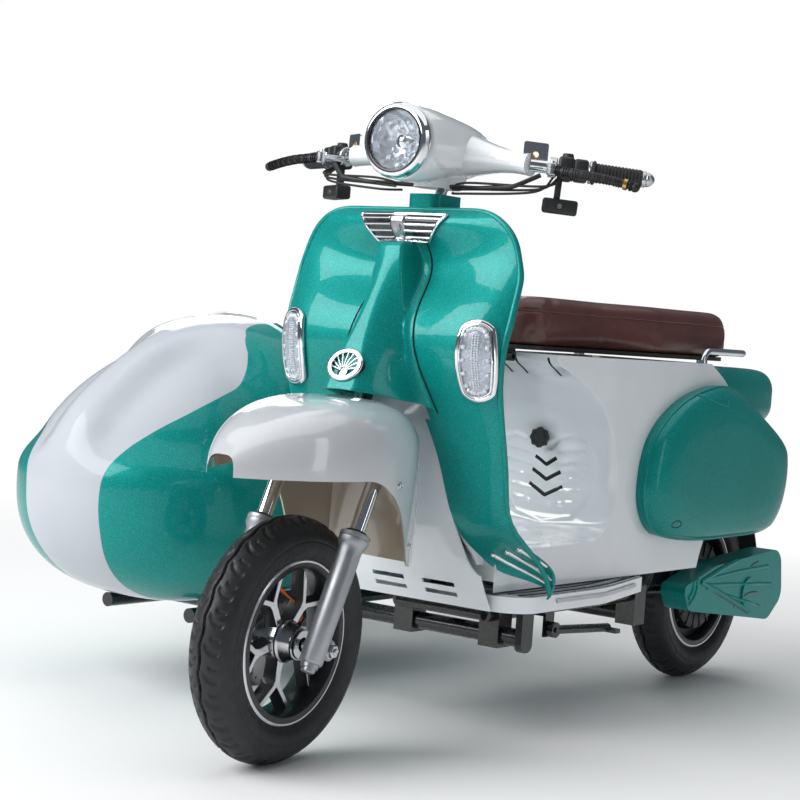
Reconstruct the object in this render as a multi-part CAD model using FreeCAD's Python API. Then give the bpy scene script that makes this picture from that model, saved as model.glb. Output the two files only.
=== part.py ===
import FreeCAD, Part
import math
import os
from FreeCAD import Vector

# Electric step-through scooter with a sidecar on its right side.
# Millimetres. -Y is ahead, +X is the rider's left, +Z is up. The design frame has its zero
# on the ground under the front axle, and the model is moved to its own footprint at the end.

# Whole vehicle
WHEELBASE = 1364.0
WHEEL_RADIUS = 203.0
TYRE_WIDTH = 84.0
RAKE_DEG = 25.0
STEER_REST_DEG = 4.45
STEER_FOOT_AHEAD = 90.0
TOUCH_GAP = 0.3
MOVING_GAP = 6.0
OVERRUN = 40.0
PANEL_WALL = 4.0

# Wheels and tyres
BEAD_RADIUS = 126.0
FLANGE_RADIUS = 135.0
FLANGE_THICKNESS = 4.0
RIM_INNER_WIDTH = 60.0
BARREL_WALL = 5.0
TREAD_CROWN = 20.0
HUB_RADIUS = 33.0
HUB_WIDTH = 96.0
HUB_NOSE_RADIUS = 24.0
AXLE_RADIUS = 8.0
AXLE_FIT = 0.05
SPOKE_COUNT = 5
SPOKE_WIDTH = 17.0
SPOKE_ARM_WIDTH = 11.0
SPOKE_THICKNESS = 16.0
SPOKE_FORK_RADIUS = 78.0
SPOKE_SPREAD_DEG = 21.0
DISC_RADIUS = 82.0
DISC_INNER_RADIUS = 50.0
DISC_THICKNESS = 3.5
DISC_HOLES = 10
DISC_HOLE_RADIUS = 4.5
DISC_OFFSET = 34.0

# Fork
FORK_SPAN = 188.0
FORK_AHEAD_OF_AXLE = 30.0
SLIDER_RADIUS = 20.0
SLIDER_COLLAR_RADIUS = 24.0
SLIDER_COLLAR_HEIGHT = 22.0
SLIDER_LENGTH = 232.0
SLIDER_BELOW_AXLE = 46.0
STANCHION_RADIUS = 13.0
STANCHION_LENGTH = 150.0
YOKE_THICKNESS = 20.0
YOKE_RADIUS = 17.0
STEM_RADIUS = 10.0
STEM_LENGTH = 545.0
LUG_RADIUS = 17.0
LUG_THICKNESS = 16.0
AXLE_HEAD_RADIUS = 13.0
AXLE_HEAD_LENGTH = 10.0

# Front fender
FENDER_WALL = 3.0
FENDER_NOSE_AHEAD = 211.0
FENDER_REAR_BEHIND = 236.0
FENDER_HALF_WIDTH = 126.0
FENDER_CREST = 600.0
FENDER_SIDE_LOW = 476.0
FENDER_TAIL_LOW = 326.0

# Headset and handlebar
LAMP_CENTRE_Y = 192.0
LAMP_CENTRE_Z = 1032.0
LAMP_RING_RADIUS = 66.0
LAMP_RING_DEPTH = 26.0
LAMP_GLASS_RADIUS = 54.0
HEADSET_DEPTH = 150.0
HEADSET_ARM_REACH = 180.0
BAR_RADIUS = 11.0
BAR_HALF_SPAN = 365.0
BAR_INNER_Y = 345.0
BAR_TIP_Y = 445.0
BAR_INNER_Z = 1014.0
BAR_TIP_Z = 1006.0
GRIP_RADIUS = 17.0
GRIP_LENGTH = 84.0
GRIP_END_RADIUS = 13.0
GRIP_END_LENGTH = 22.0
SWITCH_START = 46.0
SWITCH_LENGTH = 56.0
SWITCH_DEPTH = 44.0
SWITCH_HEIGHT = 44.0
PERCH_START = 30.0
PERCH_LENGTH = 15.0
LEVER_LENGTH = 150.0
LEVER_HEIGHT = 14.0
LEVER_THICKNESS = 9.0
LEVER_REACH = 62.0
MIRROR_PLATE_START = -14.0
MIRROR_PLATE_SIZE = 42.0
MIRROR_PLATE_THICKNESS = 4.0
MIRROR_HOLE_RADIUS = 5.25
CABLE_RADIUS = 4.0
NECK_WIDTH = 84.0
NECK_DEPTH = 84.0
NECK_HEIGHT = 60.0
COLLAR_WIDTH = 98.0
COLLAR_DEPTH = 104.0
COLLAR_HEIGHT = 26.0

# Leg shield
SHIELD_TOP = 925.0
SHIELD_FOOT = 250.0
SHIELD_WALL = 6.0
SHIELD_HALF_WIDTH = 239.0
LAMP_X = 195.0
LAMP_Z = 674.0
SIDE_LAMP_HEIGHT = 118.0
SIDE_LAMP_WIDTH = 56.0
SIDE_LAMP_DEPTH = 16.0

# Horn cover, badge and grille
HORN_TOP = 868.0
HORN_LIP = 606.0
HORN_NOSE_Y = 92.0
HORN_HALF_WIDTH = 98.0
BADGE_TOP = 912.0
BADGE_HEIGHT = 78.0
BADGE_TOP_WIDTH = 150.0
BADGE_LOW_WIDTH = 88.0
BADGE_THICKNESS = 7.0
BADGE_RIB = 4.0
BADGE_RIBS = 4
BADGE_PLATE_WIDTH = 34.0
GRILLE_RADIUS = 26.0
GRILLE_DEPTH = 12.0

# Front panel, floor and silver trim
WELL_HALF_WIDTH = 150.0
WELL_TOP = 620.0
FLOOR_HALF_WIDTH = 205.0
FLOOR_FRONT = 384.0
FLOOR_REAR = 905.0
FLOOR_TOP = 268.0
FLOOR_LOW = 240.0
FLOOR_CORNER = 60.0
STRIP_HEIGHT = 7.0
STRIP_THICKNESS = 3.0

# Body under the seat
BODY_HALF_WIDTH = 145.0
BODY_TOP = 688.0
BODY_FRONT = 600.0
BODY_WAIST = 690.0
BODY_REAR = 1440.0
ARCH_RADIUS = 246.0
COWL_BULGE = 48.0
COWL_FRONT = 860.0
COWL_REAR = 1465.0
COWL_TOP = 640.0
COWL_LOW = 318.0
TAIL_REAR = 1552.0
TAIL_LOW = 598.0
TAIL_TOP = 686.0
TAIL_HALF_WIDTH = 112.0

# Seat and rail
SEAT_FRONT = 562.0
SEAT_REAR = 1290.0
SEAT_TOP = 788.0
SEAT_BASE_TOP = 702.0
SEAT_BASE_THICKNESS = 8.0
SEAT_HALF_WIDTH = 132.0
SEAT_EDGE_ROUND = 20.0
SEAT_PIN_RADIUS = 5.0
RAIL_RADIUS = 7.0
RAIL_HEIGHT = 713.0
RAIL_REAR = 1345.0

# Frame, swingarm and motor cover
TUBE_RADIUS = 14.0
HEAD_TUBE_RADIUS = 16.0
RAIL_SPACING = 190.0
FRAME_LOW = 222.0
ARM_SPACING = 128.0
ARM_PIVOT_Y = 1010.0
COVER_INNER_X = 94.0
COVER_OUTER_X = 150.0
SHOCK_RADIUS = 20.0
BATTERY_WIDTH = 170.0
BATTERY_LENGTH = 200.0
BATTERY_HEIGHT = 270.0

# Sidecar
SIDECAR_X = -590.0
SIDECAR_HALF_WIDTH = 266.0
SIDECAR_NOSE = 42.0
SIDECAR_LENGTH = 1470.0
SIDECAR_WAIST_Z = 388.0
SIDECAR_TOP = 708.0
SIDECAR_BOTTOM = 172.0
SIDECAR_WALL = 5.0
SIDECAR_WHEEL_X = -925.0
SIDECAR_WHEEL_Y = 1150.0
CROSS_TUBE_RADIUS = 16.0
CROSS_FRONT_Y = 482.0
CROSS_REAR_Y = 960.0
CROSS_Z = 184.0
SILL_Z = 146.0

# Smaller sizes of single pieces
TYRE_SHOULDER_SHARE = 0.9
HUB_OVERLAP_SHARE = 0.8
MOTOR_WIDTH = 62.0
MOTOR_RADIUS = 96.0
CORNER_SHARE = 0.8
CALLIPER_WALL = 10.0
CALLIPER_ROUND = 6.0
PAD_GAP = 2.0
BRAKE_PLATE = 5.0
BRAKE_ARM_HEIGHT = 16.0
BRAKE_LINK_LOW = -30.0
BRAKE_LINK_HIGH = -6.0
FENDER_SPRING = 470.0
FENDER_STEPS = 16
FENDER_ARCH_POWER = 3.4
FENDER_CREST_SHARE = 0.62
FENDER_NOSE_POWER = 0.6
FENDER_REAR_SHARE = 0.74
FENDER_WIDE_SHARE = 0.6
FENDER_PLAN_POWER = 0.7
FENDER_REAR_TAPER_SHARE = 0.3
FENDER_REAR_DROP_SHARE = 0.25
FENDER_TAIL_ROUND = 30.0
FENDER_FOOT_SHARE = 0.72
FENDER_HEEL_SHARE = 0.86
FENDER_STATION_SHARES = (0.01, 0.05, 0.13, 0.25, 0.4, 0.55, 0.7, 0.82, 0.92, 1.0)
OVAL_STEPS = 16
HEADSET_BUCKET_SHARES = ((0, 0.98, 0.98), (0.3, 1.06, 0.98), (0.7, 1.1, 0.84), (1.0, 0.9, 0.62),
                         (1.12, 0.5, 0.36))
HEADSET_SWEEP = 18.0
HEADSET_ARM_SHARES = ((0, 1.0, 0.62), (0.35, 0.72, 0.46), (0.7, 0.36, 0.28), (1.0, 0.3, 0.26))
NECK_FLARE_SHARE = 1.2
REFLECTOR_DEPTH = 40.0
RING_TAPER_SHARE = 0.25
RING_ROUND_SHARE = 0.3
LENS_DOME = 14.0
LENS_RISE_SHARE = 0.76
MIRROR_PLATE_RISE = -3.0
PLATE_ROUND = 4.0
GRIP_FLANGE_WIDTH = 8.0
GRIP_FLANGE_RADIUS = 20.0
GRIP_TIP_SHARE = 0.7
SWITCH_ROUND = 8.0
PERCH_WALL = 5.0
LEVER_DROP = 16.0
LEVER_KNEE_SHARE = 0.45
LEVER_KNEE = 22.0
LEVER_SPLAY = 26.0
LEVER_FALL = 8.0
CONTROL_BOX_DROP = 64.0
CONTROL_BOX_DEPTH = 30.0
CONTROL_BOX_HEIGHT = 27.0
CONTROL_BOX_LENGTH = 62.0
CONTROL_BOX_ROUND = 6.0
STALK_DEPTH = 14.0
BALL_SHARE = 1.15
CABLE_BEND = 30.0
CABLE_ROUTE = ((212.0, 326.0, 996.0), (176.0, 300.0, 972.0), (110.0, 296.0, 966.0), (30.0, 330.0, 968.0))
SHIELD_REFERENCE_Y = 284.0
SHIELD_BACK_SHARE = 2.2
SHIELD_BLANK_SHARE = 1.06
SHIELD_SHOULDER_SHARE = 0.8
SHIELD_CENTRE_SHARE = 0.3
SHIELD_SECTION_SHARES = (
    (-0.02, 1.62, 1.72, 1.9), (0.09, 1.3, 1.36, 1.52), (0.165, 1.18, 1.21, 1.36), (0.25, 1.09, 1.08, 1.22),
    (0.355, 1.04, 1.01, 1.12), (0.474, 0.93, 0.9, 1.02), (0.578, 0.8, 0.8, 0.985),
                         (0.667, 0.75, 0.765, 0.98),
    (0.756, 0.83, 0.82, 0.985), (0.889, 0.96, 0.95, 1.0), (1.0, 1.0, 1.0, 1.02),
)
SHIELD_OUTLINE_SHARES = (
    (0.86, 0.015, 0.05), (0.885, 0.12, 0.3), (0.96, 0.56, 1.0), (1.0, 0.72, 0.5), (1.0, 0.84, 0.4),
                         (0.86, 1.0, 0.4),
)
SHIELD_WELL_SHARES = (
    (0.85, -0.05, 0.0), (0.85, 0.045, 0.06), (0.56, 0.09, 0.2), (0.42, 0.25, 0.3), (0.25, 0.5, 0.1),
)
HORN_TIP_SHARE = 0.28
HORN_OPENING_SHARE = 0.8
HORN_BACK_Y = 232.0
HORN_TOP_Y = 290.0
HORN_SWEEP_POWER = 0.9
HORN_FLANK_SHARE = 0.74
HORN_FLANK_RISE_SHARE = 0.28
HORN_CREST_SHARE = 0.4
HORN_CREST_RISE_SHARE = 0.86
HORN_REAR_SHARE = 1.25
HORN_STATION_SHARES = (0, 0.25, 0.5, 0.75, 1.0)
BADGE_RIB_SHARE = 0.55
OVAL_ROUND_SHARE = 0.98
SIDE_LAMP_RIM = 7.0
LENS_DEPTH_SHARE = 0.8
GRILLE_HEIGHT_SHARE = 0.2
GRILLE_LEAN_DEG = 22.0
GRILLE_SLOTS = 7
GRILLE_FAN_DEG = 120.0
GRILLE_SLOT_WIDTH = 5.0
GRILLE_SLOT_FLOOR_SHARE = 0.4
GRILLE_SLOT_START_SHARE = 0.2
GRILLE_SLOT_END_SHARE = 1.25
COLUMN_SECTION_SHARES = ((0.1, 0.5, 1.2, 1.75), (0.5, 0.36, 1.0, 1.5), (0.85, 0.26, 0.95, 1.38),
                         (1.0, 0.22, 0.95, 1.3))
COLUMN_ROUND_SHARE = 0.3
COLLAR_ROUND_SHARE = 0.5
WELL_BACK_Y = 300.0
FRONT_PANEL_SHARES = ((0, 1.0), (0.02, 0.6), (0.3, 0.28), (1.0, 0.0))
PANEL_SLOT_ROWS = 2
PANEL_SLOT_X = 20.0
PANEL_SLOT_LENGTH = 70.0
PANEL_SLOT_Z = 262.0
PANEL_SLOT_PITCH = 18.0
PANEL_SLOT_HEIGHT = 8.0
FLOOR_REAR_HALF_WIDTH = 152.0
FLOOR_TAPER_SHARE = 0.55
FLOOR_RIDGES = 8
FLOOR_RIDGE_PITCH = 30.0
FLOOR_RIDGE_WIDTH = 12.0
FLOOR_RIDGE_SHARE = 0.6
FLOOR_RIDGE_HEIGHT = 3.0
BODY_FRONT_SHARES = ((0, 0), (0.35, 0.2), (0.85, 0.55), (1.45, 1.0))
BODY_TAIL_TOP = 588.0
BODY_SLANT_Y = 1130.0
BODY_SHOULDER_Y = 1300.0
BODY_SHOULDER_Z = 600.0
BODY_PLAN_SHARES = ((0.74, 0.0, 0.3), (1.0, 0.2, 0.8), (1.0, 0.7, 0.8), (0.72, 1.0, 0.2))
HINGE_AHEAD = 15.0
HINGE_BELOW = 8.0
KNUCKLE_LENGTH = 48.0
KNUCKLE_RADIUS = 9.0
EAR_THICKNESS = 6.0
SEAT_BASE_INSET = 6.0
COWL_OUTLINE_SHARES = (
    (0.0, 0.38), (0.09, 0.79), (0.35, 0.985), (0.65, 1.0), (0.9, 0.83), (1.0, 0.5), (0.94, 0.14),
                       (0.62, 0.0), (0.17, 0.06),
)
COWL_STATION_SHARES = ((0, 1.0), (0.55, 0.97), (0.88, 0.86), (1.0, 0.62))
TAIL_SECTION_SHARES = (
    (0, 1.0, 0.94, 0.0), (0.3, 1.0, 0.95, 0.0), (0.6, 1.0, 0.95, 0.0), (0.8, 0.95, 0.92, 0.06),
                       (0.93, 0.82, 0.82, 0.15),
    (1.0, 0.62, 0.66, 0.28),
)
TAIL_ROUND_SHARE = 0.35
TAIL_LAMP_SHARE = 0.42
TAIL_LAMP_DEPTH = 12.0
SEAT_PLAN_SHARES = ((0.59, 0.0, 0.35), (0.72, 0.3, 1.2), (1.0, 0.52, 1.2), (1.0, 1.0, 0.8))
SEAT_SECTION_SHARES = ((0, 0.5), (0.25, 0.05), (0.7, 0.05), (0.92, 0.4), (1.0, 1.1))
RAIL_START_SHARE = 0.72
RAIL_BEND = 110.0
DOWN_TUBE_BEND = 60.0
DOWN_TUBE_START_SHARE = 0.4
DOWN_TUBE_SET_BACK = 60.0
DOWN_TUBE_DROP = 190.0
SEAT_TUBE_LEAN = 50.0
SEAT_TUBE_KNEE_Z = 450.0
SEAT_TUBE_REAR = 1400.0
SEAT_TUBE_TOP = 560.0
SIDE_TUBE_BEND = 60.0
BRACE_RADIUS = 11.0
COVER_FRONT = 1072.0
COVER_REAR = 1526.0
COVER_LOW = 138.0
COVER_TOP = 292.0
COVER_OUTLINE_SHARES = ((0.0, 0.62, 0.1), (0.06, 0.3, 0.2), (0.86, 0.0, 0.25), (1.0, 0.3, 0.25),
                        (0.96, 1.0, 0.25), (0.3, 0.86, 0.4))
COVER_BOSS_RADIUS = 34.0
COVER_BOSS_RISE = 4.0
SHOCK_X = 73.0
SHOCK_LOW_Y = 1262.0
SHOCK_HIGH_Y = 1140.0
SHOCK_HIGH_Z = 476.0
SHOCK_EYE_RADIUS = 10.0
SHOCK_EYE_LENGTH = 32.0
SHOCK_ROOM_SHARE = 0.2
SHOCK_ROD_RADIUS = 7.0
SHOCK_BODY_RADIUS = 13.0
SPRING_START_SHARE = 0.3
SPRING_END_SHARE = 0.78
SPRING_COILS = 7
SPRING_WIRE = 5.0
BATTERY_FRONT = 770.0
GUARD_GAP = 20.0
GUARD_SIDE = 14.0
GUARD_START_DEG = 40.0
GUARD_END_DEG = -5.0
GUARD_CROWN = 26.0
GUARD_SKIRT = 40.0
SIDE_GUARD_START_DEG = 76.0
SIDE_GUARD_SWEEP_DEG = -150.0
STAND_OUT = 74.0
STAND_Y = 560.0
STAND_DROP = 26.0
STAND_LENGTH = 190.0
STAND_SINK = 12.0
STAND_THICKNESS = 12.0
STAND_EYE_RADIUS = 14.0
STAND_RADIUS = 8.0
STAND_FOOT = 46.0
STAND_PLATE = 6.0
SIDECAR_STEPS = 20
SIDECAR_POWER = 2.5
SIDECAR_SECTION_SHARES = (
    (0.0, 0.05, 0.05, 0.05), (0.008, 0.3, 0.24, 0.3), (0.035, 0.6, 0.46, 0.62), (0.08, 0.84, 0.64, 0.86),
    (0.14, 0.97, 0.82, 1.0), (0.22, 1.0, 0.97, 1.04), (0.36, 1.0, 1.06, 1.04), (0.6, 1.0, 1.08, 1.0),
    (0.8, 0.92, 1.12, 0.94), (0.93, 0.7, 0.8, 0.7), (1.0, 0.3, 0.3, 0.3),
)
SIDECAR_RIM_SHARES = (
    (0.29, 1.4, 0.0), (0.32, 0.74, 0.08), (0.36, 0.65, 0.1), (0.72, 0.66, 0.2), (0.83, 1.4, 0.0),
)
TRIM_WIDTH = 12.0
TRIM_THICKNESS = 3.0
BENCH_START_SHARE = 0.38
BENCH_HEIGHT = 130.0
CUSHION_LENGTH = 360.0
CUSHION_THICKNESS = 80.0
CUSHION_WIDTH = 400.0
CUSHION_ROUND = 26.0
BACKREST_HEIGHT = 380.0
BACKREST_LEAN_DEG = 14.0
CROSS_END_X = 157.0
POST_HALF_DEPTH = 18.0
POST_THICKNESS = 14.0
POST_BOTTOM = 160.0
STEP_LENGTH = 70.0
STEP_BEND = 90.0
SILL_OFFSET = 110.0
SILL_FRONT_Y = 300.0
POST_RADIUS = 12.0
CARRIER_THICKNESS = 6.0
CARRIER_WIDTH = 40.0
CLAMP_WIDTH = 42.0
CLAMP_WALL = 5.0
ARM_RADIUS = 11.0
ARM_HOUSING_RADIUS = 17.0
ARM_HOUSING_RIM = 3.0
HEADSET_REAR_Y = 420.0
NECK_AHEAD = 16.0


# Shared construction


def rod(start, end, radius):
    return Part.makeCylinder(radius, (end - start).Length, start, end - start)


def taper(start, end, first_radius, last_radius):
    return Part.makeCone(first_radius, last_radius, (end - start).Length, start, end - start)


def block(x0, x1, y0, y1, z0, z1):
    return Part.makeBox(x1 - x0, y1 - y0, z1 - z0, Vector(x0, y0, z0))


def joined(shapes):
    return shapes[0].multiFuse(shapes[1:]).removeSplitter()


def mirrored(shape):
    return shape.mirror(Vector(0, 0, 0), Vector(1, 0, 0))


def pair(shape):
    return Part.makeCompound([shape, mirrored(shape)])


def side_plane(x):
    return lambda y, z: Vector(x, y, z)


def front_plane(y):
    return lambda x, z: Vector(x, y, z)


def plan_plane(z):
    return lambda x, y: Vector(x, y, z)


def rounded_edges(points, radii, closed):
    """Straight edges through the points, with a tangent arc of its own radius at each corner."""
    count = len(points)
    corners = []
    for index, corner in enumerate(points):
        radius = radii[index]
        if radius == 0 or (not closed and index in (0, count - 1)):
            corners.append((corner, None, corner))
            continue
        before = (points[index - 1] - corner).normalize()
        after = (points[(index + 1) % count] - corner).normalize()
        half = before.getAngle(after) / 2
        inward = (before + after).normalize()
        reach = radius / math.tan(half)
        middle = corner + inward * (radius / math.sin(half) - radius)
        corners.append((corner + before * reach, middle, corner + after * reach))
    edges = []
    for index, (start, middle, end) in enumerate(corners):
        if middle is not None:
            edges.append(Part.Arc(start, middle, end).toShape())
        if closed or index < count - 1:
            edges.append(Part.LineSegment(end, corners[(index + 1) % count][0]).toShape())
    return edges


def outline(corners, place):
    """Closed wire from corners (first, second, corner radius) set in a plane."""
    points = [place(first, second) for first, second, _ in corners]
    return Part.Wire(rounded_edges(points, [radius for _, _, radius in corners], True))


def prism(corners, place, sweep):
    return Part.Face(outline(corners, place)).extrude(sweep)


def turned(corners, place, centre, axis):
    return Part.Face(outline(corners, place)).revolve(centre, axis, 360)


def bent_tube(points, radius, bend):
    """Round tube along straight runs joined by tangent arcs."""
    path = Part.Wire(rounded_edges(points, [bend] * len(points), False))
    ring = Part.Wire(Part.makeCircle(radius, points[0], points[1] - points[0]))
    return path.makePipeShell([ring], True, True)


def spline(points):
    curve = Part.BSplineCurve()
    curve.interpolate(points)
    return curve.toShape()


def loop_spline(points):
    curve = Part.BSplineCurve()
    curve.interpolate(points, PeriodicFlag=True)
    return Part.Wire(curve.toShape())


def super_ellipse(angle, half_width, half_height, power):
    across = math.cos(angle)
    up = math.sin(angle)
    first = math.copysign(abs(across) ** (2 / power), across)
    second = math.copysign(abs(up) ** (2 / power), up)
    return half_width * first, half_height * second


# Steering frame: along the axis from the ground, ahead of it, and across


def steer_along():
    rake = math.radians(RAKE_DEG)
    return Vector(0, math.sin(rake), math.cos(rake))


def steer_ahead():
    rake = math.radians(RAKE_DEG)
    return Vector(0, -math.cos(rake), math.sin(rake))


def steer_point(across, ahead, along):
    foot = Vector(0, -STEER_FOOT_AHEAD, 0)
    return foot + Vector(across, 0, 0) + steer_ahead() * ahead + steer_along() * along


def steered(shape):
    """Turn a straight-ahead piece to the angle at which the front end rests."""
    turned_shape = shape.copy()
    turned_shape.rotate(steer_point(0, 0, 0), steer_along(), STEER_REST_DEG)
    return turned_shape


def axle_along():
    axle = Vector(0, 0, WHEEL_RADIUS) - steer_point(0, 0, 0)
    return axle.dot(steer_along())


def fork_ahead():
    axle = Vector(0, 0, WHEEL_RADIUS) - steer_point(0, 0, 0)
    return axle.dot(steer_ahead()) + FORK_AHEAD_OF_AXLE


# Wheels


def tyre(centre):
    bead = RIM_INNER_WIDTH / 2
    bulge = TYRE_WIDTH / 2
    shoulder = bulge * TYRE_SHOULDER_SHARE
    shoulder_radius = WHEEL_RADIUS - TREAD_CROWN
    widest = (FLANGE_RADIUS + shoulder_radius) / 2

    def at(across, radius):
        return centre + Vector(across, 0, radius)

    edges = [
        Part.LineSegment(at(-bead, BEAD_RADIUS), at(bead, BEAD_RADIUS)).toShape(),
        Part.LineSegment(at(bead, BEAD_RADIUS), at(bead, FLANGE_RADIUS)).toShape(),
        Part.Arc(at(bead, FLANGE_RADIUS), at(bulge, widest), at(shoulder, shoulder_radius)).toShape(),
        Part.Arc(at(shoulder, shoulder_radius), at(0, WHEEL_RADIUS),
                 at(-shoulder, shoulder_radius)).toShape(),
        Part.Arc(at(-shoulder, shoulder_radius), at(-bulge, widest), at(-bead, FLANGE_RADIUS)).toShape(),
        Part.LineSegment(at(-bead, FLANGE_RADIUS), at(-bead, BEAD_RADIUS)).toShape(),
    ]
    return Part.Face(Part.Wire(edges)).revolve(centre, Vector(1, 0, 0), 360)


def rim_barrel(centre):
    inner = RIM_INNER_WIDTH / 2
    outer = inner + FLANGE_THICKNESS
    low = BEAD_RADIUS - BARREL_WALL
    corners = [
        (-outer, low, 0), (-outer, FLANGE_RADIUS, 0), (-inner, FLANGE_RADIUS, 0),
        (-inner, BEAD_RADIUS, 0), (inner, BEAD_RADIUS, 0), (inner, FLANGE_RADIUS, 0),
        (outer, FLANGE_RADIUS, 0), (outer, low, 0),
    ]
    return turned(corners, lambda across, radius: centre + Vector(across, 0, radius), centre,
                  Vector(1, 0, 0))


def spoke(centre):
    """One Y spoke: a stem from the hub that forks into two arms to the rim."""
    half = SPOKE_WIDTH / 2
    arm = SPOKE_ARM_WIDTH
    end = BEAD_RADIUS - BARREL_WALL / 2
    spread = math.radians(SPOKE_SPREAD_DEG)
    reach = end * math.sin(spread)
    top = end * math.cos(spread)
    root = HUB_RADIUS * HUB_OVERLAP_SHARE
    place = lambda across, up: centre + Vector(-SPOKE_THICKNESS / 2, across, up)
    sweep = Vector(SPOKE_THICKNESS, 0, 0)
    stem = [(-half, root, 0), (half, root, 0), (half, SPOKE_FORK_RADIUS, 0), (-half, SPOKE_FORK_RADIUS, 0)]
    shapes = [prism(stem, place, sweep)]
    for side in (-1, 1):
        branch = [
            (0, SPOKE_FORK_RADIUS - arm, 0), (side * half, SPOKE_FORK_RADIUS - arm / 2, 0),
            (side * (reach + arm / 2), top - arm / 4, 0), (side * (reach - arm / 2), top + arm / 4, 0),
            (0, SPOKE_FORK_RADIUS, 0),
        ]
        shapes.append(prism(branch, place, sweep))
    return joined(shapes)


def hub(centre):
    half = HUB_WIDTH / 2
    corners = [
        (-half, AXLE_RADIUS + AXLE_FIT, 0), (-half, HUB_NOSE_RADIUS, 0),
        (-SPOKE_THICKNESS, HUB_RADIUS, 0), (SPOKE_THICKNESS, HUB_RADIUS, 0),
        (half, HUB_NOSE_RADIUS, 0), (half, AXLE_RADIUS + AXLE_FIT, 0),
    ]
    return turned(corners, lambda across, radius: centre + Vector(across, 0, radius), centre,
                  Vector(1, 0, 0))


def cast_rim(centre):
    shapes = [rim_barrel(centre), hub(centre)]
    for index in range(SPOKE_COUNT):
        arm = spoke(centre)
        arm.rotate(centre, Vector(1, 0, 0), 360 * index / SPOKE_COUNT)
        shapes.append(arm)
    bore = rod(centre - Vector(HUB_WIDTH, 0, 0), centre + Vector(HUB_WIDTH, 0, 0), AXLE_RADIUS + AXLE_FIT)
    return joined(shapes).cut(bore)


def motor_rim(centre):
    """Rim whose middle is the round case of the hub motor."""
    half = MOTOR_WIDTH / 2
    web = SPOKE_THICKNESS / 2
    low = BEAD_RADIUS - BARREL_WALL / 2
    corners = [
        (-half, AXLE_RADIUS + AXLE_FIT, 0), (-half, MOTOR_RADIUS, 0), (-web, MOTOR_RADIUS, 0),
        (-web, low, 0), (web, low, 0), (web, MOTOR_RADIUS, 0), (half, MOTOR_RADIUS, 0),
        (half, AXLE_RADIUS + AXLE_FIT, 0),
    ]
    case = turned(corners, lambda across, radius: centre + Vector(across, 0, radius), centre,
                  Vector(1, 0, 0))
    return joined([rim_barrel(centre), case])


def hub_radius(offset):
    """Radius of the hub's cone at a distance from the wheel's middle plane."""
    share = (HUB_WIDTH / 2 - offset) / (HUB_WIDTH / 2 - SPOKE_THICKNESS)
    return HUB_NOSE_RADIUS + (HUB_RADIUS - HUB_NOSE_RADIUS) * share


def brake_disc(centre):
    """Drilled disc on the right side of the hub."""
    back = centre - Vector(DISC_OFFSET + DISC_THICKNESS, 0, 0)
    sweep = Vector(DISC_THICKNESS, 0, 0)
    disc = rod(back, back + sweep, DISC_RADIUS)
    disc = disc.cut(rod(back - sweep, back + sweep * 2, hub_radius(DISC_OFFSET) + TOUCH_GAP))
    middle = (DISC_RADIUS + DISC_INNER_RADIUS) / 2
    for index in range(DISC_HOLES):
        angle = 2 * math.pi * index / DISC_HOLES
        spot = back + Vector(0, middle * math.cos(angle), middle * math.sin(angle))
        disc = disc.cut(rod(spot - sweep, spot + sweep * 2, DISC_HOLE_RADIUS))
    return disc


# Fork and front brake


def fork():
    """Stem, lower yoke and the chromed upper tubes."""
    reach = FORK_SPAN / 2
    ahead = fork_ahead()
    slider_top = axle_along() + SLIDER_LENGTH - SLIDER_BELOW_AXLE
    yoke_low = slider_top + STANCHION_LENGTH - YOKE_THICKNESS
    yoke_top = yoke_low + YOKE_THICKNESS
    clamp = YOKE_RADIUS
    place = lambda across, forward: steer_point(across, forward, yoke_low)
    corners = [
        (-reach - clamp, ahead - clamp, clamp * CORNER_SHARE),
        (-clamp, -clamp - ahead / 2, clamp * CORNER_SHARE),
        (clamp, -clamp - ahead / 2, clamp * CORNER_SHARE),
        (reach + clamp, ahead - clamp, clamp * CORNER_SHARE),
        (reach + clamp, ahead + clamp, clamp * CORNER_SHARE),
        (-reach - clamp, ahead + clamp, clamp * CORNER_SHARE),
    ]
    shapes = [prism(corners, place, steer_along() * YOKE_THICKNESS)]
    for side in (-1, 1):
        across = side * reach
        shapes.append(rod(steer_point(across, ahead, slider_top),
                          steer_point(across, ahead, yoke_top), STANCHION_RADIUS))
    shapes.append(rod(steer_point(0, 0, yoke_low), steer_point(0, 0, yoke_top + STEM_LENGTH), STEM_RADIUS))
    return joined(shapes)


def front_axle():
    """Axle between the sliders, with a nut at each end."""
    reach = FORK_SPAN / 2 + LUG_THICKNESS / 2
    centre = Vector(0, 0, WHEEL_RADIUS)
    shapes = [rod(centre - Vector(reach, 0, 0), centre + Vector(reach, 0, 0), AXLE_RADIUS)]
    for side in (-1, 1):
        face = centre + Vector(side * reach, 0, 0)
        shapes.append(rod(face, face + Vector(side * AXLE_HEAD_LENGTH, 0, 0), AXLE_HEAD_RADIUS))
    return joined(shapes)


def fork_slider(side):
    across = side * FORK_SPAN / 2
    ahead = fork_ahead()
    low = axle_along() - SLIDER_BELOW_AXLE
    top = low + SLIDER_LENGTH
    axis = [steer_point(across, ahead, along) for along in (low, top - SLIDER_COLLAR_HEIGHT, top)]
    axle = Vector(across, 0, WHEEL_RADIUS)
    half = Vector(LUG_THICKNESS / 2, 0, 0)
    lug = rod(axle - half, axle + half, LUG_RADIUS)
    web = prism(
        [(0, -LUG_RADIUS, 0), (ahead, -LUG_RADIUS, 0), (ahead, LUG_RADIUS, 0), (0, LUG_RADIUS, 0)],
        lambda forward, along: steer_point(across - LUG_THICKNESS / 2, forward, axle_along() + along),
        half * 2)
    return joined([rod(axis[0], axis[1], SLIDER_RADIUS), rod(axis[1], axis[2], SLIDER_COLLAR_RADIUS), lug,
                   web])


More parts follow.
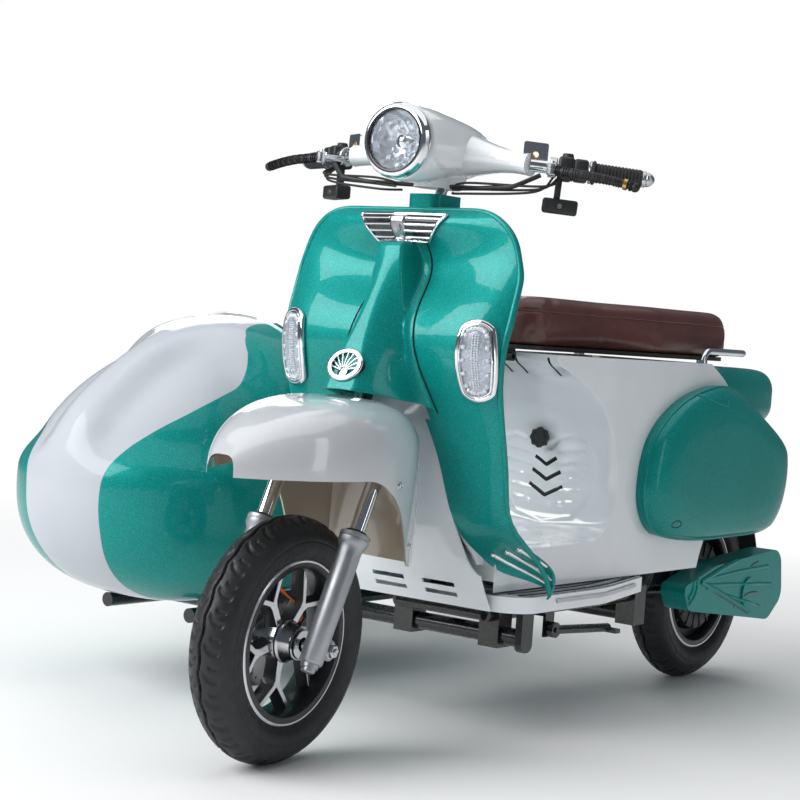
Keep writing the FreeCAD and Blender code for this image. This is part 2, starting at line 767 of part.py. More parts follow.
def fork_sliders():
    return joined([fork_slider(-1), fork_slider(1), front_axle()])


def front_brake():
    """Calliper over the disc, held by a plate on the right slider."""
    pad = DISC_RADIUS - DISC_INNER_RADIUS
    plane = -DISC_OFFSET - DISC_THICKNESS / 2
    reach = DISC_THICKNESS / 2 + CALLIPER_WALL
    centre = Vector(0, 0, WHEEL_RADIUS)
    inner = DISC_INNER_RADIUS
    outer = DISC_RADIUS + CALLIPER_WALL
    place = lambda along, up: centre + Vector(plane - reach, along, up)
    body = prism(
        [(inner, -pad, CALLIPER_ROUND), (outer, -pad, CALLIPER_ROUND), (outer, pad, CALLIPER_ROUND),
         (inner, pad, CALLIPER_ROUND)], place, Vector(reach * 2, 0, 0))
    gap = DISC_THICKNESS / 2 + PAD_GAP
    slot = block(plane - gap, plane + gap, -OVERRUN, DISC_RADIUS + PAD_GAP * 2, centre.z - pad * 2,
                 centre.z + pad * 2)
    low = centre.z + HUB_NOSE_RADIUS + MOVING_GAP
    high = low + BRAKE_ARM_HEIGHT
    arm = block(plane - reach - BRAKE_PLATE, plane - reach, -FORK_AHEAD_OF_AXLE, outer, low, high)
    link = block(-FORK_SPAN / 2 + SLIDER_RADIUS, plane - reach - BRAKE_PLATE / 2, BRAKE_LINK_LOW,
                 BRAKE_LINK_HIGH, low, high)
    return joined([body.cut(slot), arm, link])


# Front fender


def fender_crest(share):
    """Height of the fender's crown at a share of its length from the nose."""
    rise = FENDER_CREST - FENDER_SIDE_LOW
    turn = math.pi * min(share / FENDER_CREST_SHARE, 1) / 2
    return FENDER_SIDE_LOW + rise * math.sin(turn) ** FENDER_NOSE_POWER


def fender_section(share, inset):
    """Closed arch across the fender, its feet below the lowest edge that is kept."""
    length = FENDER_NOSE_AHEAD + FENDER_REAR_BEHIND
    y = -FENDER_NOSE_AHEAD + length * share
    fade = max(share - FENDER_REAR_SHARE, 0) / (1 - FENDER_REAR_SHARE)
    grow = math.sin(math.pi / 2 * min(share / FENDER_WIDE_SHARE, 1)) ** FENDER_PLAN_POWER
    half = FENDER_HALF_WIDTH * grow * (1 - FENDER_REAR_TAPER_SHARE * fade ** 2) - inset
    drop = (FENDER_CREST - FENDER_SIDE_LOW) * FENDER_REAR_DROP_SHARE * fade ** 2
    crown = fender_crest(share) - drop - inset
    low = FENDER_TAIL_LOW - OVERRUN
    arch = []
    for step in range(FENDER_STEPS + 1):
        angle = math.pi * step / FENDER_STEPS
        across, up = super_ellipse(angle, half, crown - FENDER_SPRING, FENDER_ARCH_POWER)
        arch.append(Vector(across, y, FENDER_SPRING + up))
    feet = [Vector(-half, y, low), Vector(half, y, low)]
    edges = [
        spline(arch),
        Part.LineSegment(arch[-1], feet[0]).toShape(),
        Part.LineSegment(feet[0], feet[1]).toShape(),
        Part.LineSegment(feet[1], arch[0]).toShape(),
    ]
    return Part.Wire(edges)


def front_fender():
    """Helmet fender open below, its lower edge falling to a tail behind the wheel."""
    outer = Part.makeLoft([fender_section(share, 0) for share in FENDER_STATION_SHARES], True)
    inner = Part.makeLoft([fender_section(share, FENDER_WALL) for share in FENDER_STATION_SHARES], True)
    length = FENDER_NOSE_AHEAD + FENDER_REAR_BEHIND
    inner.translate(Vector(0, -FENDER_WALL, 0))
    shell = outer.cut(inner)
    nose = -FENDER_NOSE_AHEAD
    tail = FENDER_TAIL_LOW
    side = FENDER_SIDE_LOW
    below = [
        (nose - OVERRUN, tail - OVERRUN * 2, 0), (nose - OVERRUN, side, 0),
        (nose + length * FENDER_FOOT_SHARE, side, FENDER_HALF_WIDTH),
        (nose + length * FENDER_HEEL_SHARE, tail, FENDER_TAIL_ROUND), (nose + length + OVERRUN, tail, 0),
        (nose + length + OVERRUN, tail - OVERRUN * 2, 0),
    ]
    reach = FENDER_HALF_WIDTH + OVERRUN
    shell = shell.cut(prism(below, side_plane(-reach), Vector(reach * 2, 0, 0)))
    stem = rod(steer_point(0, 0, axle_along()), steer_point(0, 0, axle_along() + STEM_LENGTH * 2),
               STEM_RADIUS)
    return shell.cut(stem)


# Headset, headlight and handlebar


def oval(centre, across, up, half_across, half_up):
    points = []
    for step in range(OVAL_STEPS):
        angle = 2 * math.pi * step / OVAL_STEPS
        points.append(centre + across * (half_across * math.cos(angle)) + up * (half_up * math.sin(angle)))
    return loop_spline(points)


def headset():
    """Moulded housing: a bucket behind the lamp that sweeps out into two tapering arms."""
    right, ahead, up = Vector(1, 0, 0), Vector(0, 1, 0), Vector(0, 0, 1)
    front = LAMP_CENTRE_Y + LAMP_RING_DEPTH
    sections = []
    for depth_share, width_share, height_share in HEADSET_BUCKET_SHARES:
        centre = Vector(0, front + (HEADSET_REAR_Y - front) * depth_share, LAMP_CENTRE_Z)
        sections.append(oval(centre, right, up, LAMP_RING_RADIUS * width_share,
                             LAMP_RING_RADIUS * height_share))
    bucket = Part.makeLoft(sections, True)
    shapes = [bucket]
    for side in (-1, 1):
        sections = []
        for reach_share, depth_share, height_share in HEADSET_ARM_SHARES:
            x = side * HEADSET_ARM_REACH * reach_share
            y = BAR_INNER_Y + HEADSET_SWEEP * (1 - reach_share)
            z = BAR_INNER_Z + (LAMP_CENTRE_Z - BAR_INNER_Z) * (1 - reach_share)
            sections.append(oval(Vector(x, y, z), ahead, up, HEADSET_DEPTH / 2 * depth_share,
                                 HEADSET_DEPTH / 2 * height_share))
        shapes.append(Part.makeLoft(sections, True))
    low = steer_point(0, NECK_AHEAD, neck_along())
    neck = []
    for share, size_share in ((0, 1), (1, NECK_FLARE_SHARE)):
        centre = low + steer_along() * (NECK_HEIGHT * share)
        neck.append(oval(centre, right, ahead, NECK_WIDTH / 2 * size_share, NECK_DEPTH / 2 * size_share))
    shapes.append(Part.makeLoft(neck, True))
    body = joined(shapes)
    lamp = Vector(0, front, LAMP_CENTRE_Z)
    body = body.cut(rod(lamp - Vector(0, OVERRUN, 0), lamp + Vector(0, REFLECTOR_DEPTH, 0),
                        LAMP_GLASS_RADIUS))
    stem_top = steer_point(0, 0, stem_top_along())
    return body.cut(rod(steer_point(0, 0, axle_along()), stem_top, STEM_RADIUS))


def yoke_low_along():
    return axle_along() - SLIDER_BELOW_AXLE + SLIDER_LENGTH + STANCHION_LENGTH - YOKE_THICKNESS


def stem_top_along():
    return yoke_low_along() + YOKE_THICKNESS + STEM_LENGTH


def neck_along():
    """Where the headset's neck starts, just above the fixed collar."""
    top = Vector(0, 0, SHIELD_TOP + COLLAR_HEIGHT + MOVING_GAP)
    return (top - steer_point(0, 0, 0)).dot(Vector(0, 0, 1)) / steer_along().z


def headlight_ring():
    """Deep polished ring around the lamp, rolled at its front edge."""
    depth = LAMP_RING_DEPTH
    outer = LAMP_RING_RADIUS
    inner = LAMP_GLASS_RADIUS
    corners = [
        (depth, inner, 0), (depth, outer - depth * RING_TAPER_SHARE, 0),
        (depth / 2, outer, depth * RING_ROUND_SHARE), (0, outer - depth / 4, depth * RING_ROUND_SHARE),
        (0, inner, 0),
    ]
    centre = Vector(0, LAMP_CENTRE_Y, LAMP_CENTRE_Z)
    return turned(corners, lambda back, radius: centre + Vector(0, back, radius), centre, Vector(0, 1, 0))


def headlight_lens():
    """Domed glass and the reflector bowl behind it as one closed lamp unit."""
    start = LAMP_CENTRE_Y + LAMP_RING_DEPTH / 2
    centre = Vector(0, start, LAMP_CENTRE_Z)
    radius = LAMP_GLASS_RADIUS
    dome = LENS_DOME
    back = REFLECTOR_DEPTH + LAMP_RING_DEPTH / 2
    edges = [
        Part.Arc(centre + Vector(0, -dome, 0), centre + Vector(0, -dome * LENS_RISE_SHARE, radius / 2),
                 centre + Vector(0, 0, radius)).toShape(),
        Part.LineSegment(centre + Vector(0, 0, radius), centre + Vector(0, back, radius)).toShape(),
        Part.LineSegment(centre + Vector(0, back, radius), centre + Vector(0, back, 0)).toShape(),
        Part.LineSegment(centre + Vector(0, back, 0), centre + Vector(0, -dome, 0)).toShape(),
    ]
    return Part.Face(Part.Wire(edges)).revolve(centre, Vector(0, 1, 0), 360)


def bar_frame(side):
    """Inner end of the bare bar, and the directions along it and square to it, ahead."""
    inner = Vector(side * HEADSET_ARM_REACH, BAR_INNER_Y, BAR_INNER_Z)
    tip = Vector(side * BAR_HALF_SPAN, BAR_TIP_Y, BAR_TIP_Z)
    along = (tip - inner).normalize()
    ahead = Vector(0, 0, side).cross(along).normalize() * -1
    return inner, along, ahead


def bar_spot(side, out, forward=0, above=0):
    inner, along, ahead = bar_frame(side)
    return inner + along * out + ahead * forward + Vector(0, 0, above)


def bar_length():
    inner = Vector(HEADSET_ARM_REACH, BAR_INNER_Y, BAR_INNER_Z)
    return (Vector(BAR_HALF_SPAN, BAR_TIP_Y, BAR_TIP_Z) - inner).Length


def bar_prism(side, corners, start, length):
    """Prism along the bar from an outline (ahead, above, corner radius)."""
    along = bar_frame(side)[1]
    place = lambda forward, above: bar_spot(side, start, forward, above)
    return prism(corners, place, along * length)


def bar_hole(side, shape):
    return shape.cut(rod(bar_spot(side, -OVERRUN), bar_spot(side, bar_length() + OVERRUN), BAR_RADIUS))


def largest(shape):
    return max(shape.Solids, key=lambda solid: solid.Volume)


def handlebar(side, housing):
    """Bare tube from the end of the headset's arm to the end of the grip."""
    tube = rod(bar_spot(side, 0), bar_spot(side, bar_length() - GRIP_END_LENGTH), BAR_RADIUS)
    return largest(tube.cut(housing))


def mirror_plate(side, housing):
    """Square plate standing on the headset arm, drilled for a mirror stem."""
    size = MIRROR_PLATE_SIZE
    start = MIRROR_PLATE_START
    along = bar_frame(side)[1]
    thick = MIRROR_PLATE_THICKNESS
    low = MIRROR_PLATE_RISE
    place = lambda out, above: bar_spot(side, out, -thick / 2, above)
    plate = prism(
        [(start, low, PLATE_ROUND), (start + size, low, PLATE_ROUND),
         (start + size, low + size, PLATE_ROUND),
         (start, low + size, PLATE_ROUND)], place, bar_frame(side)[2] * thick)
    middle = start + size / 2
    hole = rod(bar_spot(side, middle, -OVERRUN, low + size / 2),
               bar_spot(side, middle, OVERRUN, low + size / 2),
               MIRROR_HOLE_RADIUS)
    plate = plate.cut(hole).cut(rod(bar_spot(side, start), bar_spot(side, size), BAR_RADIUS + TOUCH_GAP))
    return largest(plate.cut(housing))


def grip(side):
    end = bar_length() - GRIP_END_LENGTH
    start = end - GRIP_LENGTH
    body = rod(bar_spot(side, start), bar_spot(side, end), GRIP_RADIUS)
    flange = rod(bar_spot(side, start), bar_spot(side, start + GRIP_FLANGE_WIDTH), GRIP_FLANGE_RADIUS)
    sleeve = joined([body, flange]).cut(rod(bar_spot(side, start - OVERRUN), bar_spot(side, end),
                                            BAR_RADIUS))
    cap = taper(bar_spot(side, end), bar_spot(side, bar_length()), GRIP_END_RADIUS,
                GRIP_END_RADIUS * GRIP_TIP_SHARE)
    return joined([sleeve, cap])


def switch_box(side):
    """Switch block on the bar, and the small box that hangs below it."""
    deep = SWITCH_DEPTH / 2
    tall = SWITCH_HEIGHT / 2
    edge = SWITCH_ROUND
    box = bar_prism(side, [(-deep, -tall, edge), (deep, -tall, edge), (deep, tall, edge),
                           (-deep, tall, edge)],
                    SWITCH_START, SWITCH_LENGTH)
    low = -CONTROL_BOX_DROP
    wide = CONTROL_BOX_DEPTH / 2
    high = CONTROL_BOX_HEIGHT / 2
    round_edge = CONTROL_BOX_ROUND
    hung = bar_prism(side, [(-wide, low - high, round_edge), (wide, low - high, round_edge),
                            (wide, low + high, round_edge), (-wide, low + high, round_edge)],
                     SWITCH_START - CONTROL_BOX_DEPTH / 2, CONTROL_BOX_LENGTH)
    stalk = bar_prism(side, [(-STALK_DEPTH / 2, low, 0), (STALK_DEPTH / 2, low, 0), (STALK_DEPTH / 2, 0, 0),
                             (-STALK_DEPTH / 2, 0, 0)], SWITCH_START, STALK_DEPTH)
    return bar_hole(side, joined([box, hung, stalk]))


def lever(side):
    """Clamp around the bar, its arm forward to the pivot, and the curved blade."""
    start = PERCH_START
    ring = rod(bar_spot(side, start), bar_spot(side, start + PERCH_LENGTH), BAR_RADIUS + PERCH_WALL)
    reach = LEVER_REACH
    drop = LEVER_DROP
    half = LEVER_HEIGHT / 2 + LEVER_THICKNESS / 2
    arm = bar_prism(side, [(0, -half, 0), (reach, -drop - half, half / 2), (reach, -drop + half, half / 2),
                           (0, half, 0)],
                    start, PERCH_LENGTH)
    points = [
        bar_spot(side, start + PERCH_LENGTH / 2, reach - half, -drop),
        bar_spot(side, start + LEVER_LENGTH * LEVER_KNEE_SHARE, reach + LEVER_KNEE, -drop),
        bar_spot(side, start + LEVER_LENGTH, reach + LEVER_SPLAY, -drop - LEVER_FALL),
    ]
    blade = bent_tube(points, LEVER_HEIGHT / 2, LEVER_LENGTH)
    tip = Part.makeSphere(LEVER_HEIGHT / 2 * BALL_SHARE, points[-1])
    return bar_hole(side, joined([ring, arm, blade, tip]))


def control_cable(side, housing, clamp):
    """Cable bundle from the lever clamp round the front to the side of the neck."""
    points = [Vector(side * across, back, above) for across, back, above in CABLE_ROUTE]
    return largest(bent_tube(points, CABLE_RADIUS, CABLE_BEND).cut(housing).cut(clamp))


# Leg shield and what it carries


def shield_section(row, shift):
    """Closed section at one height: the curved front face, and a flat back far behind it."""
    height_share, centre_share, shoulder_share, edge_share = row
    z = SHIELD_FOOT + (SHIELD_TOP - SHIELD_FOOT) * height_share
    half = SHIELD_HALF_WIDTH * SHIELD_BLANK_SHARE
    centre, shoulder, edge = [SHIELD_REFERENCE_Y * share + shift
                              for share in (centre_share, shoulder_share, edge_share)]
    back = SHIELD_REFERENCE_Y * SHIELD_BACK_SHARE
    face = [
        Vector(-half, edge, z), Vector(-half * SHIELD_SHOULDER_SHARE, shoulder, z),
        Vector(-half * SHIELD_CENTRE_SHARE, centre, z), Vector(half * SHIELD_CENTRE_SHARE, centre, z),
        Vector(half * SHIELD_SHOULDER_SHARE, shoulder, z), Vector(half, edge, z),
    ]
    corners = [Vector(half, back, z), Vector(-half, back, z)]
    edges = [
        spline(face), Part.LineSegment(face[-1], corners[0]).toShape(),
        Part.LineSegment(corners[0], corners[1]).toShape(), Part.LineSegment(corners[1], face[0]).toShape(),
    ]
    return Part.Wire(edges)


def behind_shield(shift):
    """Everything behind the shield's front face, the face moved back by shift."""
    return Part.makeLoft([shield_section(row, shift) for row in SHIELD_SECTION_SHARES], True)


def on_shield(blank, thickness):
    """Layer of the blank that lies on the shield's front face."""
    return blank.common(behind_shield(-thickness)).cut(behind_shield(-TOUCH_GAP))


def front_blank(corners):
    """Prism through the shield, from an outline in front view."""
    depth = SHIELD_REFERENCE_Y * SHIELD_BACK_SHARE
    return prism(corners, front_plane(-depth), Vector(0, depth * 2, 0))


def mirrored_corners(half_corners):
    return half_corners + [(-x, z, radius) for x, z, radius in half_corners[::-1]]


def shield_corners(shares):
    height = SHIELD_TOP - SHIELD_FOOT
    half = [(SHIELD_HALF_WIDTH * across, SHIELD_FOOT + height * up, SHIELD_HALF_WIDTH * bend)
            for across, up, bend in shares]
    return mirrored_corners(half)


def horn_corners(width_share, low):
    half = HORN_HALF_WIDTH * width_share
    top = half * HORN_TIP_SHARE
    return mirrored_corners([(half, low, 0), (top, HORN_TOP, 0)])


def shield_blank():
    blank = front_blank(shield_corners(SHIELD_OUTLINE_SHARES))
    return blank.cut(front_blank(shield_corners(SHIELD_WELL_SHARES)))


def leg_shield():
    """Double-curved shield, open at its foot around the wheel and behind the horn cover."""
    blank = shield_blank().cut(front_blank(horn_corners(HORN_OPENING_SHARE, HORN_LIP - OVERRUN)))
    return blank.common(behind_shield(0)).cut(behind_shield(SHIELD_WALL))


def horn_section(share, inset):
    """Rounded nose across the horn cover at one height."""
    z = HORN_LIP + (HORN_TOP - HORN_LIP) * share
    half = HORN_HALF_WIDTH * (1 - share * (1 - HORN_TIP_SHARE)) - inset
    back = HORN_BACK_Y + (HORN_TOP_Y - HORN_BACK_Y) * share
    nose = HORN_NOSE_Y + (HORN_TOP_Y - HORN_NOSE_Y) * share ** HORN_SWEEP_POWER + inset
    side = [(1, 0), (HORN_FLANK_SHARE, HORN_FLANK_RISE_SHARE), (HORN_CREST_SHARE, HORN_CREST_RISE_SHARE)]
    right = [Vector(half * across, back - (back - nose) * rise, z) for across, rise in side]
    left = [Vector(-spot.x, spot.y, z) for spot in right[::-1]]
    points = right + [Vector(0, nose, z)] + left
    rear = [Vector(-half, back * HORN_REAR_SHARE, z), Vector(half, back * HORN_REAR_SHARE, z)]
    edges = [
        spline(points), Part.LineSegment(points[-1], rear[0]).toShape(),
        Part.LineSegment(rear[0], rear[1]).toShape(), Part.LineSegment(rear[1], points[0]).toShape(),
    ]
    return Part.Wire(edges)


def horn_solid():
    return Part.makeLoft([horn_section(share, 0) for share in HORN_STATION_SHARES], True)


def horn_cover():
    """Ridge over the steering head that widens downward to a lip above the fender."""
    outer = horn_solid()
    inner = Part.makeLoft([horn_section(share, PANEL_WALL) for share in HORN_STATION_SHARES], True)
    inner.translate(Vector(0, 0, -PANEL_WALL))
    return outer.cut(inner).cut(behind_shield(-TOUCH_GAP)).cut(head_space())


def shield_badge():
    """Winged plate across the shield's top: ribs either side of a plain middle plate."""
    top = BADGE_TOP_WIDTH / 2
    low = BADGE_LOW_WIDTH / 2
    base = mirrored_corners([(low, BADGE_TOP - BADGE_HEIGHT, 0), (top, BADGE_TOP, 0)])
    shapes = [on_shield(front_blank(base), BADGE_THICKNESS - BADGE_RIB)]
    pitch = BADGE_HEIGHT / BADGE_RIBS
    for index in range(BADGE_RIBS):
        z = BADGE_TOP - BADGE_HEIGHT + pitch * index
        width = low + (top - low) * (index + BADGE_RIB_SHARE / 2) / BADGE_RIBS
        bar = front_blank([(-width, z, 0), (width, z, 0), (width, z + pitch * BADGE_RIB_SHARE, 0),
                           (-width, z + pitch * BADGE_RIB_SHARE, 0)])
        shapes.append(on_shield(bar, BADGE_THICKNESS))
    middle = BADGE_PLATE_WIDTH / 2
    plate = front_blank([(-middle, BADGE_TOP - BADGE_HEIGHT, 0), (middle, BADGE_TOP - BADGE_HEIGHT, 0),
                         (middle, BADGE_TOP, 0), (-middle, BADGE_TOP, 0)])
    shapes.append(on_shield(plate, BADGE_THICKNESS + BADGE_RIB))
    return joined(shapes).cut(horn_solid())


def oval_blank(x, z, width, height):
    half = width / 2
    corners = [(x - half, z - height / 2, half * OVAL_ROUND_SHARE),
               (x + half, z - height / 2, half * OVAL_ROUND_SHARE),
               (x + half, z + height / 2, half * OVAL_ROUND_SHARE),
               (x - half, z + height / 2, half * OVAL_ROUND_SHARE)]
    return front_blank(corners)


def lamp_frames():
    outer = oval_blank(LAMP_X, LAMP_Z, SIDE_LAMP_WIDTH, SIDE_LAMP_HEIGHT)
    inner = oval_blank(LAMP_X, LAMP_Z, SIDE_LAMP_WIDTH - SIDE_LAMP_RIM * 2,
                       SIDE_LAMP_HEIGHT - SIDE_LAMP_RIM * 2)
    return pair(on_shield(outer.cut(inner), SIDE_LAMP_DEPTH))


def lamp_lenses():
    rim = SIDE_LAMP_RIM + TOUCH_GAP
    blank = oval_blank(LAMP_X, LAMP_Z, SIDE_LAMP_WIDTH - rim * 2, SIDE_LAMP_HEIGHT - rim * 2)
    return pair(on_shield(blank, SIDE_LAMP_DEPTH * LENS_DEPTH_SHARE))


def horn_grille():
    """Round grille on the nose of the horn cover, with slots that fan out from its foot."""
    share = GRILLE_HEIGHT_SHARE
    z = HORN_LIP + (HORN_TOP - HORN_LIP) * share
    nose = HORN_NOSE_Y + (HORN_TOP_Y - HORN_NOSE_Y) * share ** HORN_SWEEP_POWER
    lean = math.radians(GRILLE_LEAN_DEG)
    out = Vector(0, -math.cos(lean), math.sin(lean))
    up = Vector(0, math.sin(lean), math.cos(lean))
    face = Vector(0, nose, z) + out * TOUCH_GAP
    disc = rod(face, face + out * GRILLE_DEPTH, GRILLE_RADIUS)
    foot = face - up * (GRILLE_RADIUS / 2) + out * (GRILLE_DEPTH * GRILLE_SLOT_FLOOR_SHARE)
    for index in range(GRILLE_SLOTS):
        angle = math.radians(GRILLE_FAN_DEG) * (index / (GRILLE_SLOTS - 1) - 1 / 2)
        along = up * math.cos(angle) + Vector(1, 0, 0) * math.sin(angle)
        across = up * -math.sin(angle) + Vector(1, 0, 0) * math.cos(angle)
        near = foot + along * (GRILLE_RADIUS * GRILLE_SLOT_START_SHARE)
        far = foot + along * (GRILLE_RADIUS * GRILLE_SLOT_END_SHARE)
        wide = GRILLE_SLOT_WIDTH / 2
        corners = [near - across * (wide / 2), near + across * (wide / 2), far + across * wide,
                   far - across * wide]
        slot = Part.Face(Part.makePolygon(corners + corners[:1])).extrude(out * GRILLE_DEPTH)
        disc = disc.cut(slot)
    return disc.cut(horn_solid())


# Inner panel, floor and trim


def head_tube_ends():
    rake = math.radians(RAKE_DEG)
    lift = HEAD_TUBE_RADIUS * math.sin(rake)
    low_z = FENDER_CREST + MOVING_GAP + lift
    high_z = SHIELD_TOP + COLLAR_HEIGHT - lift
    along = [z / math.cos(rake) for z in (low_z, high_z)]
    return steer_point(0, 0, along[0]), steer_point(0, 0, along[1])


def column_section(row, inset):
    height_share, width_share, front_share, back_share = row
    z = SHIELD_FOOT + (SHIELD_TOP - SHIELD_FOOT) * height_share
    half = SHIELD_HALF_WIDTH * width_share - inset
    front = SHIELD_REFERENCE_Y * front_share - (OVERRUN if inset else 0)
    back = SHIELD_REFERENCE_Y * back_share - inset
    bend = half * COLUMN_ROUND_SHARE
    return outline([(-half, front, 0), (half, front, 0), (half, back, bend), (-half, back, bend)],
                   plan_plane(z))


def inner_panel():
    """White channel behind the shield that hides the steering head, open to the front."""
    outer = Part.makeLoft([column_section(row, 0) for row in COLUMN_SECTION_SHARES], True, True)
    inner = Part.makeLoft([column_section(row, PANEL_WALL) for row in COLUMN_SECTION_SHARES], True, True)
    column = outer.cut(inner).common(behind_shield(SHIELD_WALL + TOUCH_GAP))
    return column.cut(front_panel_hidden()).cut(head_space())


def head_space():
    """Room around the steering head and the tube that runs down from it."""
    low, high = head_tube_ends()
    along = steer_along() * OVERRUN
    room = rod(low - along, high + along, HEAD_TUBE_RADIUS + TOUCH_GAP)
    return room.fuse(bent_tube(down_tube_points(), TUBE_RADIUS + TOUCH_GAP, DOWN_TUBE_BEND))


def collar():
    """Painted collar on the shield's top, around the steering head."""
    centre = steer_point(0, NECK_AHEAD, neck_along())
    low = SHIELD_TOP + TOUCH_GAP
    half_width = COLLAR_WIDTH / 2
    half_depth = COLLAR_DEPTH / 2
    bend = half_width * COLLAR_ROUND_SHARE
    block_shape = prism(
        [(-half_width, centre.y - half_depth, bend), (half_width, centre.y - half_depth, bend),
         (half_width, centre.y + half_depth, bend), (-half_width, centre.y + half_depth, bend)],
        plan_plane(low), Vector(0, 0, COLLAR_HEIGHT - TOUCH_GAP))
    low_end, high_end = head_tube_ends()
    return block_shape.cut(rod(low_end, high_end + steer_along() * OVERRUN * 2,
                               HEAD_TUBE_RADIUS + TOUCH_GAP))


def front_panel():
    """White panel behind the wheel that bends back into the floor's front edge."""
    wall = PANEL_WALL
    profile = [Vector(0, y, z) for y, z in front_panel_profile()]
    shift = Vector(0, wall, wall / 2)
    edges = [
        spline(profile), Part.LineSegment(profile[-1], profile[-1] + shift).toShape(),
        spline([spot + shift for spot in profile]),
             Part.LineSegment(profile[0] + shift, profile[0]).toShape(),
    ]
    face = Part.Face(Part.Wire(Part.__sortEdges__(edges)))
    sheet = face.extrude(Vector(WELL_HALF_WIDTH * 2, 0, 0))
    sheet.translate(Vector(-WELL_HALF_WIDTH, 0, 0))
    for side in (-1, 1):
        for row in range(PANEL_SLOT_ROWS):
            x = side * (PANEL_SLOT_X + PANEL_SLOT_LENGTH / 2)
            z = PANEL_SLOT_Z + PANEL_SLOT_PITCH * row
            slot = block(x - PANEL_SLOT_LENGTH / 2, x + PANEL_SLOT_LENGTH / 2, 0, FLOOR_FRONT * 2,
                         z - PANEL_SLOT_HEIGHT / 2, z + PANEL_SLOT_HEIGHT / 2)
            sheet = sheet.cut(slot)
    ahead = shield_blank().cut(behind_shield(SHIELD_WALL + TOUCH_GAP))
    return sheet.cut(ahead).cut(head_space())


def front_panel_hidden():
    """Everything in front of the panel's back face, from the floor up to the panel's top."""
    profile = [Vector(0, y + PANEL_WALL + TOUCH_GAP, z + PANEL_WALL / 2) for y, z in front_panel_profile()]
    far = Vector(0, 0, profile[0].z)
    near = Vector(0, 0, profile[-1].z)
    edges = [
        spline(profile), Part.LineSegment(profile[-1], near).toShape(),
             Part.LineSegment(near, far).toShape(),
        Part.LineSegment(far, profile[0]).toShape(),
    ]
    solid = Part.Face(Part.Wire(Part.__sortEdges__(edges))).extrude(Vector(FLOOR_HALF_WIDTH * 2, 0, 0))
    solid.translate(Vector(-FLOOR_HALF_WIDTH, 0, 0))
    return solid


def front_panel_profile():
    depth = FLOOR_FRONT - PANEL_WALL - TOUCH_GAP - WELL_BACK_Y
    height = WELL_TOP - FLOOR_LOW
    return [(WELL_BACK_Y + depth * back, FLOOR_LOW + height * up) for back, up in FRONT_PANEL_SHARES]


def floor_outline(inset, z):
    half = FLOOR_HALF_WIDTH - inset
    narrow = FLOOR_REAR_HALF_WIDTH - inset
    front = FLOOR_FRONT + inset
    rear = FLOOR_REAR - inset
    bend = FLOOR_CORNER
    corners = [
        (half, front, bend), (half, front + (rear - front) * FLOOR_TAPER_SHARE, bend * 2),
               (narrow, rear, bend / 3),
        (-narrow, rear, bend / 3), (-half, front + (rear - front) * FLOOR_TAPER_SHARE, bend * 2),
        (-half, front, bend),
    ]
    return outline(corners, plan_plane(z))


def floor_pan():
    """Footboard tray, open below, with raised ridges underfoot."""
    outer = Part.Face(floor_outline(0, FLOOR_LOW)).extrude(Vector(0, 0, FLOOR_TOP - FLOOR_LOW))
    hollow = Vector(0, 0, FLOOR_TOP - FLOOR_LOW - PANEL_WALL)
    inner = Part.Face(floor_outline(PANEL_WALL, FLOOR_LOW)).extrude(hollow)
    tray = outer.cut(inner)
    pan = [tray]
    start = FLOOR_FRONT + FLOOR_CORNER
    for index in range(FLOOR_RIDGES):
        y = start + FLOOR_RIDGE_PITCH * index
        x = FLOOR_HALF_WIDTH * FLOOR_RIDGE_SHARE
        pan.append(block(-x, x, y, y + FLOOR_RIDGE_WIDTH, FLOOR_TOP - PANEL_WALL / 2,
                         FLOOR_TOP + FLOOR_RIDGE_HEIGHT))
    floor = joined(pan)
    return floor.cut(bent_tube(down_tube_points(), TUBE_RADIUS + TOUCH_GAP, DOWN_TUBE_BEND))


def floor_trim():
    """Silver strips along the footboard's sides."""
    wide = floor_outline(-STRIP_THICKNESS - TOUCH_GAP, FLOOR_TOP - STRIP_HEIGHT * 2)
    near = floor_outline(-TOUCH_GAP, FLOOR_TOP - STRIP_HEIGHT * 2)
    up = Vector(0, 0, STRIP_HEIGHT)
    ring = Part.Face(wide).extrude(up).cut(Part.Face(near).extrude(up))
    keep = block(FLOOR_HALF_WIDTH / 2, FLOOR_HALF_WIDTH * 2, FLOOR_FRONT + FLOOR_CORNER * 2,
                 FLOOR_REAR - FLOOR_CORNER,
                 FLOOR_LOW - OVERRUN, FLOOR_TOP + OVERRUN)
    return pair(ring.common(keep))


# Body under the seat


def rear_centre():
    return Vector(0, WHEELBASE, WHEEL_RADIUS)


def body_low():
    return FLOOR_TOP + FLOOR_RIDGE_HEIGHT + TOUCH_GAP


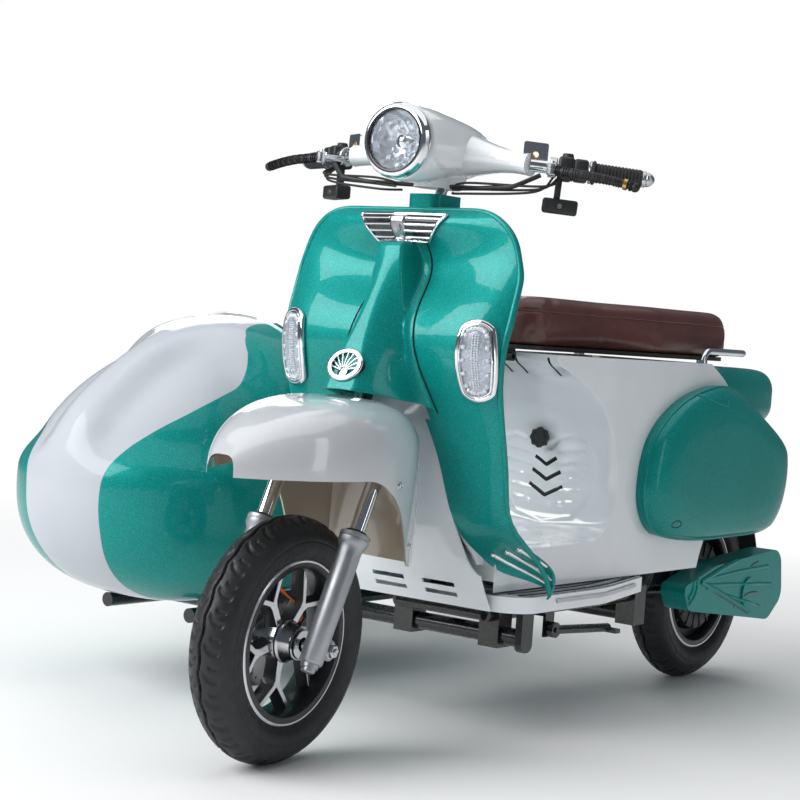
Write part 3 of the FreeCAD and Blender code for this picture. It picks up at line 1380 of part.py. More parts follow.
def body_profile(inset, top, x):
    """Side outline of the white body: hollow front, wheel arch below, top that falls away behind."""
    low = body_low() + inset
    tall = BODY_TOP - body_low()
    reach = BODY_WAIST - BODY_FRONT
    front = [Vector(x, BODY_FRONT + inset + reach * back, BODY_TOP - tall * down)
             for back, down in BODY_FRONT_SHARES]
    front[-1].z = low
    centre = rear_centre()
    arch = ARCH_RADIUS + inset
    rear = BODY_REAR - inset
    first = math.pi - math.asin((low - centre.z) / arch)
    last = math.acos((rear - centre.y) / arch)
    at_arch = lambda angle: Vector(x, centre.y + arch * math.cos(angle), centre.z + arch * math.sin(angle))
    spots = [
        at_arch(last), Vector(x, rear, BODY_TAIL_TOP - inset),
             Vector(x, BODY_SHOULDER_Y, BODY_SHOULDER_Z - inset),
        Vector(x, BODY_SLANT_Y, BODY_TOP - inset), Vector(x, BODY_SLANT_Y, top), Vector(x, front[0].y, top),
             front[0],
    ]
    edges = [
        spline(front), Part.LineSegment(front[-1], at_arch(first)).toShape(),
        Part.Arc(at_arch(first), at_arch((first + last) / 2), at_arch(last)).toShape(),
    ]
    for start, end in zip(spots, spots[1:]):
        if (end - start).Length > TOUCH_GAP / 2:
            edges.append(Part.LineSegment(start, end).toShape())
    return Part.Wire(edges)


def body_plan(inset):
    half = BODY_HALF_WIDTH - inset
    front = BODY_FRONT + inset - OVERRUN / 4
    long = BODY_REAR + OVERRUN / 4 - inset - front
    right = [(half * across, front + long * back, half * bend) for across, back, bend in BODY_PLAN_SHARES]
    left = [(-x, y, bend) for x, y, bend in right[::-1]]
    return prism(right + left, plan_plane(0), Vector(0, 0, SEAT_TOP))


def body_solid(inset, top):
    half = BODY_HALF_WIDTH + OVERRUN
    slab = Part.Face(body_profile(inset, top, -half)).extrude(Vector(half * 2, 0, 0))
    return slab.common(body_plan(inset))


def body_shell():
    """Hollow body with an open top under the seat and the rear wheel's arch below."""
    shell = body_solid(0, BODY_TOP).cut(body_solid(PANEL_WALL, BODY_TOP + OVERRUN))
    shell = shell.cut(side_tube(1, TUBE_RADIUS + TOUCH_GAP)).cut(side_tube(-1, TUBE_RADIUS + TOUCH_GAP))
    low, high = shock_line(SHOCK_X)
    reach = high - low
    for side in (-1, 1):
        first, last = shock_line(side * SHOCK_X)
        shell = shell.cut(rod(first, last + reach * SHOCK_ROOM_SHARE, SHOCK_RADIUS + MOVING_GAP))
    return joined([shell, hinge_bridge()])


def hinge_spot():
    return Vector(0, BODY_FRONT - HINGE_AHEAD, BODY_TOP - HINGE_BELOW)


def hinge_bridge():
    """Two ears ahead of the body's front edge with the seat's hinge pin between them."""
    spot = hinge_spot()
    half = KNUCKLE_LENGTH / 2 + MOVING_GAP
    eye = KNUCKLE_RADIUS
    shapes = []
    for side in (-1, 1):
        x = side * half if side > 0 else -half - EAR_THICKNESS
        ear = prism([(spot.y - eye, spot.z - eye, eye / 2), (BODY_FRONT + PANEL_WALL / 2, spot.z - eye, 0),
                     (BODY_FRONT + PANEL_WALL / 2, spot.z + eye, 0), (spot.y - eye, spot.z + eye, eye / 2)],
                    side_plane(x), Vector(EAR_THICKNESS, 0, 0))
        shapes.append(ear)
    pin_half = half + EAR_THICKNESS
    shapes.append(rod(spot - Vector(pin_half, 0, 0), spot + Vector(pin_half, 0, 0), SEAT_PIN_RADIUS))
    return joined(shapes)


def cowl_section(x, size, inset):
    long = COWL_REAR - COWL_FRONT
    tall = COWL_TOP - COWL_LOW
    middle_y = (COWL_REAR + COWL_FRONT) / 2
    middle_z = (COWL_TOP + COWL_LOW) / 2
    across = long * size - inset * 2
    up = tall * size - inset * 2
    points = [Vector(x, middle_y + across * (back - 1 / 2), middle_z + up * (rise - 1 / 2))
              for back, rise in COWL_OUTLINE_SHARES]
    return loop_spline(points)


def side_cowls():
    """Bulging painted covers either side of the body."""
    base = BODY_HALF_WIDTH + TOUCH_GAP
    outer = Part.makeLoft([cowl_section(base + COWL_BULGE * out, size, 0) for out,
                           size in COWL_STATION_SHARES], True)
    wall = PANEL_WALL
    inner = Part.makeLoft([cowl_section(base + (COWL_BULGE - wall) * out, size, wall)
                           for out, size in COWL_STATION_SHARES], True)
    shell = outer.cut(inner).cut(inner.translated(Vector(-wall, 0, 0)))
    return pair(shell)


def tail_section(row, inset):
    back, width_share, top_share, low_share = row
    y = BODY_SLANT_Y + TOUCH_GAP + inset + (TAIL_REAR - BODY_SLANT_Y - inset * 2) * back
    half = TAIL_HALF_WIDTH * width_share - inset
    tall = TAIL_TOP - TAIL_LOW
    top = TAIL_LOW + tall * top_share - inset
    low = TAIL_LOW + tall * low_share + inset
    bend = (top - low) * TAIL_ROUND_SHARE
    return outline([(-half, low, bend), (half, low, bend), (half, top, bend), (-half, top, bend)],
                   front_plane(y))


def tail_solid(inset):
    return Part.makeLoft([tail_section(row, inset) for row in TAIL_SECTION_SHARES], True)


def tail_cover():
    """Rounded tail that rests on the body's falling edge and overhangs the wheel."""
    room = body_solid(-TOUCH_GAP, BODY_TOP + TOUCH_GAP)
    return tail_solid(0).cut(tail_solid(PANEL_WALL)).cut(room)


def tail_lamp():
    y = TAIL_REAR + TOUCH_GAP * 2
    half = TAIL_HALF_WIDTH * TAIL_LAMP_SHARE
    middle = (TAIL_TOP + TAIL_LOW) / 2
    tall = (TAIL_TOP - TAIL_LOW) * TAIL_LAMP_SHARE / 2
    corners = [(-half, middle - tall, tall / 2), (half, middle - tall, tall / 2),
               (half, middle + tall, tall / 2),
               (-half, middle + tall, tall / 2)]
    return prism(corners, front_plane(y), Vector(0, TAIL_LAMP_DEPTH, 0))


# Seat and grab rail


def seat_outline(inset, z):
    half = SEAT_HALF_WIDTH
    long = SEAT_REAR - SEAT_FRONT
    right = []
    for across, back, bend in SEAT_PLAN_SHARES:
        x = half * across - inset
        y = SEAT_FRONT + long * back + inset * (1 - 2 * back)
        right.append((x, y, half * bend))
    left = [(-x, y, bend) for x, y, bend in right[::-1]]
    return outline(right + left, plan_plane(z))


def seat_cushion():
    """Padded saddle, narrow at the nose, with crowned edges."""
    low = SEAT_BASE_TOP + TOUCH_GAP
    tall = SEAT_TOP - low
    sections = [seat_outline(SEAT_EDGE_ROUND * inset_share, low + tall * rise)
                for rise, inset_share in SEAT_SECTION_SHARES]
    return Part.makeLoft(sections, True)


def seat_base():
    """Moulded pan under the cushion with the hinge knuckle at its nose."""
    low = SEAT_BASE_TOP - SEAT_BASE_THICKNESS
    plate = Part.Face(seat_outline(SEAT_BASE_INSET, low)).extrude(Vector(0, 0, SEAT_BASE_THICKNESS))
    spot = hinge_spot()
    half = KNUCKLE_LENGTH / 2
    knuckle = rod(spot - Vector(half, 0, 0), spot + Vector(half, 0, 0), KNUCKLE_RADIUS)
    web = block(-half, half, spot.y - SEAT_PIN_RADIUS, spot.y + SEAT_PIN_RADIUS, spot.z,
                low + SEAT_BASE_THICKNESS / 2)
    body = joined([plate, knuckle, web])
    return body.cut(rod(spot - Vector(half * 2, 0, 0), spot + Vector(half * 2, 0, 0),
                        SEAT_PIN_RADIUS + AXLE_FIT))


def grab_rail():
    """Chromed tube round the back of the seat, its ends turned down onto the body."""
    x = BODY_HALF_WIDTH
    start = SEAT_FRONT + (SEAT_REAR - SEAT_FRONT) * RAIL_START_SHARE
    low = BODY_TOP + TOUCH_GAP
    points = [
        Vector(x, start, low), Vector(x, start + RAIL_RADIUS * 2, RAIL_HEIGHT),
        Vector(x, RAIL_REAR, RAIL_HEIGHT), Vector(-x, RAIL_REAR, RAIL_HEIGHT),
        Vector(-x, start + RAIL_RADIUS * 2, RAIL_HEIGHT), Vector(-x, start, low),
    ]
    edges = rounded_edges(points, [0, RAIL_BEND / 4, RAIL_BEND, RAIL_BEND, RAIL_BEND / 4, 0], False)
    ring = Part.Wire(Part.makeCircle(RAIL_RADIUS, points[0], points[1] - points[0]))
    tube = Part.Wire(edges).makePipeShell([ring], True, True)
    feet = pair(rod(points[0], points[0] + Vector(0, 0, RAIL_RADIUS), RAIL_RADIUS + PANEL_WALL))
    return joined([tube] + feet.Solids).cut(block(-x * 2, x * 2, start - OVERRUN, start + OVERRUN,
                                                  low - OVERRUN, low))


# Frame, swingarm and drive


def down_tube_points():
    low, high = head_tube_ends()
    start = low + (high - low) * DOWN_TUBE_START_SHARE + Vector(0, HEAD_TUBE_RADIUS, 0)
    knee = Vector(0, WELL_BACK_Y + DOWN_TUBE_SET_BACK, start.z - DOWN_TUBE_DROP)
    return [start, knee, Vector(0, FLOOR_FRONT + FLOOR_CORNER, FRAME_LOW),
            Vector(0, ARM_PIVOT_Y, FRAME_LOW)]


def side_tube(side, radius):
    """One rail under the floor that rises behind the footboard and runs back under the seat."""
    x = side * RAIL_SPACING / 2
    points = [
        Vector(x, FLOOR_FRONT + FLOOR_CORNER, FRAME_LOW), Vector(x, ARM_PIVOT_Y, FRAME_LOW),
        Vector(x, ARM_PIVOT_Y + SEAT_TUBE_LEAN, SEAT_TUBE_KNEE_Z), Vector(x, SEAT_TUBE_REAR, SEAT_TUBE_TOP),
    ]
    return bent_tube(points, radius, SIDE_TUBE_BEND)


def main_frame():
    """Welded steel tubes: steering head, backbone, side rails, cross tubes and the stand's lug."""
    low, high = head_tube_ends()
    x = RAIL_SPACING / 2
    front_y = FLOOR_FRONT + FLOOR_CORNER
    shapes = [rod(low, high, HEAD_TUBE_RADIUS), bent_tube(down_tube_points(), TUBE_RADIUS, DOWN_TUBE_BEND),
              side_tube(-1, TUBE_RADIUS), side_tube(1, TUBE_RADIUS)]
    for y in (front_y, ARM_PIVOT_Y):
        shapes.append(rod(Vector(-x, y, FRAME_LOW), Vector(x, y, FRAME_LOW), BRACE_RADIUS))
    body = joined(shapes + [stand_bracket()])
    overrun = steer_along() * OVERRUN
    return body.cut(rod(low - overrun, high + overrun, STEM_RADIUS + AXLE_FIT))


def swingarm():
    """Two arms from the frame's pivot tube back to the rear axle."""
    x = ARM_SPACING / 2
    pivot_y = arm_pivot_y()
    centre = rear_centre()
    half = ARM_RADIUS + ARM_HOUSING_RIM
    end = x + half
    shapes = [rod(Vector(-end, pivot_y, FRAME_LOW), Vector(end, pivot_y, FRAME_LOW), ARM_HOUSING_RADIUS)]
    for side in (-1, 1):
        shapes.append(rod(Vector(side * x, pivot_y, FRAME_LOW), Vector(side * x, centre.y, centre.z),
                          ARM_RADIUS))
        shapes.append(rod(Vector(side * x - half, centre.y, centre.z),
                          Vector(side * x + half, centre.y, centre.z),
                          ARM_HOUSING_RADIUS))
    reach = Vector(COVER_INNER_X - TOUCH_GAP, 0, 0)
    shapes.append(rod(centre - reach, centre + reach, AXLE_RADIUS))
    return joined(shapes)


def motor_cover():
    """Arrow-shaped cover outside the left swingarm, with a round boss at the axle."""
    long = COVER_REAR - COVER_FRONT
    tall = COVER_TOP - COVER_LOW
    corners = [(COVER_FRONT + long * back, COVER_LOW + tall * up, tall * bend) for back, up,
               bend in COVER_OUTLINE_SHARES]
    body = prism(corners, side_plane(COVER_INNER_X), Vector(COVER_OUTER_X - COVER_INNER_X, 0, 0))
    inner = [(COVER_FRONT + long / 2 + (long / 2 - PANEL_WALL * 2) * (back * 2 - 1),
              (COVER_LOW + COVER_TOP) / 2 + (tall / 2 - PANEL_WALL) * (up * 2 - 1), tall * bend / 2)
             for back, up, bend in COVER_OUTLINE_SHARES]
    hollow = prism(inner, side_plane(COVER_INNER_X),
                   Vector(COVER_OUTER_X - COVER_INNER_X - PANEL_WALL, 0, 0))
    centre = rear_centre()
    boss = rod(Vector(COVER_OUTER_X, centre.y, centre.z),
               Vector(COVER_OUTER_X + COVER_BOSS_RISE, centre.y, centre.z),
               COVER_BOSS_RADIUS)
    stay = rod(Vector(COVER_INNER_X, centre.y, centre.z), Vector(COVER_OUTER_X, centre.y, centre.z),
               AXLE_HEAD_RADIUS)
    return joined([body.cut(hollow), boss, stay])


def arm_pivot_y():
    return ARM_PIVOT_Y + BRACE_RADIUS + ARM_HOUSING_RADIUS + TOUCH_GAP


def arm_height(y):
    """Height of the swingarm's axis at a place along it."""
    start = arm_pivot_y()
    return FRAME_LOW + (WHEEL_RADIUS - FRAME_LOW) * (y - start) / (WHEELBASE - start)


def shock_line(x):
    """Centres of the lower and upper eyes of a damper."""
    low = arm_height(SHOCK_LOW_Y) + ARM_RADIUS + TOUCH_GAP + SHOCK_EYE_RADIUS
    return Vector(x, SHOCK_LOW_Y, low), Vector(x, SHOCK_HIGH_Y, SHOCK_HIGH_Z)


def rear_shock(side):
    """Damper with its coil spring, an eye at each end."""
    low, high = shock_line(side * SHOCK_X)
    along = (high - low).normalize()
    tall = (high - low).Length
    start = tall * SPRING_START_SHARE
    pitch = tall * (SPRING_END_SHARE - SPRING_START_SHARE) / SPRING_COILS
    corners = [(0, 0, 0), (0, SHOCK_BODY_RADIUS, 0), (start, SHOCK_BODY_RADIUS, 0)]
    for index in range(SPRING_COILS):
        foot = start + pitch * index
        corners += [(foot + SPRING_WIRE / 2, SHOCK_RADIUS - SPRING_WIRE, 0),
                    (foot + pitch / 2, SHOCK_RADIUS, 0)]
    corners += [(start + pitch * SPRING_COILS, SHOCK_ROD_RADIUS, 0), (tall, SHOCK_ROD_RADIUS, 0),
                (tall, 0, 0)]
    place = lambda up, radius: low + along * up + Vector(radius, 0, 0)
    shapes = [turned(corners, place, low, along)]
    inner = SHOCK_X - SHOCK_EYE_LENGTH / 2
    lower = SHOCK_X + SHOCK_EYE_LENGTH / 2
    upper = RAIL_SPACING / 2 - TUBE_RADIUS - TOUCH_GAP
    for spot, end in ((low, lower), (high, upper)):
        shapes.append(rod(Vector(side * inner, spot.y, spot.z), Vector(side * end, spot.y, spot.z),
                          SHOCK_EYE_RADIUS))
    return joined(shapes)


def battery_block():
    half = BATTERY_WIDTH / 2
    low = body_low() + PANEL_WALL + TOUCH_GAP
    start = BATTERY_FRONT
    return block(-half, half, start, start + BATTERY_LENGTH, low, low + BATTERY_HEIGHT)


def rear_mudguard():
    """Curved guard behind the rear wheel with a blank number plate."""
    centre = rear_centre()
    inner = WHEEL_RADIUS + GUARD_GAP
    outer = inner + PANEL_WALL
    half = TYRE_WIDTH / 2 + GUARD_SIDE
    ring = rod(centre - Vector(half, 0, 0), centre + Vector(half, 0, 0), outer)
    ring = ring.cut(rod(centre - Vector(half * 2, 0, 0), centre + Vector(half * 2, 0, 0), inner))
    start = math.radians(GUARD_START_DEG)
    end = math.radians(GUARD_END_DEG)
    far = outer * 2
    corners = [Vector(-half * 2, centre.y, centre.z)]
    for angle in (start, (start + end) / 2, end):
        corners.append(Vector(-half * 2, centre.y + far * math.cos(angle),
                              centre.z + far * math.sin(angle)))
    wedge = Part.Face(Part.makePolygon(corners + corners[:1])).extrude(Vector(half * 4, 0, 0))
    guard = ring.common(wedge)
    spot = centre + Vector(0, outer * math.cos(start), outer * math.sin(start))
    hanger = block(-half / 2, half / 2, spot.y - PANEL_WALL * 2, spot.y, spot.z - PANEL_WALL,
                   TAIL_LOW + OVERRUN)
    return joined([guard, largest(hanger.cut(tail_solid(-TOUCH_GAP)))])


# Side stand


def stand_spot():
    return Vector(RAIL_SPACING / 2 + STAND_OUT, STAND_Y, FRAME_LOW - STAND_DROP)


def side_stand():
    """Leg with a flat foot, folded back along the floor."""
    spot = stand_spot()
    end = spot + Vector(0, STAND_LENGTH, -STAND_SINK)
    half = STAND_THICKNESS / 2
    eye = rod(spot - Vector(half, 0, 0), spot + Vector(half, 0, 0), STAND_EYE_RADIUS)
    leg = rod(spot, end, STAND_RADIUS)
    foot = block(spot.x - STAND_FOOT / 2, spot.x + STAND_FOOT / 2, end.y - STAND_RADIUS,
                 end.y + STAND_RADIUS,
                 end.z - STAND_RADIUS, end.z)
    body = joined([eye, leg, foot])
    return body.cut(rod(spot - Vector(half * 2, 0, 0), spot + Vector(half * 2, 0, 0),
                        SEAT_PIN_RADIUS + AXLE_FIT))


def stand_bracket():
    """Lug on the left floor rail with the pin that the stand turns on."""
    spot = stand_spot()
    half = STAND_THICKNESS / 2
    plate_x = spot.x - half - MOVING_GAP / 2 - STAND_PLATE
    plate = block(plate_x, plate_x + STAND_PLATE, spot.y - STAND_EYE_RADIUS, spot.y + STAND_EYE_RADIUS,
                  spot.z - STAND_EYE_RADIUS, FRAME_LOW)
    arm = block(RAIL_SPACING / 2, plate_x + STAND_PLATE, spot.y - STAND_EYE_RADIUS,
                spot.y + STAND_EYE_RADIUS,
                FRAME_LOW - STAND_PLATE / 2, FRAME_LOW + STAND_PLATE / 2)
    pin = rod(Vector(plate_x, spot.y, spot.z), spot + Vector(half + MOVING_GAP / 2, 0, 0), SEAT_PIN_RADIUS)
    return joined([plate, arm, pin])


# Sidecar


def sidecar_section(row, inset):
    back, width_share, top_share, low_share = row
    y = SIDECAR_NOSE + SIDECAR_LENGTH * back
    half = SIDECAR_HALF_WIDTH * width_share - inset
    rise = (SIDECAR_TOP - SIDECAR_WAIST_Z) * top_share - inset
    drop = (SIDECAR_WAIST_Z - SIDECAR_BOTTOM) * low_share - inset
    points = []
    for step in range(SIDECAR_STEPS):
        angle = 2 * math.pi * step / SIDECAR_STEPS
        tall = rise if math.sin(angle) > 0 else drop
        across, up = super_ellipse(angle, half, tall, SIDECAR_POWER)
        points.append(Vector(SIDECAR_X + across, y, SIDECAR_WAIST_Z + up))
    return loop_spline(points)


def sidecar_loft(inset):
    rows = SIDECAR_SECTION_SHARES if inset <= 0 else SIDECAR_SECTION_SHARES[1:-1]
    return Part.makeLoft([sidecar_section(row, inset) for row in rows], True)


def cockpit_cut(widen):
    """Side-view cut that opens the cockpit, from the cowl down along the sill and up to the back."""
    tall = SIDECAR_TOP - SIDECAR_BOTTOM
    reach = SIDECAR_HALF_WIDTH + OVERRUN
    corners = [(SIDECAR_NOSE + SIDECAR_LENGTH * back, SIDECAR_BOTTOM + tall * up, tall * bend)
               for back, up, bend in SIDECAR_RIM_SHARES]
    wire = outline(corners, side_plane(SIDECAR_X - reach))
    if widen:
        wire = wire.makeOffset2D(widen)
    return Part.Face(wire).extrude(Vector(reach * 2, 0, 0))


def sidecar_body():
    """Egg-shaped shell with a cut-down cockpit."""
    return sidecar_loft(0).cut(sidecar_loft(SIDECAR_WALL)).cut(cockpit_cut(0))


def sidecar_trim():
    """Polished strip along the cockpit's edge."""
    band = cockpit_cut(TRIM_WIDTH).cut(cockpit_cut(0))
    return band.common(sidecar_loft(-TRIM_THICKNESS).cut(sidecar_loft(0)))


def bench_start():
    return SIDECAR_NOSE + SIDECAR_LENGTH * BENCH_START_SHARE


def cushion_corners():
    y = bench_start()
    low = SIDECAR_BOTTOM + BENCH_HEIGHT + TOUCH_GAP
    far = y + CUSHION_LENGTH
    high = low + CUSHION_THICKNESS
    return [(y, low, CUSHION_ROUND), (far, low, CUSHION_ROUND), (far, high, CUSHION_ROUND),
            (y, high, CUSHION_ROUND)]


def sidecar_seat():
    """Upholstered seat on the bench."""
    half = CUSHION_WIDTH / 2
    return prism(cushion_corners(), side_plane(SIDECAR_X - half), Vector(half * 2, 0, 0))


def sidecar_backrest():
    """Upholstered back leaning behind the cushion."""
    half = CUSHION_WIDTH / 2
    lean = math.radians(BACKREST_LEAN_DEG)
    sink = (CUSHION_THICKNESS - CUSHION_ROUND) * math.sin(lean) + CUSHION_ROUND * (1 - math.cos(lean))
    low = SIDECAR_BOTTOM + BENCH_HEIGHT + TOUCH_GAP + sink
    y = bench_start() + CUSHION_LENGTH + TOUCH_GAP
    corners = [(y, low, CUSHION_ROUND), (y + CUSHION_THICKNESS, low, CUSHION_ROUND),
               (y + CUSHION_THICKNESS, low + BACKREST_HEIGHT, CUSHION_ROUND),
               (y, low + BACKREST_HEIGHT, CUSHION_ROUND)]
    rest = prism(corners, side_plane(SIDECAR_X - half), Vector(half * 2, 0, 0))
    rest.rotate(Vector(SIDECAR_X, y, low), Vector(1, 0, 0), -BACKREST_LEAN_DEG)
    return rest


def sidecar_bench():
    """Moulded bench that stands on the shell's floor and carries both cushions."""
    half = CUSHION_WIDTH / 2
    y = bench_start()
    top = SIDECAR_BOTTOM + BENCH_HEIGHT
    wall = SIDECAR_WALL
    outer = block(SIDECAR_X - half, SIDECAR_X + half, y, y + CUSHION_LENGTH + CUSHION_THICKNESS,
                  SIDECAR_BOTTOM, top)
    inner = block(SIDECAR_X - half + wall, SIDECAR_X + half - wall, y + wall,
                  y + CUSHION_LENGTH + CUSHION_THICKNESS - wall, SIDECAR_BOTTOM, top - wall)
    return outer.cut(inner).common(sidecar_loft(SIDECAR_WALL + TOUCH_GAP))


def sidecar_frame():
    """Cross tubes clamped under the scooter, sills and posts under the shell, and the wheel's carrier."""
    near = SIDECAR_X + SIDECAR_HALF_WIDTH
    step = near + STEP_LENGTH
    far = SIDECAR_X - SILL_OFFSET
    shapes = []
    for y, end in ((CROSS_FRONT_Y, CROSS_END_X), (CROSS_REAR_Y, RAIL_SPACING / 2 + CROSS_TUBE_RADIUS)):
        points = [Vector(end, y, CROSS_Z), Vector(step, y, CROSS_Z), Vector(near, y, SILL_Z),
                  Vector(far, y, SILL_Z)]
        shapes.append(bent_tube(points, CROSS_TUBE_RADIUS, STEP_BEND))
    for x in (SIDECAR_X - SILL_OFFSET, SIDECAR_X + SILL_OFFSET):
        shapes.append(rod(Vector(x, SILL_FRONT_Y, SILL_Z), Vector(x, SIDECAR_WHEEL_Y + TUBE_RADIUS, SILL_Z),
                          TUBE_RADIUS))
        for y in (SILL_FRONT_Y + OVERRUN, SIDECAR_WHEEL_Y - OVERRUN):
            post = rod(Vector(x, y, SILL_Z), Vector(x, y, SIDECAR_WAIST_Z), POST_RADIUS)
            shapes.append(post.cut(sidecar_loft(-TOUCH_GAP)))
    for y in (CROSS_FRONT_Y, CROSS_REAR_Y):
        for x in (-RAIL_SPACING / 2, RAIL_SPACING / 2):
            shapes.append(cross_clamp(x, y))
    shapes.append(cross_post())
    plate_x = SIDECAR_WHEEL_X + HUB_WIDTH / 2 + MOVING_GAP
    wheel_y = SIDECAR_WHEEL_Y
    shapes.append(rod(Vector(SIDECAR_X + SILL_OFFSET, wheel_y, SILL_Z), Vector(plate_x, wheel_y, SILL_Z),
                      TUBE_RADIUS))
    shapes.append(block(plate_x, plate_x + CARRIER_THICKNESS, wheel_y - CARRIER_WIDTH / 2,
                        wheel_y + CARRIER_WIDTH / 2,
                        SILL_Z - TUBE_RADIUS, WHEEL_RADIUS + GUARD_GAP + WHEEL_RADIUS))
    axle_end = SIDECAR_WHEEL_X - HUB_WIDTH / 2 - MOVING_GAP
    shapes.append(rod(Vector(axle_end, wheel_y, WHEEL_RADIUS), Vector(plate_x, wheel_y, WHEEL_RADIUS),
                      AXLE_RADIUS))
    shapes.append(rod(Vector(axle_end - AXLE_HEAD_LENGTH, wheel_y, WHEEL_RADIUS),
                      Vector(axle_end, wheel_y, WHEEL_RADIUS),
                      AXLE_HEAD_RADIUS))
    return joined(shapes)


def cross_clamp(x, y):
    """Steel clamp that hangs a cross tube from one of the scooter's floor rails."""
    wide = CLAMP_WIDTH / 2
    reach = CROSS_TUBE_RADIUS + CLAMP_WALL
    body = block(x - wide, x + wide, y - reach, y + reach, CROSS_Z - reach,
                 FRAME_LOW + TUBE_RADIUS + CLAMP_WALL)
    return body.cut(side_tube(1 if x > 0 else -1, TUBE_RADIUS + TOUCH_GAP))


def cross_post():
    """Plate with a round foot that closes the front cross tube under the floor's edge."""
    y = CROSS_FRONT_Y
    half = POST_HALF_DEPTH
    corners = [(y - half, POST_BOTTOM, half * CORNER_SHARE), (y + half, POST_BOTTOM, half * CORNER_SHARE),
               (y + half, FLOOR_LOW - TOUCH_GAP, 0), (y - half, FLOOR_LOW - TOUCH_GAP, 0)]
    return prism(corners, side_plane(CROSS_END_X - POST_THICKNESS / 2), Vector(POST_THICKNESS, 0, 0))


def sidecar_fender(carrier):
    """Rounded guard over the sidecar's wheel, held by the carrier plate."""
    centre = Vector(SIDECAR_WHEEL_X, SIDECAR_WHEEL_Y, WHEEL_RADIUS)
    half = TYRE_WIDTH / 2 + GUARD_SIDE
    inner = WHEEL_RADIUS + GUARD_GAP
    outer = inner + GUARD_CROWN
    wall = PANEL_WALL

    def at(across, radius):
        return centre + Vector(across, 0, radius)

    skin = []
    for inset in (0, wall):
        skin.append((at(-half + inset, inner - GUARD_SKIRT), at(-half + inset, inner),
                     at(0, outer - inset), at(half - inset, inner), at(half - inset, inner - GUARD_SKIRT)))
    first, second = skin
    edges = [
        Part.LineSegment(first[0], first[1]).toShape(), Part.Arc(first[1], first[2], first[3]).toShape(),
        Part.LineSegment(first[3], first[4]).toShape(), Part.LineSegment(first[4], second[4]).toShape(),
        Part.LineSegment(second[4], second[3]).toShape(),
             Part.Arc(second[3], second[2], second[1]).toShape(),
        Part.LineSegment(second[1], second[0]).toShape(), Part.LineSegment(second[0], first[0]).toShape(),
    ]
    face = Part.Face(Part.Wire(edges))
    face.rotate(centre, Vector(1, 0, 0), SIDE_GUARD_START_DEG)
    guard = face.revolve(centre, Vector(1, 0, 0), SIDE_GUARD_SWEEP_DEG)
    return guard.cut(carrier)


# Assembly


def both(build, *carried):
    """The right and left copies of a piece, as solids that stay apart."""
    return Part.makeCompound([build(-1, *carried), build(1, *carried)])


def control_cables(housing):
    return Part.makeCompound([control_cable(side, housing, lever(side)) for side in (-1, 1)])


def nodes():
    front_centre = Vector(0, 0, WHEEL_RADIUS)
    side_centre = Vector(SIDECAR_WHEEL_X, SIDECAR_WHEEL_Y, WHEEL_RADIUS)
    housing = headset()
    carrier = sidecar_frame()
    bright = [shield_badge(), horn_grille()] + lamp_frames().Solids
    steering = {
        "front_tyre": tyre(front_centre),
        "front_rim": cast_rim(front_centre),
        "front_disc": brake_disc(front_centre),
        "fork": fork(),
        "fork_sliders": fork_sliders(),
        "front_brake": front_brake(),
        "front_fender": front_fender(),
        "headset": housing,
        "headlight_ring": headlight_ring(),
        "headlight_lens": headlight_lens(),
        "handlebar": Part.makeCompound(both(handlebar, housing).Solids + both(mirror_plate,
                                                                              housing).Solids),
        "grips": both(grip),
        "hand_controls": Part.makeCompound(both(switch_box).Solids + both(lever).Solids),
        "control_cables": control_cables(housing),
    }
    fixed = {
        "leg_shield": leg_shield(),
        "horn_cover": Part.makeCompound([horn_cover(), collar()]),
        "shield_brightwork": Part.makeCompound(bright),
        "lamp_lenses": lamp_lenses(),
        "inner_panels": Part.makeCompound([inner_panel(), front_panel()]),
        "floor_pan": floor_pan(),
        "floor_trim": floor_trim(),
        "body_shell": body_shell(),
        "side_cowls": side_cowls(),
        "tail_cover": tail_cover(),
        "tail_lamp": tail_lamp(),
        "seat_cushion": seat_cushion(),
        "seat_base": seat_base(),
        "grab_rail": grab_rail(),
        "main_frame": main_frame(),
        "battery": battery_block(),
        "swingarm": swingarm(),
        "motor_cover": motor_cover(),
        "rear_shocks": both(rear_shock),
        "rear_mudguard": rear_mudguard(),
        "rear_tyre": tyre(rear_centre()),
        "rear_rim": motor_rim(rear_centre()),
        "side_stand": side_stand(),
        "sidecar_body": sidecar_body(),
        "sidecar_trim": sidecar_trim(),
        "sidecar_cushions": Part.makeCompound([sidecar_seat(), sidecar_backrest()]),
        "sidecar_bench": sidecar_bench(),
        "sidecar_frame": carrier,
        "sidecar_fender": sidecar_fender(carrier),
        "sidecar_tyre": tyre(side_centre),
        "sidecar_rim": cast_rim(side_centre),
    }
    pieces = {name: steered(shape) for name, shape in steering.items()}
    pieces.update(fixed)
    return pieces


def export(pieces):
    """Write each piece, moved so that the footprint's middle is the origin."""
    bounds = FreeCAD.BoundBox()
    for shape in pieces.values():
        bounds.add(shape.optimalBoundingBox(False, False))
    shift = Vector(-(bounds.XMin + bounds.XMax) / 2, -(bounds.YMin + bounds.YMax) / 2, -bounds.ZMin)
    os.makedirs("parts", exist_ok=True)
    for name, shape in pieces.items():
        moved = shape.copy()
        moved.translate(shift)
        moved.exportStep(os.path.join("parts", name + ".step"))


export(nodes())
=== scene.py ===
import math
import random

import bmesh
import bpy
from mathutils import Matrix, Vector
from mathutils.bvhtree import BVHTree


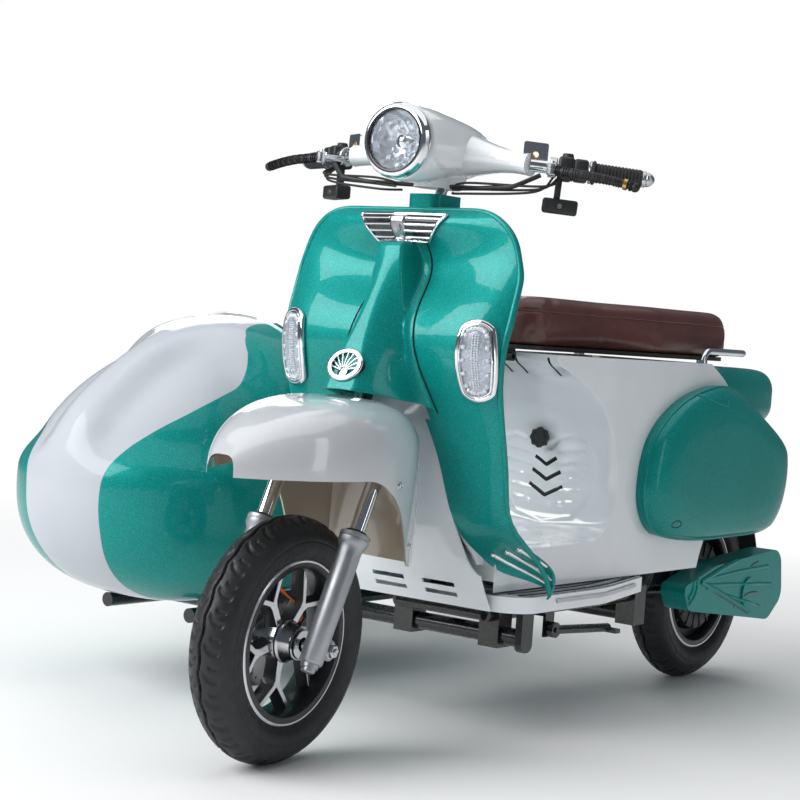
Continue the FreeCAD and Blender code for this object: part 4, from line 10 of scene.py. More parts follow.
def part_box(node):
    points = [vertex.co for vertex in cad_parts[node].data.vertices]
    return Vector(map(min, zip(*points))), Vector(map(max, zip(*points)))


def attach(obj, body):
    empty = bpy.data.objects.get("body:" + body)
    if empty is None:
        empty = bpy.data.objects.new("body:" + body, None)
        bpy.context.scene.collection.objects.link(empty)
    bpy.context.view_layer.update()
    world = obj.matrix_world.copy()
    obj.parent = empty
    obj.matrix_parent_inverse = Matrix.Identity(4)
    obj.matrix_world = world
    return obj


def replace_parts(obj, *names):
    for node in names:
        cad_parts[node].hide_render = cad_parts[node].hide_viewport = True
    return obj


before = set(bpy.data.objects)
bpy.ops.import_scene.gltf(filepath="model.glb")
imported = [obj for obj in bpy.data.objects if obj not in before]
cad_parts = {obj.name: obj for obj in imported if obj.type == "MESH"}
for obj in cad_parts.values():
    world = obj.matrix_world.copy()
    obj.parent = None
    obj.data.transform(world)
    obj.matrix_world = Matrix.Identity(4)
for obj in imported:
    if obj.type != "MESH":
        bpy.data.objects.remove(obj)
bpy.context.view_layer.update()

# Places. The design frame has its zero on the ground under the front axle, in millimetres, and
# the rear wheel's centre is a known place in it, which gives the way into the row frame.
WHEELBASE = 1364.0
WHEEL_RADIUS = 203.0
rear_low, rear_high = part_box("rear_tyre")
HOME = (rear_low + rear_high) / 2 - Vector((0, WHEELBASE, WHEEL_RADIUS)) / 1000
RAKE = math.radians(25)
STEER_FOOT = Vector((0, -90, 0))
STEER_AXIS = Vector((0, math.sin(RAKE), math.cos(RAKE)))
STEER_REST = Matrix.Rotation(math.radians(4.45), 3, STEER_AXIS)
SIDE_WHEEL = Vector((-925, 1150, WHEEL_RADIUS))


def at(x, y, z):
    """Row-frame point of a design place in millimetres."""
    return HOME + Vector((x, y, z)) / 1000


def steered(point):
    """Design place of a front-end point once the bars are turned as they rest."""
    return STEER_FOOT + STEER_REST @ (Vector(point) - STEER_FOOT)


def turned_at(x, y, z):
    """Row-frame point of a front-end place once the bars are turned as they rest."""
    return HOME + steered((x, y, z)) / 1000


# Tyres: rounded ten-inch scooter tyres of black rubber, with a centre groove, hooked lug cuts and
# shallow sipes. Their beads sit on the rims, and moulded rings on the walls mark the seat.
def new_material(name):
    """Material with its node tree and shader; patterns read object space in metres."""
    material = bpy.data.materials.new(name)
    material.use_nodes = True
    return material, material.node_tree, material.node_tree.nodes["Principled BSDF"]


def add(tree, kind, **values):
    """Node with the sockets or settings given by name."""
    node = tree.nodes.new(kind)
    for key, value in values.items():
        if key in node.inputs:
            node.inputs[key].default_value = value
        else:
            setattr(node, key, value)
    return node


def noise(tree, scale, detail=3.0, roughness=0.55, stretch=(1, 1, 1)):
    """Noise over object space, stretched along its axes."""
    place = tree.nodes.new("ShaderNodeTexCoord")
    mapping = tree.nodes.new("ShaderNodeMapping")
    mapping.inputs["Scale"].default_value = stretch
    texture = add(tree, "ShaderNodeTexNoise", Scale=scale, Detail=detail, Roughness=roughness)
    tree.links.new(place.outputs["Object"], mapping.inputs["Vector"])
    tree.links.new(mapping.outputs["Vector"], texture.inputs["Vector"])
    return texture


def ramp(tree, source, stops):
    """Colour ramp from (position, colour) stops."""
    node = tree.nodes.new("ShaderNodeValToRGB")
    node.color_ramp.elements[0].position, node.color_ramp.elements[0].color = stops[0]
    node.color_ramp.elements[1].position, node.color_ramp.elements[1].color = stops[-1]
    for position, colour in stops[1:-1]:
        node.color_ramp.elements.new(position).color = colour
    tree.links.new(source, node.inputs["Fac"])
    return node


def bump(tree, source, strength, distance, after=None):
    """Bump from a height, added to another bump when one is given."""
    node = add(tree, "ShaderNodeBump", Strength=strength, Distance=distance)
    tree.links.new(source, node.inputs["Height"])
    if after:
        tree.links.new(after.outputs["Normal"], node.inputs["Normal"])
    return node


def shade(colour, factor):
    """Colour made lighter or darker, with its alpha."""
    return (colour[0] * factor, colour[1] * factor, colour[2] * factor, 1)


def effect(name, output, **inputs):
    """Shader node group with one output; its inputs are numbers, places and colours."""
    made = bpy.data.node_groups.new(name, "ShaderNodeTree")
    for label, value in inputs.items():
        kind = "Float" if isinstance(value, float) else "Vector" if len(value) == 3 else "Color"
        socket = made.interface.new_socket(label, in_out="INPUT", socket_type="NodeSocket" + kind)
        socket.default_value = value
    made.interface.new_socket(output, in_out="OUTPUT", socket_type="NodeSocket" + output)
    return made, made.nodes.new("NodeGroupInput").outputs, made.nodes.new("NodeGroupOutput").inputs


def spread(tree, source, result):
    """Map Range node over the middle of a noise, with its result fed to a socket."""
    share = add(tree, "ShaderNodeMapRange")
    share.inputs["From Min"].default_value, share.inputs["From Max"].default_value = 0.3, 0.7
    tree.links.new(source, share.inputs["Value"])
    tree.links.new(share.outputs["Result"], result)
    return share


def tone_effect():
    """Soft clouds from a dark tone to a light one."""
    tree, given, result = effect("uneven_tone", "Color", Scale=14.0, Dark=(0, 0, 0, 1),
                                 Light=(1, 1, 1, 1))
    clouds = noise(tree, 1.0)
    tree.links.new(given["Scale"], clouds.inputs["Scale"])
    mix = add(tree, "ShaderNodeMix", data_type="RGBA")
    spread(tree, clouds.outputs["Fac"], mix.inputs["Factor"])
    tree.links.new(given["Dark"], mix.inputs["A"])
    tree.links.new(given["Light"], mix.inputs["B"])
    tree.links.new(mix.outputs["Result"], result["Color"])
    return tree


def gloss_effect():
    """Roughness that wanders in patches from a low value to a high one."""
    tree, given, result = effect("uneven_gloss", "Float", Scale=56.0, Low=0.2, High=0.3)
    patches = noise(tree, 1.0, 5)
    tree.links.new(given["Scale"], patches.inputs["Scale"])
    share = spread(tree, patches.outputs["Fac"], result["Float"])
    tree.links.new(given["Low"], share.inputs["To Min"])
    tree.links.new(given["High"], share.inputs["To Max"])
    return tree


def grain_effect():
    """Fine unevenness of the surface, stretched along its axes."""
    tree, given, result = effect("fine_grain", "Vector", Scale=900.0, Detail=4.0, Roughness=0.6,
                                 Stretch=(1, 1, 1), Strength=0.2, Distance=0.0002)
    fine = noise(tree, 1.0)
    for label in ("Scale", "Detail", "Roughness"):
        tree.links.new(given[label], fine.inputs[label])
    tree.links.new(given["Stretch"], fine.inputs["Vector"].links[0].from_node.inputs["Scale"])
    lift = bump(tree, fine.outputs["Fac"], 1.0, 0.001)
    for label in ("Strength", "Distance"):
        tree.links.new(given[label], lift.inputs[label])
    tree.links.new(lift.outputs["Normal"], result["Vector"])
    return tree


UNEVEN_TONE, UNEVEN_GLOSS, FINE_GRAIN = tone_effect(), gloss_effect(), grain_effect()


def surface(name, colour, rough, metal=0.0, coat=0.0, vary=0.06, vary_scale=14.0, grain=0.0,
            grain_scale=900.0, grain_depth=0.0002, stretch=(1, 1, 1), rough_vary=0.05):
    """Finish with soft colour change, a fine grain and an uneven gloss."""
    material, tree, shader = new_material(name)
    links = tree.links
    tone = add(tree, "ShaderNodeGroup", node_tree=UNEVEN_TONE, Scale=vary_scale,
               Dark=shade(colour, 1 - vary), Light=shade(colour, 1 + vary))
    links.new(tone.outputs["Color"], shader.inputs["Base Color"])
    gloss = add(tree, "ShaderNodeGroup", node_tree=UNEVEN_GLOSS, Scale=vary_scale * 4,
                Low=max(rough - rough_vary, 0.02), High=rough + rough_vary)
    links.new(gloss.outputs["Float"], shader.inputs["Roughness"])
    shader.inputs["Metallic"].default_value = metal
    shader.inputs["Coat Weight"].default_value = coat
    shader.inputs["Coat Roughness"].default_value = 0.03
    if grain:
        fine = add(tree, "ShaderNodeGroup", node_tree=FINE_GRAIN, Scale=grain_scale, Stretch=stretch,
                   Strength=grain, Distance=grain_depth)
        links.new(fine.outputs["Vector"], shader.inputs["Normal"])
    return material


def piece(bm, name, material, body, crease=34.0, merge=0.0):
    """Object from a mesh: it rides on its body, with soft faces and crisp corners."""
    if merge:
        bmesh.ops.remove_doubles(bm, verts=bm.verts, dist=merge)
    bmesh.ops.recalc_face_normals(bm, faces=bm.faces)
    limit = math.radians(crease)
    for face in bm.faces:
        face.smooth = True
    for edge in bm.edges:
        if len(edge.link_faces) == 2:
            edge.smooth = edge.calc_face_angle(0) < limit
    mesh = bpy.data.meshes.new(name)
    bm.to_mesh(mesh)
    bm.free()
    for entry in material if isinstance(material, (list, tuple)) else [material]:
        mesh.materials.append(entry)
    made = bpy.data.objects.new(name, mesh)
    bpy.context.scene.collection.objects.link(made)
    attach(made, body)
    return made


def grid(bm, rows, around=False, along=False):
    """Quads between rows of points; around closes each row, along joins the last row to the first."""
    lines = [[bm.verts.new(point) for point in row] for row in rows]
    count = len(lines)
    faces = []
    for index in range(count if along else count - 1):
        first, second = lines[index], lines[(index + 1) % count]
        size = len(first)
        for step in range(size if around else size - 1):
            following = (step + 1) % size
            faces.append(bm.faces.new((first[step], first[following], second[following], second[step])))
    return lines, faces


def axes_of(direction):
    """Two directions square to the one given."""
    ahead = Vector(direction).normalized()
    helper = Vector((0, 0, 1)) if abs(ahead.z) < 0.9 else Vector((0, 1, 0))
    first = ahead.cross(helper).normalized()
    return first, ahead.cross(first).normalized()


def soft_step(value, low, high):
    """Smooth rise from 0 at low to 1 at high."""
    share = min(max((value - low) / (high - low), 0.0), 1.0)
    return share * share * (3 - 2 * share)


TREAD_TURNS = 504
TREAD_HALF = 37.0
TREAD_DROP = 20.5
TREAD_STEPS = 48
LUGS = 28
tyre_rubber = surface("tyre_rubber", (0.011, 0.0125, 0.015), 0.5, vary=0.25, vary_scale=20, grain=0.25,
                      grain_scale=500, rough_vary=0.1)


def tyre_profile():
    """Section from the left bead over the tread to the right bead, as (across, radius)."""
    wall = [(30.0, 127.0), (30.5, 134.6), (33.5, 137.6), (36.4, 141.5), (37.6, 143.5), (38.6, 144.6),
            (40.6, 150.0), (41.7, 157.0), (42.0, 163.0), (41.9, 165.4), (41.1, 166.4), (41.5, 167.6),
            (40.6, 173.0), (39.2, 179.5)]
    tread = []
    for step in range(TREAD_STEPS + 1):
        across = TREAD_HALF * (1 - 2 * step / TREAD_STEPS)
        tread.append((across, WHEEL_RADIUS - TREAD_DROP * abs(across / TREAD_HALF) ** 2.1))
    return wall + tread + [(-a, r) for a, r in wall[::-1]]


def tread_depth(turn, across):
    """How far the tread is cut in at a place, in millimetres; turn in radians."""
    side = abs(across)
    wander = 1.4 * math.sin(turn * LUGS)
    depth = 5.0 * (1 - soft_step(abs(across - wander), 1.2, 2.8))
    pitch = 2 * math.pi / LUGS
    hook = 0.11 * math.sin(math.pi * min(side, 34.0) / 46.0) - 0.0011 * max(side - 26.0, 0.0) ** 1.5
    phase = ((turn + (pitch / 2 if across < 0 else 0) - hook) / pitch) % 1.0
    reach = soft_step(side, 4.5, 8.0) * (1 - soft_step(side, 25.0, 31.0))
    width = 0.05 + 0.0009 * side
    lug = 1 - soft_step(abs(phase - 0.5), width, width + 0.05)
    depth = max(depth, 3.2 * lug * reach)
    sipe_reach = soft_step(side, 13.0, 15.0) * (1 - soft_step(side, 27.0, 29.0))
    sipe = (1 - soft_step(abs(phase - 0.05), 0.03, 0.08)) * sipe_reach
    return max(depth, 2.6 * sipe)


def build_tyre(name, node, centre, axle, body, phase):
    """Tyre round an axle, its tread pattern started at a phase in radians."""
    profile = tyre_profile()
    first, second = axes_of(axle)
    bm = bmesh.new()
    rows = []
    for index in range(TREAD_TURNS):
        turn = 2 * math.pi * index / TREAD_TURNS
        spoke = first * math.cos(turn) + second * math.sin(turn)
        row = []
        for across, radius in profile:
            cut = tread_depth(turn + phase, across) if abs(across) <= TREAD_HALF else 0.0
            row.append(centre + (axle * across + spoke * (radius - cut)) / 1000)
        rows.append(row)
    grid(bm, rows, around=True, along=True)
    tyre = piece(bm, name, tyre_rubber, body, crease=50)
    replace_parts(tyre, node)


X_AXIS = Vector((1, 0, 0))
front_axle = STEER_REST @ X_AXIS
front_hub = turned_at(0, 0, WHEEL_RADIUS)
rear_hub = at(0, WHEELBASE, WHEEL_RADIUS)
side_hub = at(*SIDE_WHEEL)
build_tyre("tyre_front", "front_tyre", front_hub, front_axle, "front_wheel", 0.0)
build_tyre("tyre_rear", "rear_tyre", rear_hub, X_AXIS, "rear_wheel", 0.4)
build_tyre("tyre_sidecar", "sidecar_tyre", side_hub, X_AXIS, "sidecar_wheel", 0.9)


# Rims: cast black alloy with a drop-centre barrel and five forked spokes whose faces are cut bright.
# A turned hub carries each one on its bearings, and a rubber valve stands in the barrel.
def turns(count):
    """Angles of a full turn in equal steps."""
    return [2 * math.pi * k / count for k in range(count)]


def rod(bm, start, end, radius, sides, end_radius=None, bevel=0.0):
    """Round bar between two places, its ends closed and their rims bevelled."""
    first, second = axes_of(end - start)
    last = radius if end_radius is None else end_radius
    length = (end - start).length
    along = (end - start).normalized()
    stations = [(0, radius - bevel), (bevel, radius), (length - bevel, last), (length, last - bevel)]
    if not bevel:
        stations = [(0, radius), (length, last)]
    rows = []
    for reach, size in stations:
        rows.append([start + along * reach + (first * math.cos(a) + second * math.sin(a)) * size
                     for a in turns(sides)])
    lines, _ = grid(bm, rows, around=True)
    bm.faces.new(lines[0][::-1])
    bm.faces.new(lines[-1])


def lathe(bm, centre, axis, profile, sides):
    """Turned shape from (along the axis, radius) places; a zero radius closes it."""
    first, second = axes_of(axis)
    ahead = Vector(axis).normalized()
    rows = []
    for reach, radius in profile:
        if radius <= 0:
            rows.append([centre + ahead * reach])
        else:
            rows.append([centre + ahead * reach + (first * math.cos(a) + second * math.sin(a)) * radius
                         for a in turns(sides)])
    lines = [[bm.verts.new(p) for p in row] for row in rows]
    for one, two in zip(lines, lines[1:]):
        for k in range(sides):
            n = (k + 1) % sides
            if len(one) == 1:
                bm.faces.new((one[0], two[n], two[k]))
            elif len(two) == 1:
                bm.faces.new((one[k], one[n], two[0]))
            else:
                bm.faces.new((one[k], one[n], two[n], two[k]))


def metres(profile, closed=True):
    """Profile in metres from one in millimetres, its first place repeated at its end when closed."""
    return [(a / 1000, r / 1000) for a, r in (profile + profile[:1] if closed else profile)]


rubber = surface("black_rubber", (0.014, 0.014, 0.015), 0.62, vary=0.2, grain=0.3, grain_scale=700)
RIM_SPOKES = 5
SPOKE_TURN = math.radians(12)
FLANGE_FROM, FLANGE_RADIUS = 0.0305, 0.1306
BARREL_PROFILE = [(34, 121), (33.4, 122.5), (33.6, 130.2), (34.2, 131), (34.2, 133.6), (33, 135.6),
                  (31, 134.6), (30, 127.5), (27, 126), (14, 123), (-14, 123), (-27, 126), (-30, 127.5),
                  (-31, 134.6), (-33, 135.6), (-34.2, 133.6), (-34.2, 131), (-33.6, 130.2),
                  (-33.4, 122.5), (-34, 121), (-29, 118.8), (-12, 117), (12, 117), (29, 118.8)]
HUB_PROFILE = [(-48, 12), (-48, 22), (-46.5, 23.8), (-41, 25), (-22, 30), (-16, 33), (11, 33), (12.5, 35),
               (15, 35.8), (17.5, 35), (19, 33), (21, 32), (38, 25.6), (39.5, 26.6), (42, 26.4),
               (43, 24.6), (47, 24), (48, 22.4), (48, 12)]
cast_black = surface("cast_black", (0.013, 0.014, 0.016), 0.36, coat=0.3, vary=0.2, grain=0.3,
                     grain_scale=1300)
cut_face = surface("cut_face", (0.7, 0.71, 0.73), 0.24, metal=1.0, vary=0.05, grain=0.15, grain_scale=800,
                   stretch=(1, 0.1, 1))
hub_chrome = surface("turned_chrome", (0.6, 0.61, 0.63), 0.16, metal=1.0, vary=0.05, grain=0.12,
                     grain_scale=700, stretch=(8, 0.3, 0.3))


def spoke_outline(grow, end=121.0):
    """Right half of a forked spoke, root to crotch, widened all round by grow."""
    spread = math.radians(21)
    stem, arm, fork = 6.0 + grow, 3.7 + grow, 70.0
    tip = Vector((end * math.sin(spread), end * math.cos(spread)))
    along = (tip - Vector((0, fork))).normalized()
    outer = Vector((along.y, -along.x))
    start = tip + outer * arm
    joint = start - along * ((start.x - stem) / along.x)
    inner = tip - outer * arm
    crotch = inner - along * (inner.x / along.x)
    return [Vector((stem + 3.5, 24)), Vector((stem, 38)), joint - Vector((0, 6)), joint + along * 5,
            start, inner, crotch]


def rim_place(centre, axle, first, second, turn):
    """Turns (across, sideways, outwards) of a spoke, in millimetres, into a place."""
    out = first * math.cos(turn) + second * math.sin(turn)
    side = axle.cross(out)
    return lambda across, sideways, outwards: (
        centre + (axle * across + side * sideways + out * outwards) / 1000)


def build_rim(name, node, centre, axle, body, cast):
    """Barrel and valve of a wheel, with spokes and hub when it is cast."""
    first, second = axes_of(axle)
    bm = bmesh.new()
    lathe(bm, centre, axle, metres(BARREL_PROFILE), 128)
    for face in bm.faces:
        middle = face.calc_center_median() - centre
        across = middle.dot(axle)
        if abs(across) > FLANGE_FROM and (middle - axle * across).length > FLANGE_RADIUS:
            face.material_index = 1
    for number in range(RIM_SPOKES if cast else 0):
        place = rim_place(centre, axle, first, second, SPOKE_TURN + 2 * math.pi * number / RIM_SPOKES)
        rows = []
        for across, grow in ((-12.0, 5.0), (-3.0, 3.4), (9.4, 0.6), (10.2, -0.2)):
            half = spoke_outline(grow)
            ring = half + [Vector((-p.x, p.y)) for p in half[-2::-1]]
            rows.append([place(across, p.x, p.y) for p in ring])
        lines, faces = grid(bm, rows, around=True)
        for line, index in ((lines[0], 0), (lines[-1], 1)):
            other = [line[-1 - step] for step in range(6)]
            for step in (0, 1):
                face = bm.faces.new([line[step], line[step + 1], other[step + 1], other[step]])
                face.material_index = index
            bm.faces.new([line[2], line[3], line[6], other[3], other[2]]).material_index = index
            bm.faces.new([line[3], line[4], line[5], line[6]]).material_index = index
            bm.faces.new([other[3], other[4], other[5], line[6]]).material_index = index
        for face in faces[-len(lines[0]):]:
            face.material_index = 1
    made = piece(bm, name, [cast_black, cut_face], body, crease=26, merge=0.00002)
    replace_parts(made, node)
    hub = bmesh.new()
    if cast:
        lathe(hub, centre, axle, metres(HUB_PROFILE), 72)
        piece(hub, name + "_hub", hub_chrome, body, crease=30)
    valve = bmesh.new()
    place = rim_place(centre, axle, first, second, SPOKE_TURN + math.pi / RIM_SPOKES)
    rod(valve, place(6, 0, 119), place(17, 0, 98), 0.0042, 14, 0.0034, 0.0006)
    rod(valve, place(16, 0, 100), place(20, 0, 92), 0.0048, 14, 0.0044, 0.0008)
    piece(valve, name + "_valve", rubber, body)


build_rim("rim_front", "front_rim", front_hub, front_axle, "front_wheel", True)
build_rim("rim_sidecar", "sidecar_rim", side_hub, X_AXIS, "sidecar_wheel", True)
build_rim("rim_rear", "rear_rim", rear_hub, X_AXIS, "rear_wheel", False)


# Hub motor: a round case of dark cast alloy between the rear rim's flanges, which carries the rim.
# Its side covers are ribbed and held by a ring of screws.
def box_solid(bm, centre, half, turn, bevel, segments=2):
    """Block with rounded edges, laid along the axes that a rotation gives."""
    made = bmesh.ops.create_cube(bm, size=2)["verts"]
    for vert in made:
        vert.co = centre + turn @ Vector((vert.co.x * half[0], vert.co.y * half[1], vert.co.z * half[2]))
    edges = list({edge for vert in made for edge in vert.link_edges})
    if turn.determinant() < 0:
        bmesh.ops.reverse_faces(bm, faces=list({face for vert in made for face in vert.link_faces}))
    bm.normal_update()
    bmesh.ops.bevel(bm, geom=edges, offset=bevel, segments=segments, affect="EDGES", profile=0.5,
                    material=-1)


MOTOR_RIBS = 18
motor_case = surface("motor_case", (0.03, 0.032, 0.035), 0.38, metal=0.4, vary=0.15, grain=0.25,
                     grain_scale=900)
bm = bmesh.new()
MOTOR_PROFILE = [(-31, 10), (-31, 52), (-29, 58), (-31, 62), (-31, 88), (-29, 94), (-24, 96), (-12, 97),
                 (-8, 99), (-8, 120), (8, 120), (8, 99), (12, 97), (24, 96), (29, 94), (31, 88), (31, 62),
                 (29, 58), (31, 52), (31, 10)]
lathe(bm, rear_hub, X_AXIS, metres(MOTOR_PROFILE), 96)
for angle in turns(MOTOR_RIBS):
    out = Vector((0, math.cos(angle), math.sin(angle)))
    side = X_AXIS.cross(out)
    turn = Matrix((X_AXIS, side, out)).transposed()
    for across in (-1, 1):
        rib = rear_hub + X_AXIS * across * 0.0315 + out * 0.075
        screw = rear_hub + out * 0.0905
        box_solid(bm, rib, (0.0012, 0.0018, 0.012), turn, 0.0006)
        rod(bm, screw + X_AXIS * across * 0.029, screw + X_AXIS * across * 0.0335, 0.0028, 10)
piece(bm, "rear_motor_case", motor_case, "rear_wheel")

# Front disc: a drilled ring of ground steel on five arms that are riveted to it. It is bolted to the
# hub and turns with the wheel inside the calliper.
cut_steel = surface("cut_steel", (0.5, 0.51, 0.53), 0.34, metal=1.0, vary=0.08, grain=0.2, grain_scale=900,
                    stretch=(1, 0.15, 0.15))
black_paint = surface("black_enamel", (0.006, 0.0065, 0.0075), 0.28, coat=0.4, vary=0.2, grain=0.06)
DISC_ARMS, DISC_HOLES = 5, 30
bm = bmesh.new()
DISC_MIDDLE = -35.75
DISC_PROFILE = [(-1.7, 55), (-1.7, 81.6), (-1.3, 82), (1.3, 82), (1.7, 81.6), (1.7, 55)]
lathe(bm, front_hub + front_axle * DISC_MIDDLE / 1000, front_axle, metres(DISC_PROFILE), 96)
first, second = axes_of(front_axle)
for angle in turns(DISC_ARMS):
    place = rim_place(front_hub, front_axle, first, second, angle)
    for start, end, wide in ((27, 60, 9), (60, 66, 6)):
        corners = ((-1, -1.7), (1, -1.7), (1, 1.7), (-1, 1.7))
        rows = [[place(DISC_MIDDLE + a, s * wide, o) for s, a in corners] for o in (start, end)]
        lines, _ = grid(bm, rows, around=True)
        bm.faces.new(lines[0][::-1])
        bm.faces.new(lines[-1])
    rod(bm, place(DISC_MIDDLE - 3.4, 0, 58.5), place(DISC_MIDDLE + 3.4, 0, 58.5), 0.0042, 16, bevel=0.0006)
piece(bm, "disc_arms", cut_steel, "front_wheel")
bm = bmesh.new()
for number, angle in enumerate(turns(DISC_HOLES)):
    place = rim_place(front_hub, front_axle, first, second, angle)
    reach = (62, 68.5, 75)[number % 3]
    rod(bm, place(DISC_MIDDLE - 1.85, 0, reach), place(DISC_MIDDLE + 1.85, 0, reach), 0.0023, 12)
piece(bm, "disc_drillings", black_paint, "front_wheel")


# Fork: satin alloy sliders with stepped collars over the bright stanchions, and rubber dust seals in
# their mouths. The lug at each foot takes the axle.
def steer_at(across, ahead, along):
    """Row-frame place from the steering axis: across it, ahead of it and up along it."""
    spot = STEER_FOOT + Vector((across, 0, 0)) + STEER_AHEAD * ahead + STEER_AXIS * along
    return HOME + steered(spot) / 1000


STEER_AHEAD = Vector((0, -math.cos(RAKE), math.sin(RAKE)))
AXLE_FROM_FOOT = Vector((0, 90, WHEEL_RADIUS))
AXLE_ALONG = AXLE_FROM_FOOT.dot(STEER_AXIS)
FORK_AHEAD = AXLE_FROM_FOOT.dot(STEER_AHEAD) + 30
FORK_HALF = 94.0
steer_up = STEER_REST @ STEER_AXIS
slider_alloy = surface("slider_alloy", (0.42, 0.435, 0.46), 0.43, metal=0.9, vary=0.05, grain=0.3,
                       grain_scale=1500, rough_vary=0.06)
SLIDER_PROFILE = [(-48, 0), (-48, 9), (-46, 11.5), (-40.5, 12), (-40, 14.5), (-34, 15), (-32.5, 18),
                  (-30, 19.4), (110, 20), (150, 19.6), (161, 19.8), (168, 22.5), (172, 24.6), (178, 25.2),
                  (179.4, 24), (180.4, 24), (181.6, 25.4), (186, 25.4), (187.5, 24.4), (188, 20),
                  (186, 18), (186, 13)]
SEAL_PROFILE = [(186, 13.4), (188.6, 18.6), (191.2, 18.2), (192.6, 16), (192.6, 13.2)]
LUG_PROFILE = [(-8, 0), (-8, 15), (-6.5, 17), (6.5, 17), (8, 15), (8, 0)]
bm, seals = bmesh.new(), bmesh.new()
for side in (-1, 1):
    foot = steer_at(side * FORK_HALF, FORK_AHEAD, AXLE_ALONG)
    lathe(bm, foot, steer_up, metres(SLIDER_PROFILE, False), 40)
    lathe(seals, foot, steer_up, metres(SEAL_PROFILE, False), 40)
    lug = front_hub + front_axle * side * FORK_HALF / 1000
    lathe(bm, lug, front_axle, metres(LUG_PROFILE, False), 36)
    turn = Matrix((front_axle, STEER_REST @ STEER_AHEAD, steer_up)).transposed()
    box_solid(bm, lug + STEER_REST @ STEER_AHEAD * 0.015, (0.0078, 0.016, 0.0165), turn, 0.003, 3)
sliders = piece(bm, "fork_legs", slider_alloy, "steering", crease=30)
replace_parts(sliders, "fork_sliders")
piece(seals, "fork_seals", rubber, "steering")

# Axle: a bright plated rod through both lugs, with a washer and a hex nut at each end. A pinch bolt
# under each lug holds it.
bright_zinc = surface("bright_zinc", (0.62, 0.64, 0.66), 0.25, metal=1.0, vary=0.08, grain=0.2,
                      grain_scale=1100)


def hex_nut(bm, face, axis, radius, height, sides=6):
    """Nut or bolt head with its corners turned down and a domed stud end."""
    across = radius / math.cos(math.pi / sides)
    lathe(bm, face, axis, [(0, 0), (0, across * 0.94), (height * 0.14, across), (height * 0.8, across),
                           (height, across * 0.88), (height, across * 0.5), (height * 1.25, across * 0.48),
                           (height * 1.4, across * 0.34), (height * 1.4, 0)], sides)


bm = bmesh.new()
rod(bm, front_hub - front_axle * 0.096, front_hub + front_axle * 0.096, 0.0079, 24)
for side in (-1, 1):
    face = front_hub + front_axle * side * 0.102
    lathe(bm, face, front_axle * side, [(-0.0005, 0), (-0.0005, 0.0125), (0.0012, 0.0128),
                                        (0.0016, 0.012), (0.0016, 0)], 32)
    hex_nut(bm, face + front_axle * side * 0.0016, front_axle * side, 0.0098, 0.0075)
    lug = front_hub + front_axle * side * FORK_HALF / 1000
    hex_nut(bm, lug + STEER_REST @ STEER_AHEAD * 0.012 - steer_up * 0.0165, -steer_up, 0.0042, 0.004)
piece(bm, "axle_and_nuts", bright_zinc, "steering", crease=20)


# Front calliper: a finned black casting in two halves over the disc, on two slide pins that its
# bracket carries. Orange sensor leads run from its top.
def sweep(bm, path, radius, sides, closed=False, squash=1.0):
    """Tube along a path of places, its section kept from twisting."""
    count = len(path)
    rows = []
    side = None
    for index, spot in enumerate(path):
        before = path[index - 1] if closed or index else spot
        after = path[(index + 1) % count] if closed or index < count - 1 else spot
        along = (after - before).normalized()
        if side is None:
            side = axes_of(along)[0]
        side = (side - along * side.dot(along)).normalized()
        other = along.cross(side)
        size = radius[index] if isinstance(radius, (list, tuple)) else radius
        rows.append([spot + (side * math.cos(a) + other * math.sin(a) * squash) * size
                     for a in turns(sides)])
    lines, _ = grid(bm, rows, around=True, along=closed)
    if not closed:
        bm.faces.new(lines[0][::-1])
        bm.faces.new(lines[-1])


def smooth_path(points, steps, closed=False):
    """Places on a smooth curve through the points."""
    count = len(points)
    result = []
    for index in range(count if closed else count - 1):
        p0 = points[index - 1] if closed or index else points[index]
        p1 = points[index]
        p2 = points[(index + 1) % count]
        p3 = points[(index + 2) % count] if closed or index < count - 2 else p2
        for step in range(steps):
            t = step / steps
            result.append(0.5 * (2 * p1 + (p2 - p0) * t + (2 * p0 - 5 * p1 + 4 * p2 - p3) * t ** 2
                                 + (3 * p1 - p0 - 3 * p2 + p3) * t ** 3))
    if not closed:
        result.append(points[-1].copy())
    return result


bm = bmesh.new()
behind = STEER_REST @ Vector((0, 1, 0))
upward = STEER_REST @ Vector((0, 0, 1))
turn = Matrix((front_axle, behind, upward)).transposed()
for across, thick in ((-48.5, 6.5), (-25.5, 5.0)):
    middle = front_hub + (front_axle * across + behind * 71) / 1000
    box_solid(bm, middle, (thick / 1000, 0.0185, 0.031), turn, 0.005, 4)
    for lift in (-18, -6, 6, 18):
        box_solid(bm, middle + upward * lift / 1000 + front_axle * math.copysign(thick, across + 36) / 1000,
                  (0.0012, 0.015, 0.0022), turn, 0.0008)
for lift in (-22, 22):
    pin = front_hub + (behind * 89 + upward * lift) / 1000
    rod(bm, pin - front_axle * 0.056, pin - front_axle * 0.019, 0.0052, 20, bevel=0.001)
piece(bm, "calliper", black_paint, "steering")
orange_lead = surface("orange_lead", (0.75, 0.13, 0.015), 0.4, vary=0.1, grain=0.1)

bm = bmesh.new()
for lead in (((-20, 66, 34), (-10, 52, 48), (-4, 40, 56), (-8, 26, 66), (-22, 20, 78)),
             ((-20, 70, 30), (-6, 62, 36), (2, 54, 30), (-2, 44, 24), (-18, 42, 20))):
    route = [front_hub + (front_axle * a + behind * b + upward * u) / 1000 for a, b, u in lead]
    sweep(bm, smooth_path(route, 6), 0.0021, 10)
piece(bm, "sensor_leads", orange_lead, "steering")

